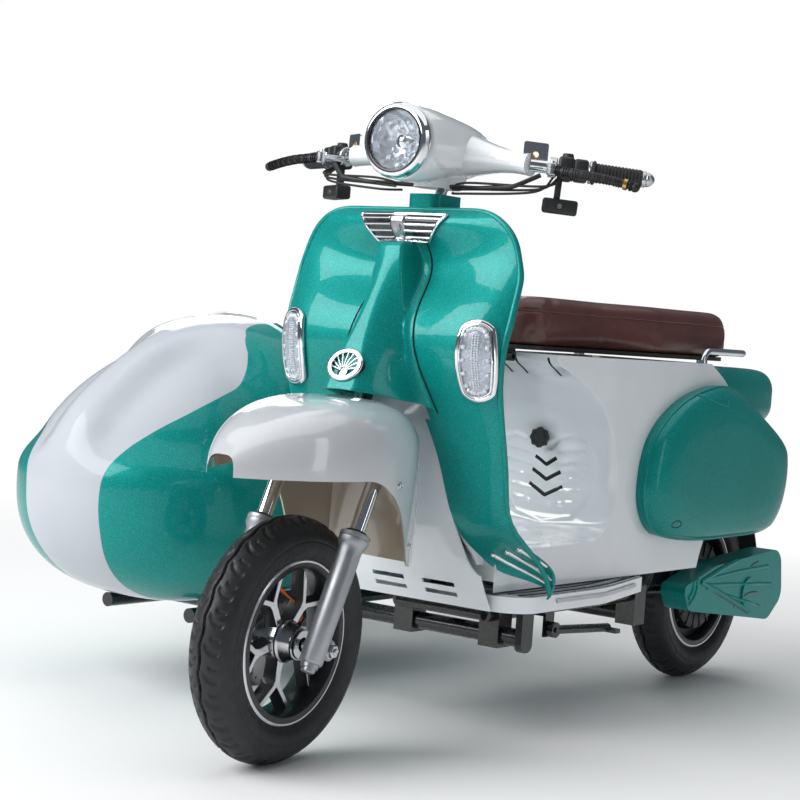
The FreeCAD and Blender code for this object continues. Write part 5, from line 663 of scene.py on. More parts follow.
# Body front: a white moulding that sweeps into a C-shaped recess over the raised footboard, with a
# moulded crest. Behind the joint line the shell keeps the solids' own shape.
white_paint = surface("white_lacquer", (0.86, 0.89, 0.92), 0.16, coat=1.0, vary=0.02, grain=0.04,
                      grain_scale=220, grain_depth=0.0004, rough_vary=0.04)
JOINT_Y = 800.0
PANEL_HALF = 145.0
PANEL_LOW_Z = 271
PANEL_COLUMNS = 120
RECESS_PROFILE = [(600, 688), (603, 677), (613, 668), (635, 658), (668, 641), (701, 618), (728, 591),
                  (748, 562), (765, 533), (777, 503), (785, 470), (787, 436), (782, 405), (769, 377),
                  (748, 357), (720, 347), (690, 344), (600, 343), (500, 343), (420, 343), (404, 340),
                  (396, 330), (393, 316), (392, 290)]
CREST_HALF = [(0, 500), (18, 505), (38, 521), (64, 530), (92, 523), (105, 500), (104, 458), (88, 410),
              (62, 378), (0, 366)]


def panel_half(y, z):
    """Half width of the panel: full low down and behind, drawn in towards the seat's nose."""
    ahead = min(max((768 - y) / 168, 0.0), 1.2)
    return PANEL_HALF - 38 * soft_step(ahead, 0, 1.2) * soft_step(z, 380, 620)


def edge_distance(x, z):
    """Distance to the crest's outline and whether the place lies inside it."""
    outline = CREST_HALF + [(-a, b) for a, b in CREST_HALF[-2:0:-1]]
    best, inside = 1e9, False
    for index, (ax, az) in enumerate(outline):
        bx, bz = outline[(index + 1) % len(outline)]
        length = (bx - ax) ** 2 + (bz - az) ** 2
        share = min(max(((x - ax) * (bx - ax) + (z - az) * (bz - az)) / length, 0), 1)
        best = min(best, math.hypot(x - ax - share * (bx - ax), z - az - share * (bz - az)))
        if (az > z) != (bz > z) and x < (bx - ax) * (z - az) / (bz - az) + ax:
            inside = not inside
    return best, inside


def front_relief(x, z, y):
    """How far the front stands towards the rider at a place on it."""
    if z < 346:
        edge = math.hypot(x / 118, (y - 555) / 150)
        return 1.6 * math.exp(-((edge - 1) / 0.022) ** 2) + (0.8 if edge < 1 else 0)
    gap, inside = edge_distance(x, z)
    lift = 3.4 * math.exp(-(gap / 2.8) ** 2) + (2.2 * soft_step(gap, 0, 5) if inside else 0)
    if inside and gap > 9 and abs(x) > 30:
        wing = (z - 0.16 * abs(x)) % 24
        lift += 2.0 * math.exp(-((wing - 12) / 2.4) ** 2)
    return lift


bm = bmesh.new()
profile = smooth_path([Vector((0, y, z)) for y, z in RECESS_PROFILE], 8)
rows = []
for index, spot in enumerate(profile):
    before, after = profile[max(index - 1, 0)], profile[min(index + 1, len(profile) - 1)]
    run = (after - before).normalized()
    outward = Vector((0, run.z, -run.y))
    if outward.y > 0.2 or (abs(outward.y) <= 0.2 and outward.z < 0):
        outward = -outward
    half = panel_half(spot.y, spot.z)
    row = []
    for column in range(PANEL_COLUMNS + 1):
        share = -1 + 2 * column / PANEL_COLUMNS
        crown = 20 * (1 - share ** 4) * soft_step(spot.z, 350, 420) * (1 - soft_step(spot.z, 600, 670))
        lift = front_relief(share * half, spot.z, spot.y)
        place = spot + Vector((share * half, -crown, 0)) + outward * lift
        row.append(at(*place))
    rows.append(row)
grid(bm, rows)
low_row = max(index for index, spot in enumerate(profile) if spot.z > 346.5)
for side in (-1, 1):
    upper = []
    for spot in profile[:low_row + 1]:
        steps = [spot.y + (JOINT_Y - spot.y) * k / 10 for k in range(11)]
        upper.append([at(side * panel_half(y, spot.z), y, spot.z) for y in steps])
    grid(bm, upper)
    lower = []
    for y, z in [(JOINT_Y, profile[low_row].z)] + [(spot.y, spot.z) for spot in profile[low_row:-1]]:
        lower.append([at(side * PANEL_HALF, y, z + (PANEL_LOW_Z - z) * k / 4) for k in range(5)])
    grid(bm, lower)
bmesh.ops.remove_doubles(bm, verts=bm.verts, dist=0.0004)
bmesh.ops.recalc_face_normals(bm, faces=bm.faces)
bm.normal_update()
FOOT_Z = at(0, 0, 352).z
SHARP_ANGLE = math.radians(50)
joined_edges = [edge for edge in bm.edges if len(edge.link_faces) == 2]
sharp_edges = [edge for edge in joined_edges if edge.calc_face_angle(0) > SHARP_ANGLE]
rim_edges = [edge for edge in sharp_edges if min(vert.co.z for vert in edge.verts) > FOOT_Z]
bmesh.ops.bevel(bm, geom=rim_edges, offset=0.009, segments=4, affect="EDGES", profile=0.5, material=-1,
                clamp_overlap=True)
panel_front = piece(bm, "body_front", white_paint, "scooter_and_sidecar", crease=40)

rear_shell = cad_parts["body_shell"].data
bm = bmesh.new()
bm.from_mesh(rear_shell)
bmesh.ops.bisect_plane(bm, geom=bm.verts[:] + bm.edges[:] + bm.faces[:], plane_co=at(0, JOINT_Y, 0),
                       plane_no=(0, 1, 0), clear_inner=True)
body_rear = piece(bm, "body_rear", white_paint, "scooter_and_sidecar", crease=30,
                  merge=0.00001)
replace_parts(body_rear, "body_shell")


# Slots and knob: dark cuts for air in the crest and beside the seat's nose, and a screw-down knob of
# black plastic that holds the cover. Rays from ahead find their places on the front.
def skin_of(*objects):
    """Search tree over the shown shape of the pieces given."""
    graph = bpy.context.evaluated_depsgraph_get()
    verts, faces = [], []
    for entry in objects:
        shown = entry.evaluated_get(graph)
        mesh = shown.to_mesh()
        base = len(verts)
        verts.extend(vert.co.copy() for vert in mesh.vertices)
        faces.extend(tuple(base + n for n in poly.vertices) for poly in mesh.polygons)
        shown.to_mesh_clear()
    return BVHTree.FromPolygons(verts, faces)


def drop(tree, start, direction, lift=0.0):
    """Where a ray first meets the surface, raised off it, with the normal turned towards the ray."""
    ahead = Vector(direction).normalized()
    spot, normal = tree.ray_cast(start, ahead)[:2]
    if spot is None:
        return None
    if normal.dot(ahead) > 0:
        normal = -normal
    return spot + normal * lift, normal


def inlay(bm, tree, places, direction, width, lift, height, closed=False, steps=5, sides=8):
    """Slim band along a line that is thrown onto the surface."""
    line = smooth_path(places, steps, closed)
    spots = [hit for hit in (drop(tree, p, direction, lift) for p in line) if hit]
    rows = []
    count = len(spots)
    for index, (spot, normal) in enumerate(spots):
        before = spots[index - 1][0] if closed or index else spot
        after = spots[(index + 1) % count][0] if closed or index < count - 1 else spot
        side = (after - before).cross(normal).normalized()
        rows.append([spot + side * math.cos(a) * width / 2 + normal * math.sin(a) * height
                     for a in turns(sides)])
    lines, _ = grid(bm, rows, around=True, along=closed)
    if not closed:
        bm.faces.new(lines[0][::-1])
        bm.faces.new(lines[-1])


black_plastic = surface("black_moulding", (0.016, 0.017, 0.019), 0.46, vary=0.15, grain=0.35,
                        grain_scale=1500)
# Near black for air slots, seams and the grille's bowl, and for painted shade round the cowls' pockets.
slot_and_shade_black = surface("slot_and_shade_black", (0.004, 0.004, 0.005), 0.6, vary=0.2, grain=0.1)
front_tree = skin_of(panel_front)
REARWARD = Vector((0, 1, 0))
bm = bmesh.new()
for tip, half, rise in ((475, 24, 14), (446, 32, 17), (416, 38, 19)):
    line = [at(x, 500, z) for x, z in ((-half, tip + rise), (-half / 2, tip + rise / 2), (-2, tip + 0.6),
                                       (2, tip + 0.6), (half / 2, tip + rise / 2), (half, tip + rise))]
    inlay(bm, front_tree, line, REARWARD, 0.0075, 0.0001, 0.0005, steps=4)
for across in (-90, -17, 17, 90):
    inlay(bm, front_tree, [at(across, 450, z) for z in (682, 672, 662, 650)], REARWARD, 0.005, 0.0001,
          0.0005)
piece(bm, "body_slots", slot_and_shade_black, "scooter_and_sidecar")
bm = bmesh.new()
spot, normal = drop(front_tree, at(0, 500, 527), REARWARD)
lathe(bm, spot - REARWARD * 0.003, -REARWARD, [(0, 0), (0, 0.013), (0.006, 0.014), (0.009, 0.0185),
                                               (0.019, 0.0185), (0.022, 0.016), (0.022, 0.011),
                                               (0.0205, 0.010), (0.0205, 0)], 48)
for vert in bm.verts:
    away = vert.co - spot
    reach = math.hypot(away.x, away.z)
    if reach > 0.015:
        swell = 1 + 0.07 * math.cos(8 * math.atan2(away.z, away.x))
        vert.co = Vector((spot.x + away.x * swell, vert.co.y, spot.z + away.z * swell))
piece(bm, "cover_knob", black_plastic, "scooter_and_sidecar")

# Footboard edge: silver alloy strips over black rubber lines on both sides, held by small screws.
# Rays from above find their places on the floor.
alloy = surface("satin_alloy", (0.56, 0.58, 0.6), 0.3, metal=1.0, vary=0.06, grain=0.12, grain_scale=1200,
                stretch=(1, 1, 0.05))
floor_tree = skin_of(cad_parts["floor_pan"])
rubber_lines, strips, studs = bmesh.new(), bmesh.new(), bmesh.new()
for side in (-1, 1):
    for inset, width, target in ((10, 0.005, strips), (22, 0.0045, rubber_lines), (33, 0.005, strips),
                                 (44, 0.0045, rubber_lines)):
        reach = 205 - inset
        line = [at(side * x, y, 300) for x, y in ((reach - 6, 425), (reach, 480), (reach, 560),
                                                  (reach, 640), (reach - 8, 720), (reach - 24, 800),
                                                  (reach - 44, 885))]
        inlay(target, floor_tree, line, (0, 0, -1), width, 0.0002, 0.0016)
    for y in (470, 560, 650, 740, 830):
        inset = 26 + max(y - 660, 0) * 0.2
        hit = drop(floor_tree, at(side * (205 - inset), y, 300), (0, 0, -1))
        if hit:
            lathe(studs, hit[0], (0, 0, 1), [(0, 0.0032), (0.0012, 0.003), (0.0019, 0.0018), (0.002, 0)],
                  14)
piece(rubber_lines, "floor_rubbers", rubber, "scooter_and_sidecar")
piece(strips, "floor_strips", alloy, "scooter_and_sidecar")
piece(studs, "floor_screws", bright_zinc, "scooter_and_sidecar")


# Leather: brown hide with a pebbled grain and soft creases, darker in its pores. It covers the saddle
# and both of the sidecar's pads.
def leather(name, colour):
    """Hide with pores over creases and an uneven tone."""
    material, tree, shader = new_material(name)
    links = tree.links
    broad = noise(tree, 9.0, 4)
    tint = ramp(tree, broad.outputs["Fac"], [(0.25, shade(colour, 0.75)), (0.55, shade(colour, 1.0)),
                                             (0.8, shade(colour, 1.35))])
    place = tree.nodes.new("ShaderNodeTexCoord")
    cells = add(tree, "ShaderNodeTexVoronoi", Scale=520.0, feature="DISTANCE_TO_EDGE")
    links.new(place.outputs["Object"], cells.inputs["Vector"])
    pores = ramp(tree, cells.outputs["Distance"], [(0.02, (0.55, 0.55, 0.55, 1)), (0.14, (1, 1, 1, 1))])
    mix = add(tree, "ShaderNodeMix", data_type="RGBA", blend_type="MULTIPLY")
    mix.inputs["Factor"].default_value = 1.0
    links.new(tint.outputs["Color"], mix.inputs["A"])
    links.new(pores.outputs["Color"], mix.inputs["B"])
    links.new(mix.outputs["Result"], shader.inputs["Base Color"])
    creases = noise(tree, 38.0, 6, 0.62, (1, 0.6, 1))
    folds = bump(tree, creases.outputs["Fac"], 0.25, 0.002)
    grain = bump(tree, pores.outputs["Color"], 0.35, 0.0003, folds)
    links.new(grain.outputs["Normal"], shader.inputs["Normal"])
    shader.inputs["Roughness"].default_value = 0.36
    shader.inputs["Coat Weight"].default_value = 0.3
    shader.inputs["Coat Roughness"].default_value = 0.35
    return material


BROWN = (0.125, 0.038, 0.028)
hide = leather("brown_hide", BROWN)


def swollen(name, blank, body, cap, pressure=4.0, voxel=0.006, keep_low=0.012):
    """Pad blown up from a copy of its plain solid: held at its underside, its rise held under a cap."""
    pad = bpy.data.objects.new(name, blank)
    bpy.context.scene.collection.objects.link(pad)
    bpy.context.view_layer.objects.active = pad
    remesh = pad.modifiers.new("even", "REMESH")
    remesh.mode, remesh.voxel_size = "VOXEL", voxel
    bpy.ops.object.modifier_apply(modifier=remesh.name)
    base = [vert.co.copy() for vert in pad.data.vertices]
    floor_z = min(co.z for co in base) + keep_low
    held = pad.vertex_groups.new(name="held")
    held.add([index for index, co in enumerate(base) if co.z < floor_z], 1.0, "REPLACE")
    cloth = pad.modifiers.new("swell", "CLOTH")
    cloth.settings.use_pressure = True
    cloth.settings.uniform_pressure_force = pressure
    cloth.settings.vertex_group_mass = held.name
    cloth.settings.effector_weights.gravity = 0
    cloth.settings.tension_stiffness = 18
    cloth.settings.compression_stiffness = 18
    cloth.settings.bending_stiffness = 0.6
    for step in range(1, 21):
        bpy.context.scene.frame_set(step)
    bpy.ops.object.modifier_apply(modifier=cloth.name)
    bpy.context.scene.frame_set(1)
    for vert, start in zip(pad.data.vertices, base):
        move = vert.co - start
        if move.length > cap:
            vert.co = start + move * (cap / move.length)
    bpy.ops.object.select_all(action="DESELECT")
    pad.select_set(True)
    finer = pad.modifiers.new("finer", "SUBSURF")
    finer.levels = finer.render_levels = 1
    bpy.ops.object.modifier_apply(modifier=finer.name)
    for poly in pad.data.polygons:
        poly.use_smooth = True
    pad.data.materials.clear()
    pad.data.materials.append(hide)
    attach(pad, body)
    return pad


def press(pad, nearness, depth, width):
    """Sewn channel: the hide is drawn in where nearness gives a small distance."""
    normals = [vert.normal.copy() for vert in pad.data.vertices]
    for vert, normal in zip(pad.data.vertices, normals):
        gap = nearness(vert.co)
        if gap < width * 3:
            vert.co -= normal * depth * math.exp(-(gap / width) ** 2)
    pad.data.update()


def part_of(node, wanted):
    """Mesh copy of the solids of a node whose middle passes the test."""
    bm = bmesh.new()
    bm.from_mesh(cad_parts[node].data)
    bmesh.ops.remove_doubles(bm, verts=bm.verts, dist=0.00001)
    left = set(bm.verts)
    while left:
        island, stack = set(), [next(iter(left))]
        while stack:
            vert = stack.pop()
            if vert in island:
                continue
            island.add(vert)
            stack.extend(edge.other_vert(vert) for edge in vert.link_edges)
        left -= island
        middle = sum((vert.co for vert in island), Vector()) / len(island)
        if not wanted(middle):
            bmesh.ops.delete(bm, geom=list(island), context="VERTS")
    mesh = bpy.data.meshes.new(node + "_blank")
    bm.to_mesh(mesh)
    bm.free()
    return mesh


# Saddle: one long bench of stuffed hide with a cross seam behind its nose, and a piped welt between
# its top and its sides. It sits on the hinged base.
saddle_low, saddle_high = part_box("seat_cushion")
saddle = swollen("saddle", part_of("seat_cushion", lambda middle: True), "seat", 0.005)
CROSS_SEAM = at(0, 548, 0).y
WELT_HEIGHT = saddle_high.z - 0.022
WELT_STEPS, WELT_END = 240, 0.12
press(saddle, lambda co: abs(co.y - CROSS_SEAM) if co.z > saddle_low.z + 0.01 else 1.0, 0.0055, 0.0045)
press(saddle, lambda co: abs(co.z - WELT_HEIGHT), 0.0022, 0.0028)
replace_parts(saddle, "seat_cushion")
saddle_tree = skin_of(saddle)
bm = bmesh.new()
saddle_middle = (saddle_low + saddle_high) / 2
half_length = (saddle_high.y - saddle_low.y) / 2
welt = []
for turn in turns(WELT_STEPS):
    aim = Vector((math.cos(turn) * 0.4, math.sin(turn), 0)).normalized()
    along = max(min(math.sin(turn) * half_length, half_length - WELT_END), WELT_END - half_length)
    core = Vector((saddle_middle.x, saddle_middle.y + along, WELT_HEIGHT))
    hit = drop(saddle_tree, core + aim * 0.6, -aim, 0.0006)
    if hit:
        welt.append(hit[0])
sweep(bm, welt, 0.0017, 8, closed=True)
piece(bm, "saddle_welt", hide, "seat")

# Sidecar pads: seat and leaning backrest in the same hide, stuffed, with sewn upright channels. They
# lie on the bench in the cockpit.
CAR_X = -590
PAD_CHANNELS = (-0.12, -0.04, 0.04, 0.12)
split_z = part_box("sidecar_cushions")[0].z + 0.082
seat_blank = part_of("sidecar_cushions", lambda middle: middle.z < split_z)
back_blank = part_of("sidecar_cushions", lambda middle: middle.z >= split_z)
side_seat = swollen("sidecar_seat_pad", seat_blank, "scooter_and_sidecar", 0.010)
side_back = swollen("sidecar_back_pad", back_blank, "scooter_and_sidecar", 0.010, keep_low=0.004)
for pad in (side_seat, side_back):
    for column in PAD_CHANNELS:
        channel_x = at(CAR_X, 0, 0).x + column
        press(pad, lambda co: abs(co.x - channel_x), 0.006, 0.006)
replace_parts(side_seat, "sidecar_cushions")
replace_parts(side_back, "sidecar_cushions")


# Leg shield: a teal lacquered pressing whose foot sweeps back over the floor's corners, its edge
# rolled outwards all round. Three chromed ribs are fixed over each foot.
def flake_effect():
    """Bright flakes, each a cell of its own brightness, over a base colour."""
    tree, given, result = effect("paint_flakes", "Color", Scale=1400.0, Base=(0, 0, 0, 1),
                                 Flake=(1, 1, 1, 1))
    place = tree.nodes.new("ShaderNodeTexCoord")
    cells = add(tree, "ShaderNodeTexVoronoi")
    tree.links.new(place.outputs["Object"], cells.inputs["Vector"])
    tree.links.new(given["Scale"], cells.inputs["Scale"])
    split = tree.nodes.new("ShaderNodeSeparateColor")
    tree.links.new(cells.outputs["Color"], split.inputs["Color"])
    sparkle = ramp(tree, split.outputs["Red"], [(0.55, (0, 0, 0, 1)), (1.0, (1, 1, 1, 1))])
    mix = add(tree, "ShaderNodeMix", data_type="RGBA")
    tree.links.new(sparkle.outputs["Color"], mix.inputs["Factor"])
    tree.links.new(given["Base"], mix.inputs["A"])
    tree.links.new(given["Flake"], mix.inputs["B"])
    tree.links.new(mix.outputs["Result"], result["Color"])
    return tree


PAINT_FLAKES = flake_effect()


def metallic_paint(name, colour, flake_colour):
    """Lacquered paint: fine bright flakes under a clear coat with a trace of orange peel."""
    material, tree, shader = new_material(name)
    links = tree.links
    tone = add(tree, "ShaderNodeGroup", node_tree=UNEVEN_TONE, Scale=5.0, Dark=shade(colour, 0.94),
               Light=shade(colour, 1.06))
    flakes = add(tree, "ShaderNodeGroup", node_tree=PAINT_FLAKES, Flake=(*flake_colour, 1))
    links.new(tone.outputs["Color"], flakes.inputs["Base"])
    links.new(flakes.outputs["Color"], shader.inputs["Base Color"])
    shader.inputs["Metallic"].default_value = 0.25
    shader.inputs["Specular IOR Level"].default_value = 0.1
    shader.inputs["Roughness"].default_value = 0.42
    shader.inputs["Coat Weight"].default_value = 0.7
    shader.inputs["Coat Roughness"].default_value = 0.04
    shader.inputs["Coat IOR"].default_value = 1.33
    peel = add(tree, "ShaderNodeGroup", node_tree=FINE_GRAIN, Scale=160.0, Detail=2.0, Roughness=0.55,
               Strength=0.05, Distance=0.0006)
    links.new(peel.outputs["Vector"], shader.inputs["Coat Normal"])
    return material


TEAL = (0.0008, 0.225, 0.2)
TEAL_FLAKE = (0.015, 0.42, 0.4)
teal_paint = metallic_paint("teal_lacquer", TEAL, TEAL_FLAKE)
chrome = surface("chrome_plate", (0.83, 0.84, 0.86), 0.07, metal=1.0, vary=0.03, rough_vary=0.03)
SHIELD_MIDDLE = Vector((0, 715))
EDGE_STEPS, EDGE_HALF_ANGLE = 180, 154
FOOT_RIB_STEPS = 18


def reshaped(name, node, move, material, wanted=None, longest=0.022, body="scooter_and_sidecar",
             crease=32):
    """Piece from a copy of a node's mesh, each place moved by a smooth rule in design millimetres."""
    bm = bmesh.new()
    bm.from_mesh(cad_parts[node].data if wanted is None else part_of(node, wanted))
    bmesh.ops.remove_doubles(bm, verts=bm.verts, dist=0.00001)
    for _ in range(3):
        long_edges = [edge for edge in bm.edges if edge.calc_length() > longest]
        bmesh.ops.subdivide_edges(bm, edges=long_edges, cuts=1)
        bmesh.ops.triangulate(bm, faces=[face for face in bm.faces if len(face.verts) > 3])
    for vert in bm.verts:
        vert.co = at(*move(*((vert.co - HOME) * 1000)))
    return piece(bm, name, material, body, crease=crease)


def bulb(bm, spot, radius, sectors, rings):
    """Round end or small lamp."""
    bmesh.ops.create_uvsphere(bm, u_segments=sectors, v_segments=rings, radius=radius,
                              matrix=Matrix.Translation(spot))


def sweep_foot(x, y, z):
    """Foot a little wider and swept back at its outer corners."""
    low = 1 - soft_step(z, 275, 400)
    outer = soft_step(abs(x), 95, 200)
    return x * (1 + 0.05 * low), y + 92 * low * outer, z


shield = reshaped("shield_shell", "leg_shield", sweep_foot, teal_paint)
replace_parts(shield, "leg_shield")
shield_tree = skin_of(shield)
AHEAD = Vector((0, -1, 0))


def shield_edge(angle, inset=0.0):
    """Outermost spot of the shield along a direction from its middle, seen from ahead."""
    aim = Vector((math.sin(angle), math.cos(angle)))
    inner, outer = None, None
    for step in range(150):
        reach = 640 - step * 4
        spot = SHIELD_MIDDLE + aim * reach
        if shield_tree.ray_cast(at(spot.x, -100, spot.y), REARWARD)[0] is not None:
            inner, outer = reach, reach + 4
            break
    if inner is None:
        return None
    for _ in range(8):
        middle = (inner + outer) / 2
        spot = SHIELD_MIDDLE + aim * middle
        if shield_tree.ray_cast(at(spot.x, -100, spot.y), REARWARD)[0] is not None:
            inner = middle
        else:
            outer = middle
    spot = SHIELD_MIDDLE + aim * (inner - inset)
    return drop(shield_tree, at(spot.x, -100, spot.y), REARWARD)


rolled = []
for step in range(EDGE_STEPS + 1):
    hit = shield_edge(math.radians(EDGE_HALF_ANGLE * (2 * step / EDGE_STEPS - 1)), 3.2)
    if hit:
        rolled.append(hit[0] + REARWARD * 0.0012)
for _ in range(3):
    evened = [(a + b * 2 + c) / 4 for a, b, c in zip(rolled, rolled[1:], rolled[2:])]
    rolled = [rolled[0]] + evened + [rolled[-1]]
bm = bmesh.new()
sweep(bm, rolled, 0.0046, 12)
piece(bm, "shield_rolled_edge", teal_paint, "scooter_and_sidecar")

bm = bmesh.new()
for side in (-1, 1):
    for start, end in (((151, 340), (206, 292)), ((178, 348), (226, 288)), ((205, 356), (244, 284))):
        line = []
        for step in range(FOOT_RIB_STEPS + 1):
            share = step / FOOT_RIB_STEPS
            across = start[0] + (end[0] - start[0]) * share - 6 * math.sin(math.pi * share)
            hit = drop(shield_tree, at(side * across, -50, start[1] + (end[1] - start[1]) * share),
                       REARWARD)
            if hit:
                line.append(hit[0] + AHEAD * 0.0012)
        if len(line) > 6:
            sizes = [0.0052 - 0.002 * n / (len(line) - 1) for n in range(len(line))]
            sweep(bm, line, sizes, 12)
            bulb(bm, line[0] + AHEAD * 0.0006, 0.0058, 16, 10)
piece(bm, "shield_foot_ribs", chrome, "scooter_and_sidecar")

# Horn cover: a raised teal pressing that grows out of the shield to a broad nose, with dark seams at
# its sides. The collar above it closes the shield round the steering neck.
COVER_COLUMNS, COVER_ROWS = 64, 56
COVER_TOP = 868
COVER_HALF = [(870, 43), (800, 52), (730, 62), (690, 70), (650, 80), (608, 92), (570, 101)]
COVER_RISE = [(870, 1.5), (845, 8), (800, 27), (745, 54), (690, 82), (650, 100), (612, 118), (570, 124)]


def between(table, z):
    """Value at a height from rows that fall in height."""
    for (z1, v1), (z2, v2) in zip(table, table[1:]):
        if z >= z2:
            share = min(max((z1 - z) / (z1 - z2), 0), 1)
            return v1 + (v2 - v1) * share
    return table[-1][1]


def cover_spot(share, down):
    """Place on the cover: share -1 to 1 across, down 0 to 1 from its top to its lip."""
    lip = 611 - 32 * abs(share) ** 3
    z = COVER_TOP + (lip - COVER_TOP) * down
    half = between(COVER_HALF, z)
    x = half * share
    hit = drop(shield_tree, at(x, -150, z), REARWARD)
    base = (hit[0].y - HOME.y) * 1000 if hit else 226
    flat = 0.04 + 0.24 * soft_step(COVER_TOP - z, 60, 250)
    ridge = 1 - soft_step(abs(share), flat, 0.97)
    tall = between(COVER_RISE, z)
    return at(x, base - 1.2 - tall * ridge ** 0.9, z)


bm = bmesh.new()
rows = [[cover_spot(-1 + 2 * c / COVER_COLUMNS, r / COVER_ROWS) for c in range(COVER_COLUMNS + 1)]
        for r in range(COVER_ROWS + 1)]
lip = [[spot + Vector((0, 0.0015 * k, -0.0012 * math.sin(k))) for spot in rows[-1]] for k in (1, 2)]
lip.append([spot + Vector((0, 0.02, 0.004)) for spot in rows[-1]])
grid(bm, rows + lip)
for _ in range(2):
    bmesh.ops.smooth_vert(bm, verts=[v for v in bm.verts if not v.is_boundary], factor=0.5, use_axis_y=True)
cover = piece(bm, "horn_cover_panel", teal_paint, "scooter_and_sidecar", crease=60)
collar = reshaped("neck_collar", "horn_cover", lambda x, y, z: (x * 0.68 + 6, 296 + (y - 296) * 0.8, z),
                  teal_paint, wanted=lambda middle: middle.z > 0.9)
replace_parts(cover, "horn_cover")
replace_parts(collar, "horn_cover")
bm = bmesh.new()
for side in (-1, 1):
    beside = Vector((side * 0.0012, -0.0006, 0))
    seam = [cover_spot(side, r / COVER_ROWS) + beside for r in range(COVER_ROWS + 1)]
    sweep(bm, seam, 0.0011, 8)
piece(bm, "horn_cover_seams", slot_and_shade_black, "scooter_and_sidecar")

# Badge: a dark cast tray with four bright ribs on each side of a plain satin plate. It follows the
# shield's curve and stands a few millimetres proud of it.
BADGE_LOW, BADGE_HEIGHT, BADGE_HALF_LOW, BADGE_FLARE = 866, 46, 54, 37


def badge_spot(across, up, lift=0.0):
    """Place on the badge: across -1 to 1, up 0 to 1, lifted off the shield in metres."""
    half = BADGE_HALF_LOW + BADGE_FLARE * up
    z = BADGE_LOW + BADGE_HEIGHT * up
    reach = []
    for near in (-14, 0, 14):
        hit = drop(shield_tree, at(across * half + near, -50, z), REARWARD)
        reach.append(hit[0].y if hit else at(0, 255, 0).y)
    x = across * half
    proud = 0.006 * math.exp(-(x / 40) ** 2)
    return Vector((at(x, 0, 0).x, sum(reach) / 3 - 0.004 - proud - lift, at(0, 0, z).z))


badge_satin = surface("badge_satin", (0.42, 0.43, 0.45), 0.32, metal=1.0, vary=0.08, grain=0.15)
bm = bmesh.new()
tray = [[badge_spot(-1 + 2 * c / 36, r / 8) for c in range(37)] for r in range(9)]
back = [[spot + REARWARD * 0.01 for spot in row] for row in tray]
front_rows, _ = grid(bm, tray)
back_rows, _ = grid(bm, back)
for one, two in ((front_rows[0], back_rows[0]), (front_rows[-1], back_rows[-1]),
                 ([row[0] for row in front_rows], [row[0] for row in back_rows]),
                 ([row[-1] for row in front_rows], [row[-1] for row in back_rows])):
    for k in range(len(one) - 1):
        bm.faces.new((one[k], one[k + 1], two[k + 1], two[k]))
badge = piece(bm, "badge_tray", black_paint, "scooter_and_sidecar", crease=30)
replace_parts(badge, "shield_brightwork")
bm = bmesh.new()
outline = [(-1 + 2 * c / 24, 1.0) for c in range(25)] + [(1, 1 - k / 8) for k in range(1, 9)]
outline += [(1 - 2 * c / 24, 0.0) for c in range(1, 25)] + [(-1, k / 8) for k in range(1, 8)]
sweep(bm, [badge_spot(a, u, 0.0006) for a, u in outline], 0.0026, 10, closed=True)
for side in (-1, 1):
    for row in range(4):
        up = 0.14 + 0.235 * row
        sweep(bm, [badge_spot(side * (0.2 + 0.78 * k / 10), up, 0.0006) for k in range(11)], 0.0031, 12,
              squash=0.8)
piece(bm, "badge_ribs", chrome, "scooter_and_sidecar")
bm = bmesh.new()
plate = []
for row in range(9):
    lifts = [0.0006 if row in (0, 8) or column in (0, 8) else 0.0032 for column in range(9)]
    plate.append([badge_spot(-0.19 + 0.38 * column / 8, row / 8, lift)
                  for column, lift in enumerate(lifts)])
grid(bm, plate)
for size, lift in ((0.0098, 0.0034), (0.0078, 0.0046)):
    centre = badge_spot(0, 0.52, lift)
    lathe(bm, centre, AHEAD, [(-0.002, size), (0, size), (0.0006, size - 0.0008), (0.0004, 0)], 40)
piece(bm, "badge_plate", badge_satin, "scooter_and_sidecar", crease=30)

# Horn grille: a chromed oval rim and bars that fan out from a hub low down, over a black bowl. It is
# let into the nose of the horn cover.
grille_hit = drop(skin_of(cover), at(0, -150, 650), REARWARD, 0.002)
grille_middle = grille_hit[0]
grille_out = Vector((0, grille_hit[1].y, grille_hit[1].z)).normalized()
grille_side = grille_out.cross(Vector((0, 0, 1))).normalized() * -1
grille_up = grille_out.cross(grille_side).normalized()
if grille_up.z < 0:
    grille_up = -grille_up


def grille_at(across, up, lift):
    """Place on the grille, in millimetres from its middle and lifted off the cover."""
    return grille_middle + (grille_side * across + grille_up * up + grille_out * lift) / 1000


def oval(share, lift):
    """Ring at a share of the grille's size."""
    return [grille_at(GRILLE_HALF[0] * share * math.cos(a), GRILLE_HALF[1] * share * math.sin(a), lift)
            for a in turns(60)]


GRILLE_HALF = (33.0, 27.0)
GRILLE_BARS, GRILLE_HUB_UP = 9, -12
bm = bmesh.new()
bowl = [oval(share, lift) for share, lift in ((1.0, -14), (1.0, -1), (0.86, -2), (0.5, -5), (0.05, -6))]
lines, _ = grid(bm, bowl, around=True)
bm.faces.new(lines[-1])
piece(bm, "grille_bowl", slot_and_shade_black, "scooter_and_sidecar")
bm = bmesh.new()
for share, lift, size in ((0.98, 0.5, 3.6), (0.86, 2.0, 2.2)):
    sweep(bm, oval(share, lift), size / 1000, 12, closed=True)
for number in range(GRILLE_BARS):
    aim = math.radians(90 + (number - GRILLE_BARS // 2) * 25)
    tip = (GRILLE_HALF[0] * 0.84 * math.cos(aim), max(GRILLE_HALF[1] * 0.84 * math.sin(aim), -9))
    path = []
    for share in (0.12, 0.35, 0.6, 0.85, 1.0):
        lift = 1.2 + 1.5 * math.sin(math.pi * share)
        path.append(grille_at(tip[0] * share, GRILLE_HUB_UP + (tip[1] - GRILLE_HUB_UP) * share, lift))
    sweep(bm, path, [0.0009, 0.0012, 0.0015, 0.0017, 0.0018], 10)
lathe(bm, grille_at(0, -13, 0), grille_out, [(0, 0.0105), (0.0022, 0.0098), (0.003, 0.008), (0.0026, 0)],
      32)
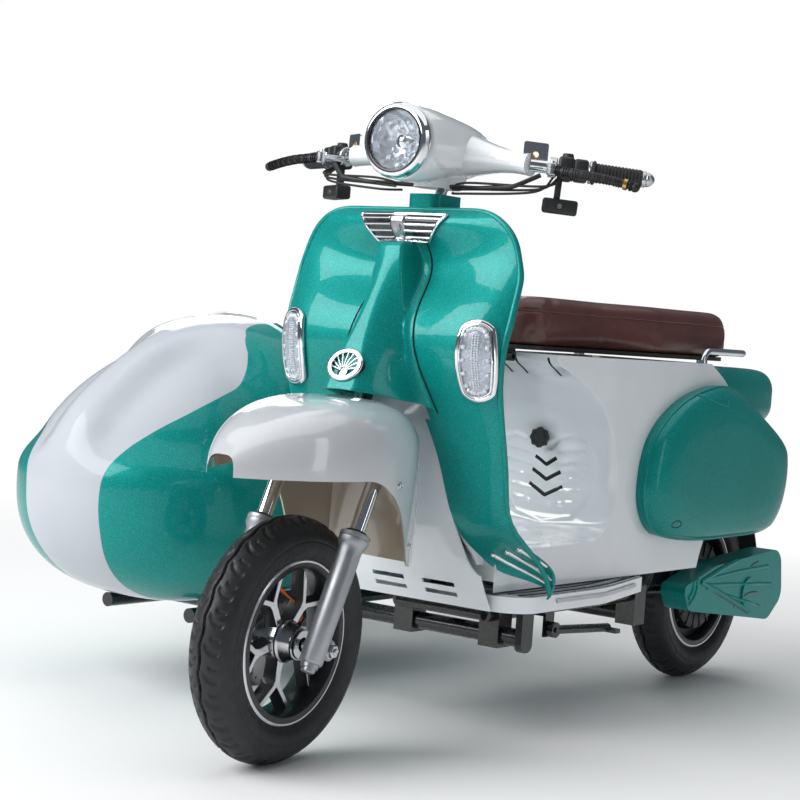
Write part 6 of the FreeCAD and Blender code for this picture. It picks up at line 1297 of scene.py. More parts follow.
piece(bm, "horn_grille", chrome, "scooter_and_sidecar", crease=40)

# Running lamps: chromed stadium frames on the shield, each with a pale bowl, a ring of round lamps and
# a dotted column under a clear moulded cover.
lamp_glass = surface("clear_lens", (0.93, 0.95, 0.97), 0.04, vary=0.01, rough_vary=0.01)
glass_shader = lamp_glass.node_tree.nodes["Principled BSDF"]
glass_shader.inputs["Transmission Weight"].default_value = 0.94
glass_shader.inputs["IOR"].default_value = 1.12
lamp_bowl = surface("lamp_bowl", (0.5, 0.54, 0.6), 0.25, metal=0.5, vary=0.1, vary_scale=60)
lamp_bead = surface("lamp_bead", (0.86, 0.9, 0.95), 0.15, coat=0.8, vary=0.04)
LAMP_HALF_UP, LAMP_HALF_ACROSS = 62.0, 29.0
LAMP_X, LAMP_Z = 195, 673
RING_LAMPS, COLUMN_ROWS = 22, 22


def lamp_spot(side, across, up, lift):
    """Place on a running lamp, in millimetres from its middle, lifted off the shield."""
    hit = drop(shield_tree, at(side * (LAMP_X + across), -100, LAMP_Z + up), REARWARD, lift / 1000)
    return hit[0] if hit else None


def stadium(share, count):
    """Places of a stadium outline, its width at a share of the lamp's."""
    straight = LAMP_HALF_UP - LAMP_HALF_ACROSS
    wide = LAMP_HALF_ACROSS * share
    places = []
    for turn in turns(count):
        up = straight * max(-1, min(1, math.sin(turn) * 1.7)) + wide * math.sin(turn)
        places.append((wide * math.cos(turn), up))
    return places


frames, bowls, beads, covers = (bmesh.new() for _ in range(4))
for side in (-1, 1):
    for share, lift, size, sides in ((1.02, 4.0, 0.0046, 14), (0.84, 7.0, 0.0021, 10)):
        ring = [lamp_spot(side, a, u, lift) for a, u in stadium(share, 96)]
        sweep(frames, [spot for spot in ring if spot], size, sides, closed=True)
    for target, layers in ((bowls, ((0.9, 6.0), (0.8, 3.0), (0.4, 2.4), (0.02, 2.4))),
                           (covers, ((0.86, 6.5), (0.8, 9.2), (0.5, 10.4), (0.02, 10.8)))):
        rows = []
        for share, lift in layers:
            row = [lamp_spot(side, a, u, lift) for a, u in stadium(share, 64)]
            rows.append([spot or lamp_spot(side, 0, 0, lift) for spot in row])
        lines, _ = grid(target, rows, around=True)
        target.faces.new(lines[-1])
    for a, u in stadium(0.66, RING_LAMPS):
        spot = lamp_spot(side, a, u, 4.0)
        if spot:
            bulb(beads, spot, 0.0042, 14, 8)
    for row in range(COLUMN_ROWS):
        for column in (-1, 0, 1):
            spot = lamp_spot(side, column * 4.2, (row - (COLUMN_ROWS - 1) / 2) * 3.9, 3.2)
            bulb(beads, spot, 0.0017, 8, 6)
piece(frames, "lamp_frames", chrome, "scooter_and_sidecar")
piece(bowls, "lamp_bowls", lamp_bowl, "scooter_and_sidecar")
piece(beads, "lamp_beads", lamp_bead, "scooter_and_sidecar")
lamp_covers = piece(covers, "lamp_covers", lamp_glass, "scooter_and_sidecar")
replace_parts(lamp_covers, "lamp_lenses")

# Headlight: a faceted reflector whose facets mix chrome with a diffuse bluish white that is painted
# reflection, and a bulb cup in a black bezel, under a clear domed glass. The headset's ring holds them.
LAMP_BACK = STEER_REST @ Vector((0, 1, 0))
lamp_seat = turned_at(0, 205, 1032)
FACET_RINGS, FACET_SECTORS = 9, 26
GLASS_RADIUS = 50.4
# Bluish white, partly diffuse: the chrome's own shine plus painted reflection that keeps the facets bright.
reflector_glare_paint = surface("painted_glare_reflector", (0.86, 0.91, 0.97), 0.1, metal=0.6, vary=0.04,
                           vary_scale=90, rough_vary=0.03)
random.seed(11)
lamp_side, lamp_up = STEER_REST @ X_AXIS, STEER_REST @ Vector((0, 0, 1))
bm = bmesh.new()
corners = []
for ring in range(FACET_RINGS):
    radius = 51.5 * (1 - ring / FACET_RINGS) ** 0.85 + 4
    depth = 34 * (1 - (radius / 55.5) ** 2)
    row = []
    for sector in range(FACET_SECTORS):
        angle = 2 * math.pi * (sector + 0.5 * (ring % 2)) / FACET_SECTORS
        wander = random.uniform(-1.5, 1.5) if 0 < ring < FACET_RINGS - 1 else 0
        outwards = (lamp_side * math.cos(angle) + lamp_up * math.sin(angle)) * radius
        row.append(bm.verts.new(lamp_seat + (LAMP_BACK * (depth + wander) + outwards) / 1000))
    corners.append(row)
for row, (outer, inner) in enumerate(zip(corners, corners[1:])):
    for k in range(FACET_SECTORS):
        n = (k + 1) % FACET_SECTORS
        if row % 2 == 0:
            bm.faces.new((outer[k], outer[n], inner[k]))
            bm.faces.new((outer[n], inner[n], inner[k]))
        else:
            bm.faces.new((outer[k], outer[n], inner[n]))
            bm.faces.new((outer[k], inner[n], inner[k]))
bm.faces.new(corners[-1])
piece(bm, "headlight_reflector", reflector_glare_paint, "steering", crease=1)
bm = bmesh.new()
cup = [(36, 9), (22, 9), (20, 10.5), (18.5, 10), (17, 7), (15.5, 3), (15, 0)]
lathe(bm, lamp_seat, LAMP_BACK, metres(cup, False), 32)
piece(bm, "headlight_cup", chrome, "steering")
bm = bmesh.new()
bezel = [(-12.4, 53.8), (-13.2, 53), (-12.6, 51.2), (-8, 50.6), (0, GLASS_RADIUS), (3, 51.5), (3, 53.8)]
lathe(bm, lamp_seat, LAMP_BACK, metres(bezel, False), 72)
piece(bm, "headlight_bezel", black_paint, "steering")
bm = bmesh.new()
glass_profile = [(-8 - 9 * (1 - (q / GLASS_RADIUS) ** 2), q)
                 for q in (GLASS_RADIUS, 46, 40, 33, 25, 17, 9, 0)]
inner_profile = [(d + 2.2, q) for d, q in glass_profile[::-1]]
for profile in (glass_profile, inner_profile):
    lathe(bm, lamp_seat, LAMP_BACK, metres(profile, False), 72)
headlight_glass = piece(bm, "headlight_glass", lamp_glass, "steering", merge=0.00001)
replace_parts(headlight_glass, "headlight_lens")

# Bars: ribbed rubber grips with bullet ends, plastic switch blocks, and levers in wrapped sleeves, all
# clamped on the tube. Small boxes hang below, and brass eyelets line the plates' holes.
GRIP_RIBS, SLEEVE_FOLDS = 13, 26
BAR_ENDS = (Vector((180, 345, 1014)), Vector((365, 445, 1006)))


def bar_frame(side):
    """Inner end of the bar in the design frame, and its axes: along it, ahead of it and up."""
    inner, tip = [Vector((side * p.x, p.y, p.z)) for p in BAR_ENDS]
    along = (tip - inner).normalized()
    ahead = Vector((0, 0, side)).cross(along).normalized() * -1
    upward = along.cross(ahead) * (-side)
    return inner, along, ahead, upward.normalized()


def bar_at(side, out, forward=0.0, above=0.0):
    """Place in millimetres out along the bar, ahead of it and above it."""
    inner, along, ahead, _ = bar_frame(side)
    return turned_at(*(inner + along * out + ahead * forward + Vector((0, 0, above))))


def bar_turn(side):
    """Rotation that lays a block along the bar."""
    return STEER_REST @ Matrix(bar_frame(side)[1:]).transposed()


sleeve = surface("lever_sleeve", (0.01, 0.01, 0.011), 0.5, vary=0.2, grain=0.8, grain_scale=420,
                 grain_depth=0.0006, stretch=(1, 0.3, 0.3))
brass = surface("brass", (0.6, 0.38, 0.12), 0.28, metal=1.0, vary=0.1)
red_button = surface("red_button", (0.5, 0.012, 0.01), 0.35, coat=0.4)
grips, bullets, blocks, metal, levers, bands, buttons = (bmesh.new() for _ in range(7))
for side in (-1, 1):
    along = (bar_at(side, 1) - bar_at(side, 0)).normalized()
    ahead = (bar_at(side, 0, 1) - bar_at(side, 0)).normalized()
    up = STEER_REST @ Vector((0, 0, 1))
    base = bar_at(side, 0)
    ribs = [(0.1044, 0.0112), (0.1044, 0.0192), (0.1058, 0.0205), (0.1082, 0.0205), (0.1096, 0.0185)]
    for rib in range(GRIP_RIBS):
        start = 0.1115 + rib * 0.0058
        size = 0.0168 - 0.00012 * rib
        ribs += [(start, size - 0.0012), (start + 0.0008, size), (start + 0.0042, size),
                 (start + 0.005, size - 0.0012)]
    ribs += [(0.1885, 0.0148), (0.1885, 0.0112)]
    lathe(grips, base, along, ribs, 40)
    lathe(bullets, base, along, [(0.1885, 0), (0.1885, 0.0128), (0.1912, 0.0138), (0.1945, 0.0136),
                                 (0.1958, 0.0118), (0.1972, 0.0126), (0.202, 0.0112), (0.2068, 0.0078),
                                 (0.2096, 0.0036), (0.2104, 0)], 40)
    lathe(metal, base, along, [(0.0985, 0.0112), (0.0985, 0.0182), (0.1, 0.0195), (0.1028, 0.0195),
                               (0.1044, 0.018), (0.1044, 0.0112)], 40)
    turn = bar_turn(side)
    box_solid(blocks, bar_at(side, 59), (0.0125, 0.0205, 0.0205), turn, 0.006, 4)
    box_solid(blocks, bar_at(side, 85), (0.0128, 0.0192, 0.0192), turn, 0.006, 4)
    box_solid(blocks, bar_at(side, 72), (0.0012, 0.0186, 0.0186), turn, 0.001, 1)
    lathe(blocks, bar_at(side, 62, -2, 19), up, [(-0.002, 0), (-0.002, 0.0105), (0.006, 0.0095),
                                                 (0.0078, 0.0078), (0.008, 0)], 28)
    for number, (out, back, size) in enumerate(((52, -17, 3.6), (62, -19, 4.2), (88, -16, 5.0))):
        lathe(buttons if number == 2 and side > 0 else blocks, bar_at(side, out, back, 8), -ahead,
              [(0, 0), (0, size / 1000), (0.004, size * 0.95 / 1000), (0.0052, size * 0.7 / 1000),
               (0.0053, 0)], 20)
    rod(metal, bar_at(side, 30), bar_at(side, 45), 0.0172, 32, bevel=0.0015)
    box_solid(metal, bar_at(side, 37.5, 30, -6), (0.0085, 0.0235, 0.0055), turn, 0.0025, 3)
    lathe(metal, bar_at(side, 37.5, 50, -16), up, [(0, 0), (0, 0.0085), (0.0015, 0.0095),
                                                   (0.0185, 0.0095), (0.02, 0.0085), (0.02, 0.0045),
                                                   (0.0235, 0.004), (0.0235, 0)], 28)
    path = smooth_path([bar_at(side, out, forward, above)
                        for out, forward, above in ((40, 52, -8), (62, 66, -9), (95, 76, -11),
                                                    (130, 81, -14), (160, 85, -18), (176, 88, -21))], 8)
    sizes = [0.0062 + 0.0016 * math.sin(math.pi * min(k / (len(path) - 1) * 1.1, 1))
             for k in range(len(path))]
    sweep(levers, path, sizes, 16)
    bulb(levers, path[-1], 0.0082, 20, 12)
    for fold in range(SLEEVE_FOLDS):
        index = 3 + fold * (len(path) - 6) // SLEEVE_FOLDS
        spot, after = path[index], path[index + 1]
        lathe(levers, spot, (after - spot).normalized(),
              [(-0.0005, 0.0055), (0, 0.0088), (0.0009, 0.0088), (0.0014, 0.0055)], 18)
    if side > 0:
        index = int(len(path) * 0.8)
        lathe(bands, path[index], (path[index + 1] - path[index]).normalized(),
              [(-0.003, 0.006), (-0.003, 0.0094), (0.003, 0.0094), (0.003, 0.006)], 24)
    box_solid(blocks, bar_at(side, 56, 4, -64), (0.03, 0.015, 0.0125), turn, 0.005, 4)
    box_solid(blocks, bar_at(side, 50, 2, -38), (0.0055, 0.006, 0.021), turn, 0.002, 2)
    lathe(metal, bar_at(side, 56, 19, -64), ahead, [(0, 0), (0, 0.0048), (0.0022, 0.0042), (0.0022, 0)], 20)
    plate_middle = bar_at(side, 7, 0, 18)
    for face in (-1, 1):
        lathe(bands, plate_middle + ahead * face * 0.002, ahead * face,
              [(0, 0.0054), (0.0007, 0.0054), (0.0009, 0.0066), (0.0007, 0.008), (0, 0.0082)], 28)
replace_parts(piece(grips, "bar_grips", rubber, "steering", crease=30), "grips")
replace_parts(piece(bullets, "bar_bullets", alloy, "steering", crease=30), "grips")
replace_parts(piece(blocks, "switch_blocks", black_plastic, "steering", crease=40),
            "hand_controls")
piece(metal, "bar_fittings", bright_zinc, "steering", crease=30)
piece(levers, "brake_levers", sleeve, "steering", crease=50)
piece(bands, "brass_rings", brass, "steering", crease=30)
piece(buttons, "horn_button", red_button, "steering", crease=30)

# Cables: thin rubber-covered leads beside the two bundles of the solids. They sag between the switch
# blocks and the neck.
bm = bmesh.new()
for side in (-1, 1):
    for number, (start, sag) in enumerate(((48, 30), (54, 16), (40, 44))):
        ends = [bar_at(side, start, 12, -18), bar_at(side, start - 30, 46, -30 - sag * 0.4),
                turned_at(side * (104 - 8 * number), 300 - 10 * number, 985 - sag * 0.7),
                turned_at(side * (58 - 3 * number), 300 + 6 * number, 972 - sag * 0.35)]
        sweep(bm, smooth_path(ends, 12), 0.0021, 10)
piece(bm, "bar_leads", rubber, "steering")

# Side cowls: pressed teal shells over the body's flanks, with a raised bead round the edge, a moulded hook at
# the top and a small oval pocket, its rim drawn as a thin dark ring of painted shade. The tail shell behind
# them has the same finish.
COWL_MIDDLE_Y, COWL_MIDDLE_Z, COWL_SIDE_X = 1162, 480, 400
COWL_BEND_Y, COWL_FOOT_Z = 1080, 350
COWL_HOOK = ((1021, 628), (1043, 624), (1065, 617), (1096, 610), (1124, 607), (1128, 616), (1114, 630))


def shape_cowl(x, y, z):
    """Narrower towards the top and flatter below than the plain outline."""
    if y > COWL_BEND_Y:
        reach = 1 - 0.36 * soft_step(z, 500, 632)
    else:
        reach = 1 - 0.10 * soft_step(z, 520, 632) + 0.05 * (1 - soft_step(z, 330, 400))
    if z < COWL_FOOT_Z:
        z = (COWL_FOOT_Z + z) / 2
    return x, COWL_BEND_Y + (y - COWL_BEND_Y) * reach, z


def shape_tail(x, y, z):
    """Deeper towards the rear, from its top down."""
    return x, y, TAIL_TOP_Z - (TAIL_TOP_Z - z) * (1 + 0.55 * soft_step(y, 1180, 1300))


TAIL_TOP_Z = 682
cowls = reshaped("cowl_shells", "side_cowls", shape_cowl, teal_paint)
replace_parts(cowls, "side_cowls")
cowl_tree = skin_of(cowls)
tail = reshaped("tail_shell", "tail_cover", shape_tail, teal_paint)
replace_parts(tail, "tail_cover")


def cowl_start(side, aim, reach):
    """Place beside the cowl, out from its middle along a direction seen from the side."""
    return at(side * COWL_SIDE_X, COWL_MIDDLE_Y + aim.x * reach, COWL_MIDDLE_Z + aim.y * reach)


def cowl_ring(side, inset, count=120):
    """Spots just inside the cowl's outline as seen from its side."""
    spots = []
    inward = Vector((-side, 0, 0))
    for turn in turns(count):
        aim = Vector((math.cos(turn), math.sin(turn)))
        low, high = 60.0, 420.0
        for _ in range(14):
            reach = (low + high) / 2
            if cowl_tree.ray_cast(cowl_start(side, aim, reach), inward, 0.26)[0] is not None:
                low = reach
            else:
                high = reach
        hit = drop(cowl_tree, cowl_start(side, aim, low - inset), inward)
        if hit:
            spots.append(hit[0])
    return spots


bm = bmesh.new()
for side in (-1, 1):
    ring = cowl_ring(side, 2.5)
    sweep(bm, ring, 0.0036, 10, closed=True)
    hook = [at(side * COWL_SIDE_X, y, z) for y, z in COWL_HOOK]
    inlay(bm, cowl_tree, hook, (-side, 0, 0), 0.006, 0.0003, 0.0022)
piece(bm, "cowl_mouldings", teal_paint, "scooter_and_sidecar")
# Thin dark ring round each oval pocket: painted shade at its rim.
bm = bmesh.new()
for side in (-1, 1):
    pocket = [at(side * COWL_SIDE_X, 954 + 15 * math.cos(a), 372 + 7 * math.sin(a)) for a in turns(24)]
    inlay(bm, cowl_tree, pocket, (-side, 0, 0), 0.0022, 0.0001, 0.0005, closed=True, steps=2)
piece(bm, "cowl_pocket_shade", slot_and_shade_black, "scooter_and_sidecar")

# Motor cover: a teal moulding beside the rear wheel, with V-shaped ridges that open rearwards and arcs behind
# its nose. Dark teal bands along the groove beside each ridge are painted shade.
motor_tree = skin_of(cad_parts["motor_cover"])
# Dark copy of the teal paint: painted shade along the groove beside each ridge.
painted_shade_teal = surface("painted_shade_teal", (0.0006, 0.05, 0.045), 0.4, coat=0.5, vary=0.1)
RIDGE_LINES = (
    (((1146, 241), (1200, 254), (1270, 270), (1340, 282)), 0.011, 0.0035),
    (((1146, 241), (1215, 219), (1300, 189), (1372, 164)), 0.011, 0.0035),
    (((1172, 244), (1260, 250), (1350, 254), (1450, 256)), 0.008, 0.002),
    (((1176, 232), (1270, 228), (1370, 222), (1470, 216)), 0.008, 0.002),
    (((1172, 226), (1250, 208), (1340, 188), (1420, 170)), 0.008, 0.002),
)
GROOVE_LINES = (
    ((1150, 246), (1200, 259), (1270, 275), (1330, 284)),
    ((1150, 235), (1215, 213), (1300, 183), (1366, 159)),
    ((1360, 250), (1372, 262), (1400, 268)),
    ((1300, 176), (1330, 196), (1370, 204), (1410, 200)),
)
ridges, groove_shade = bmesh.new(), bmesh.new()
for line, width, height in RIDGE_LINES:
    inlay(ridges, motor_tree, [at(400, y, z) for y, z in line], (-1, 0, 0), width, 0.0, height, sides=12)
for line in GROOVE_LINES:
    inlay(groove_shade, motor_tree, [at(400, y, z) for y, z in line], (-1, 0, 0), 0.0052, 0.0002, 0.0006)
for reach, size in ((30, 0.010), (44, 0.008)):
    bends = [math.radians(200 + 14 * k) for k in range(11)]
    arc = [at(400, 1086 - reach * math.sin(a), 238 + reach * 0.95 * math.cos(a)) for a in bends]
    inlay(ridges, motor_tree, arc, (-1, 0, 0), size, 0.0, 0.003, sides=12)
piece(ridges, "motor_cover_ridges", teal_paint, "scooter_and_sidecar")
piece(groove_shade, "motor_cover_painted_shade", painted_shade_teal, "scooter_and_sidecar")

# Rear shocks: red steel coil springs over bright bodies, between rubber-bushed eyes that are bolted to
# the frame above and the swingarm below.
red_spring = surface("red_spring", (0.55, 0.012, 0.01), 0.3, coat=0.7, vary=0.08)
shock_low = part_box("rear_shocks")[0]
COIL_STEPS, COIL_STEP_TURN = 210, 0.21
springs, cans, eyes = (bmesh.new() for _ in range(3))
for side in (-1, 1):
    foot = at(side * 73, 1262, (shock_low.z - HOME.z) * 1000 + 10)
    head = at(side * 73, 1140, 476)
    along = (head - foot).normalized()
    length = (head - foot).length
    first, second = axes_of(along)
    coils = []
    for step in range(COIL_STEPS + 1):
        turn = step * COIL_STEP_TURN
        coils.append(foot + along * length * (0.27 + 0.52 * step / COIL_STEPS)
                     + (first * math.cos(turn) + second * math.sin(turn)) * 0.0172)
    sweep(springs, coils, 0.0027, 10)
    lathe(cans, foot, along, [(0.006, 0), (0.006, 0.012), (0.012, 0.0135), (length * 0.24, 0.0135),
                              (length * 0.245, 0.02), (length * 0.265, 0.02), (length * 0.27, 0.0125),
                              (length * 0.6, 0.0125), (length * 0.605, 0.007), (length * 0.79, 0.007),
                              (length * 0.79, 0.02), (length * 0.815, 0.02), (length * 0.83, 0.012),
                              (length - 0.008, 0.011), (length - 0.008, 0)], 32)
    for spot in (foot, head):
        lathe(eyes, spot - X_AXIS * 0.014, X_AXIS, [(0, 0), (0, 0.0095), (0.001, 0.0105), (0.027, 0.0105),
                                                    (0.028, 0.0095), (0.028, 0)], 28)
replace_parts(piece(springs, "shock_springs", red_spring, "scooter_and_sidecar"), "rear_shocks")
piece(cans, "shock_bodies", alloy, "scooter_and_sidecar", crease=30)
piece(eyes, "shock_eyes", black_paint, "scooter_and_sidecar", crease=30)


# Tail lamp: its lens is clear red plastic, moulded with fine facets.
def dress(node, material):
    """Finish of a piece that keeps the solids' own shape."""
    node.data.materials.clear()
    node.data.materials.append(material)


red_lens = surface("red_lens", (0.42, 0.006, 0.008), 0.1, coat=1.0, vary=0.1, vary_scale=120, grain=0.5,
                   grain_scale=260)
dress(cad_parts["tail_lamp"], red_lens)


# Front fender: a white lacquered moulding, painted a greyer white as shade, with the side that faces the
# wheel painted brownish as shadow. Two screws through each side hold it to the fork.
def shaded_fender_paint():
    """Greyer white outside as painted shade; faces turned towards the wheel painted brownish as shadow."""
    # A darker copy of the white lacquer: painted shade on the fender.
    material = surface("fender_shaded_lacquer", (0.58, 0.6, 0.63), 0.18, coat=1.0, vary=0.02, grain=0.04,
                       grain_scale=220, grain_depth=0.0004, rough_vary=0.04)
    tree = material.node_tree
    links = tree.links
    place = tree.nodes.new("ShaderNodeTexCoord")
    spoke = add(tree, "ShaderNodeVectorMath", operation="SUBTRACT")
    spoke.inputs[1].default_value = front_hub
    links.new(place.outputs["Object"], spoke.inputs[0])
    facing_in = add(tree, "ShaderNodeVectorMath", operation="DOT_PRODUCT")
    links.new(spoke.outputs["Vector"], facing_in.inputs[0])
    links.new(place.outputs["Normal"], facing_in.inputs[1])
    share = add(tree, "ShaderNodeMapRange")
    share.inputs["From Min"].default_value, share.inputs["From Max"].default_value = -0.004, 0.004
    links.new(facing_in.outputs["Value"], share.inputs["Value"])
    shader = tree.nodes["Principled BSDF"]
    mix = add(tree, "ShaderNodeMix", data_type="RGBA")
    # Brownish on faces turned towards the wheel: painted shadow inside the fender.
    mix.inputs["A"].default_value = (0.42, 0.36, 0.28, 1)
    links.new(share.outputs["Result"], mix.inputs["Factor"])
    links.new(shader.inputs["Base Color"].links[0].from_socket, mix.inputs["B"])
    links.new(mix.outputs["Result"], shader.inputs["Base Color"])
    return material


fender_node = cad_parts["front_fender"]
dress(fender_node, shaded_fender_paint())
fender_tree = skin_of(fender_node)
bm = bmesh.new()
for side in (-1, 1):
    for y, z in ((119, 466), (176, 362)):
        place = turned_at(side * 300, y, z)
        hit = drop(fender_tree, place, front_axle * -side)
        if hit:
            lathe(bm, hit[0], hit[1], [(-0.001, 0.0066), (0.0006, 0.0066), (0.0012, 0.006),
                                       (0.0014, 0.0046), (0.0034, 0.0042), (0.004, 0.0032),
                                       (0.0028, 0.0022), (0.0028, 0)], 28)
piece(bm, "fender_screws", bright_zinc, "steering", crease=30)

# Sidecar: a teal moulded shell with a white band over its middle, drawn in at the shoulders ahead of the
# cockpit. Faces turned into the cockpit are painted near black, as shade. It is bolted to its own frame.
CAR_MIDDLE = at(CAR_X, 0, 0).x
BAND_LOW, BAND_HIGH, BAND_SPAN = 200, 760, 200
BAND_HALF = [(BAND_LOW, 70), (280, 91), (336, 96), (390, 95), (436, 104), (473, 119), (502, 141),
             (531, 164), (564, 179), (601, 177), (650, 152), (683, 123), (703, 98), (BAND_HIGH, 90)]


def banded_paint():
    """Teal paint with a white band whose half width follows the height, and painted shade inside: near black
    and without coat on faces turned into the cockpit.
    """
    material = metallic_paint("banded_lacquer", TEAL, TEAL_FLAKE)
    tree = material.node_tree
    links = tree.links
    shader = tree.nodes["Principled BSDF"]
    split = tree.nodes.new("ShaderNodeSeparateXYZ")
    links.new(tree.nodes.new("ShaderNodeTexCoord").outputs["Object"], split.inputs["Vector"])
    height = add(tree, "ShaderNodeMapRange")
    height.inputs["From Min"].default_value = BAND_LOW / 1000
    height.inputs["From Max"].default_value = BAND_HIGH / 1000
    links.new(split.outputs["Z"], height.inputs["Value"])
    stops = [((z - BAND_LOW) / (BAND_HIGH - BAND_LOW), shade((1, 1, 1), w / BAND_SPAN))
             for z, w in BAND_HALF]
    width = ramp(tree, height.outputs["Result"], stops)
    width.color_ramp.interpolation = "B_SPLINE"
    across = add(tree, "ShaderNodeMath", operation="SUBTRACT")
    across.inputs[1].default_value = CAR_MIDDLE
    links.new(split.outputs["X"], across.inputs[0])
    offset = add(tree, "ShaderNodeMath", operation="ABSOLUTE")
    links.new(across.outputs["Value"], offset.inputs[0])
    reach = add(tree, "ShaderNodeMath", operation="MULTIPLY")
    reach.inputs[1].default_value = BAND_SPAN / 1000
    links.new(width.outputs["Color"], reach.inputs[0])
    gap = add(tree, "ShaderNodeMath", operation="SUBTRACT")
    links.new(offset.outputs["Value"], gap.inputs[0])
    links.new(reach.outputs["Value"], gap.inputs[1])
    teal_share = add(tree, "ShaderNodeMapRange")
    teal_share.inputs["From Min"].default_value, teal_share.inputs["From Max"].default_value = -0.0005, 0.0005
    links.new(gap.outputs["Value"], teal_share.inputs["Value"])
    mix = add(tree, "ShaderNodeMix", data_type="RGBA")
    links.new(teal_share.outputs["Result"], mix.inputs["Factor"])
    mix.inputs["A"].default_value = (0.5, 0.53, 0.57, 1)
    links.new(shader.inputs["Base Color"].links[0].from_socket, mix.inputs["B"])
    spoke = add(tree, "ShaderNodeVectorMath", operation="SUBTRACT")
    spoke.inputs[1].default_value = at(CAR_X, 700, 430)
    links.new(tree.nodes.new("ShaderNodeTexCoord").outputs["Object"], spoke.inputs[0])
    outward = add(tree, "ShaderNodeVectorMath", operation="DOT_PRODUCT")
    links.new(spoke.outputs["Vector"], outward.inputs[0])
    links.new(tree.nodes.new("ShaderNodeTexCoord").outputs["Normal"], outward.inputs[1])
    outside = add(tree, "ShaderNodeMapRange")
    outside.inputs["From Min"].default_value, outside.inputs["From Max"].default_value = -0.02, 0.0
    links.new(outward.outputs["Value"], outside.inputs["Value"])
    # Near black on faces turned towards the cockpit's middle: painted shade inside the tub.
    cockpit_shade = add(tree, "ShaderNodeMix", data_type="RGBA")
    cockpit_shade.inputs["A"].default_value = (0.02, 0.021, 0.023, 1)
    links.new(outside.outputs["Result"], cockpit_shade.inputs["Factor"])
    links.new(mix.outputs["Result"], cockpit_shade.inputs["B"])
    links.new(cockpit_shade.outputs["Result"], shader.inputs["Base Color"])
    gloss = add(tree, "ShaderNodeMath", operation="MULTIPLY")
    gloss.inputs[1].default_value = shader.inputs["Coat Weight"].default_value
    links.new(outside.outputs["Result"], gloss.inputs[0])
    links.new(gloss.outputs["Value"], shader.inputs["Coat Weight"])
    sheen = add(tree, "ShaderNodeMath", operation="MULTIPLY")
    sheen.inputs[1].default_value = shader.inputs["Metallic"].default_value
    links.new(teal_share.outputs["Result"], sheen.inputs[0])
    links.new(sheen.outputs["Value"], shader.inputs["Metallic"])
    return material


def draw_in(x, y, z):
    """Shoulders ahead of the cockpit pulled inwards."""
    share = soft_step(z, 400, 520) * (1 - soft_step(z, 640, 722)) * (1 - soft_step(y, 300, 430))
    share *= 36 * soft_step(abs(x - CAR_X), 10, 110)
    return x + (-0.62 if x > CAR_X else 0.62) * share, y + 0.25 * share, z - 0.74 * share


car_shell = reshaped("sidecar_shell", "sidecar_body", draw_in, banded_paint())
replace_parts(car_shell, "sidecar_body")

# Finishes of the pieces that keep the solids' own shape: lacquered panels, chromed and satin metal,
# black enamel on the frames, and black plastic.
finishes = {
    teal_paint: ("motor_cover", "sidecar_fender"),
    white_paint: ("headset", "inner_panels", "floor_pan"),
    chrome: ("headlight_ring", "grab_rail", "sidecar_trim", "fork", "handlebar"),
    alloy: ("floor_trim",),
    cut_steel: ("front_disc",),
    black_paint: ("main_frame", "swingarm", "side_stand", "sidecar_frame", "front_brake"),
    black_plastic: ("seat_base", "battery", "rear_mudguard", "sidecar_bench", "control_cables"),
}
for material, names in finishes.items():
    for name in names:
        dress(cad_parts[name], material)

# Studio: a pale floor and backdrop under wide soft lights. The camera stands where the photograph was
# taken, with a lens of the same reach.
bpy.ops.mesh.primitive_plane_add(size=60)
floor = bpy.context.object
floor.name = "studio_floor"
floor_finish, floor_tree, floor_shader = new_material("studio_floor")
floor_tone = ramp(floor_tree, noise(floor_tree, 0.6).outputs["Fac"],
                  [(0.3, (0.9, 0.9, 0.9, 1)), (0.7, (0.93, 0.93, 0.93, 1))])
floor_tree.links.new(floor_tone.outputs["Color"], floor_shader.inputs["Base Color"])
floor_shader.inputs["Roughness"].default_value = 0.7
far_off = add(floor_tree, "ShaderNodeVectorMath", operation="LENGTH")
floor_place = floor_tree.nodes.new("ShaderNodeTexCoord")
floor_tree.links.new(floor_place.outputs["Object"], far_off.inputs[0])
fade = ramp(floor_tree, far_off.outputs["Value"], [(0.0, (0, 0, 0, 1)), (1.0, (1, 1, 1, 1))])
reach = add(floor_tree, "ShaderNodeMapRange")
reach.inputs["From Min"].default_value, reach.inputs["From Max"].default_value = 1.5, 3.4
floor_tree.links.new(far_off.outputs["Value"], reach.inputs["Value"])
floor_tree.links.new(reach.outputs["Result"], fade.inputs["Fac"])
floor_sight = floor_tree.nodes.new("ShaderNodeLightPath")
seen_far = add(floor_tree, "ShaderNodeMath", operation="MULTIPLY")
floor_tree.links.new(fade.outputs["Color"], seen_far.inputs[0])
floor_tree.links.new(floor_sight.outputs["Is Camera Ray"], seen_far.inputs[1])
glow = add(floor_tree, "ShaderNodeEmission", Strength=1.0)
blend = floor_tree.nodes.new("ShaderNodeMixShader")
floor_tree.links.new(seen_far.outputs["Value"], blend.inputs[0])
floor_tree.links.new(floor_shader.outputs["BSDF"], blend.inputs[1])
floor_tree.links.new(glow.outputs["Emission"], blend.inputs[2])
floor_tree.links.new(blend.outputs["Shader"], floor_tree.nodes["Material Output"].inputs["Surface"])
floor.data.materials.append(floor_finish)

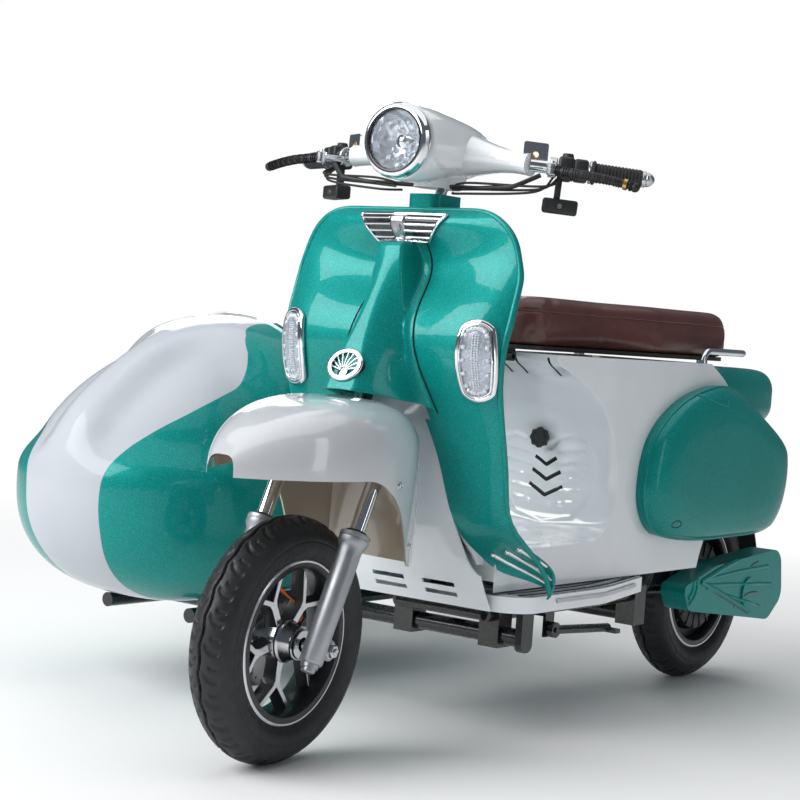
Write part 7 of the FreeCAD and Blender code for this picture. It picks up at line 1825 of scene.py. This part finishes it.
scene = bpy.context.scene
scene.view_settings.view_transform = "Standard"
world = bpy.data.worlds.new("studio")
scene.world = world
world.use_nodes = True
world_tree = world.node_tree
backdrop = world_tree.nodes["Background"]
backdrop.inputs["Color"].default_value = (0.82, 0.86, 0.9, 1)
backdrop.inputs["Strength"].default_value = 0.28
plain = add(world_tree, "ShaderNodeBackground", Strength=1.0)
plain.inputs["Color"].default_value = (1, 1, 1, 1)
path = world_tree.nodes.new("ShaderNodeLightPath")
mirrored = add(world_tree, "ShaderNodeBackground", Strength=0.14)
mirrored.inputs["Color"].default_value = (0.7, 0.8, 0.95, 1)
by_gloss = world_tree.nodes.new("ShaderNodeMixShader")
world_tree.links.new(path.outputs["Is Glossy Ray"], by_gloss.inputs[0])
world_tree.links.new(backdrop.outputs["Background"], by_gloss.inputs[1])
world_tree.links.new(mirrored.outputs["Background"], by_gloss.inputs[2])
choice = world_tree.nodes.new("ShaderNodeMixShader")
world_tree.links.new(path.outputs["Is Camera Ray"], choice.inputs[0])
world_tree.links.new(by_gloss.outputs["Shader"], choice.inputs[1])
world_tree.links.new(plain.outputs["Background"], choice.inputs[2])
world_tree.links.new(choice.outputs["Shader"], world_tree.nodes["World Output"].inputs["Surface"])


def soft_light(name, place, target, width, height, power):
    """Area light at a place, aimed at a target."""
    data = bpy.data.lights.new(name, "AREA")
    data.shape = "RECTANGLE"
    data.size, data.size_y = width, height
    data.energy = power
    lamp = bpy.data.objects.new(name, data)
    scene.collection.objects.link(lamp)
    lamp.location = place
    lamp.rotation_euler = (Vector(target) - Vector(place)).to_track_quat("-Z", "Y").to_euler()


soft_light("key_front", (-1.8, -4.6, 3.6), (0, -0.2, 0.6), 5.0, 3.6, 345)
soft_light("roof", (0.2, 0.4, 4.4), (0, 0.2, 0), 5.4, 5.4, 90)
soft_light("side_strip", (5.2, 0.6, 1.7), (0, 0.2, 0.5), 0.7, 3.6, 16)
soft_light("back_fill", (-3.5, 3.6, 2.6), (0, 0, 0.5), 2.4, 2.4, 45)

CAMERA_PLACE = (1968.1, -2329.4, 722.2)
CAMERA_AZIMUTH, CAMERA_ELEVATION, CAMERA_ROLL = 0.646310, 0.0392736, 0.0695455
FOCAL_PIXELS, PHOTO_WIDTH = 1896.4, 800
back = Vector((math.sin(CAMERA_AZIMUTH) * math.cos(CAMERA_ELEVATION),
               -math.cos(CAMERA_AZIMUTH) * math.cos(CAMERA_ELEVATION), math.sin(CAMERA_ELEVATION)))
level = (-back).cross(Vector((0, 0, 1))).normalized()
upright = level.cross(-back)
right = level * math.cos(CAMERA_ROLL) + upright * math.sin(CAMERA_ROLL)
above = upright * math.cos(CAMERA_ROLL) - level * math.sin(CAMERA_ROLL)
lens = bpy.data.cameras.new("photo_view")
lens.sensor_width = 36
lens.lens = lens.sensor_width * FOCAL_PIXELS / PHOTO_WIDTH
camera = bpy.data.objects.new("photo_view", lens)
scene.collection.objects.link(camera)
turn = Matrix((right, above, back)).transposed()
camera.matrix_world = Matrix.Translation(at(*CAMERA_PLACE)) @ turn.to_4x4()
scene.camera = camera
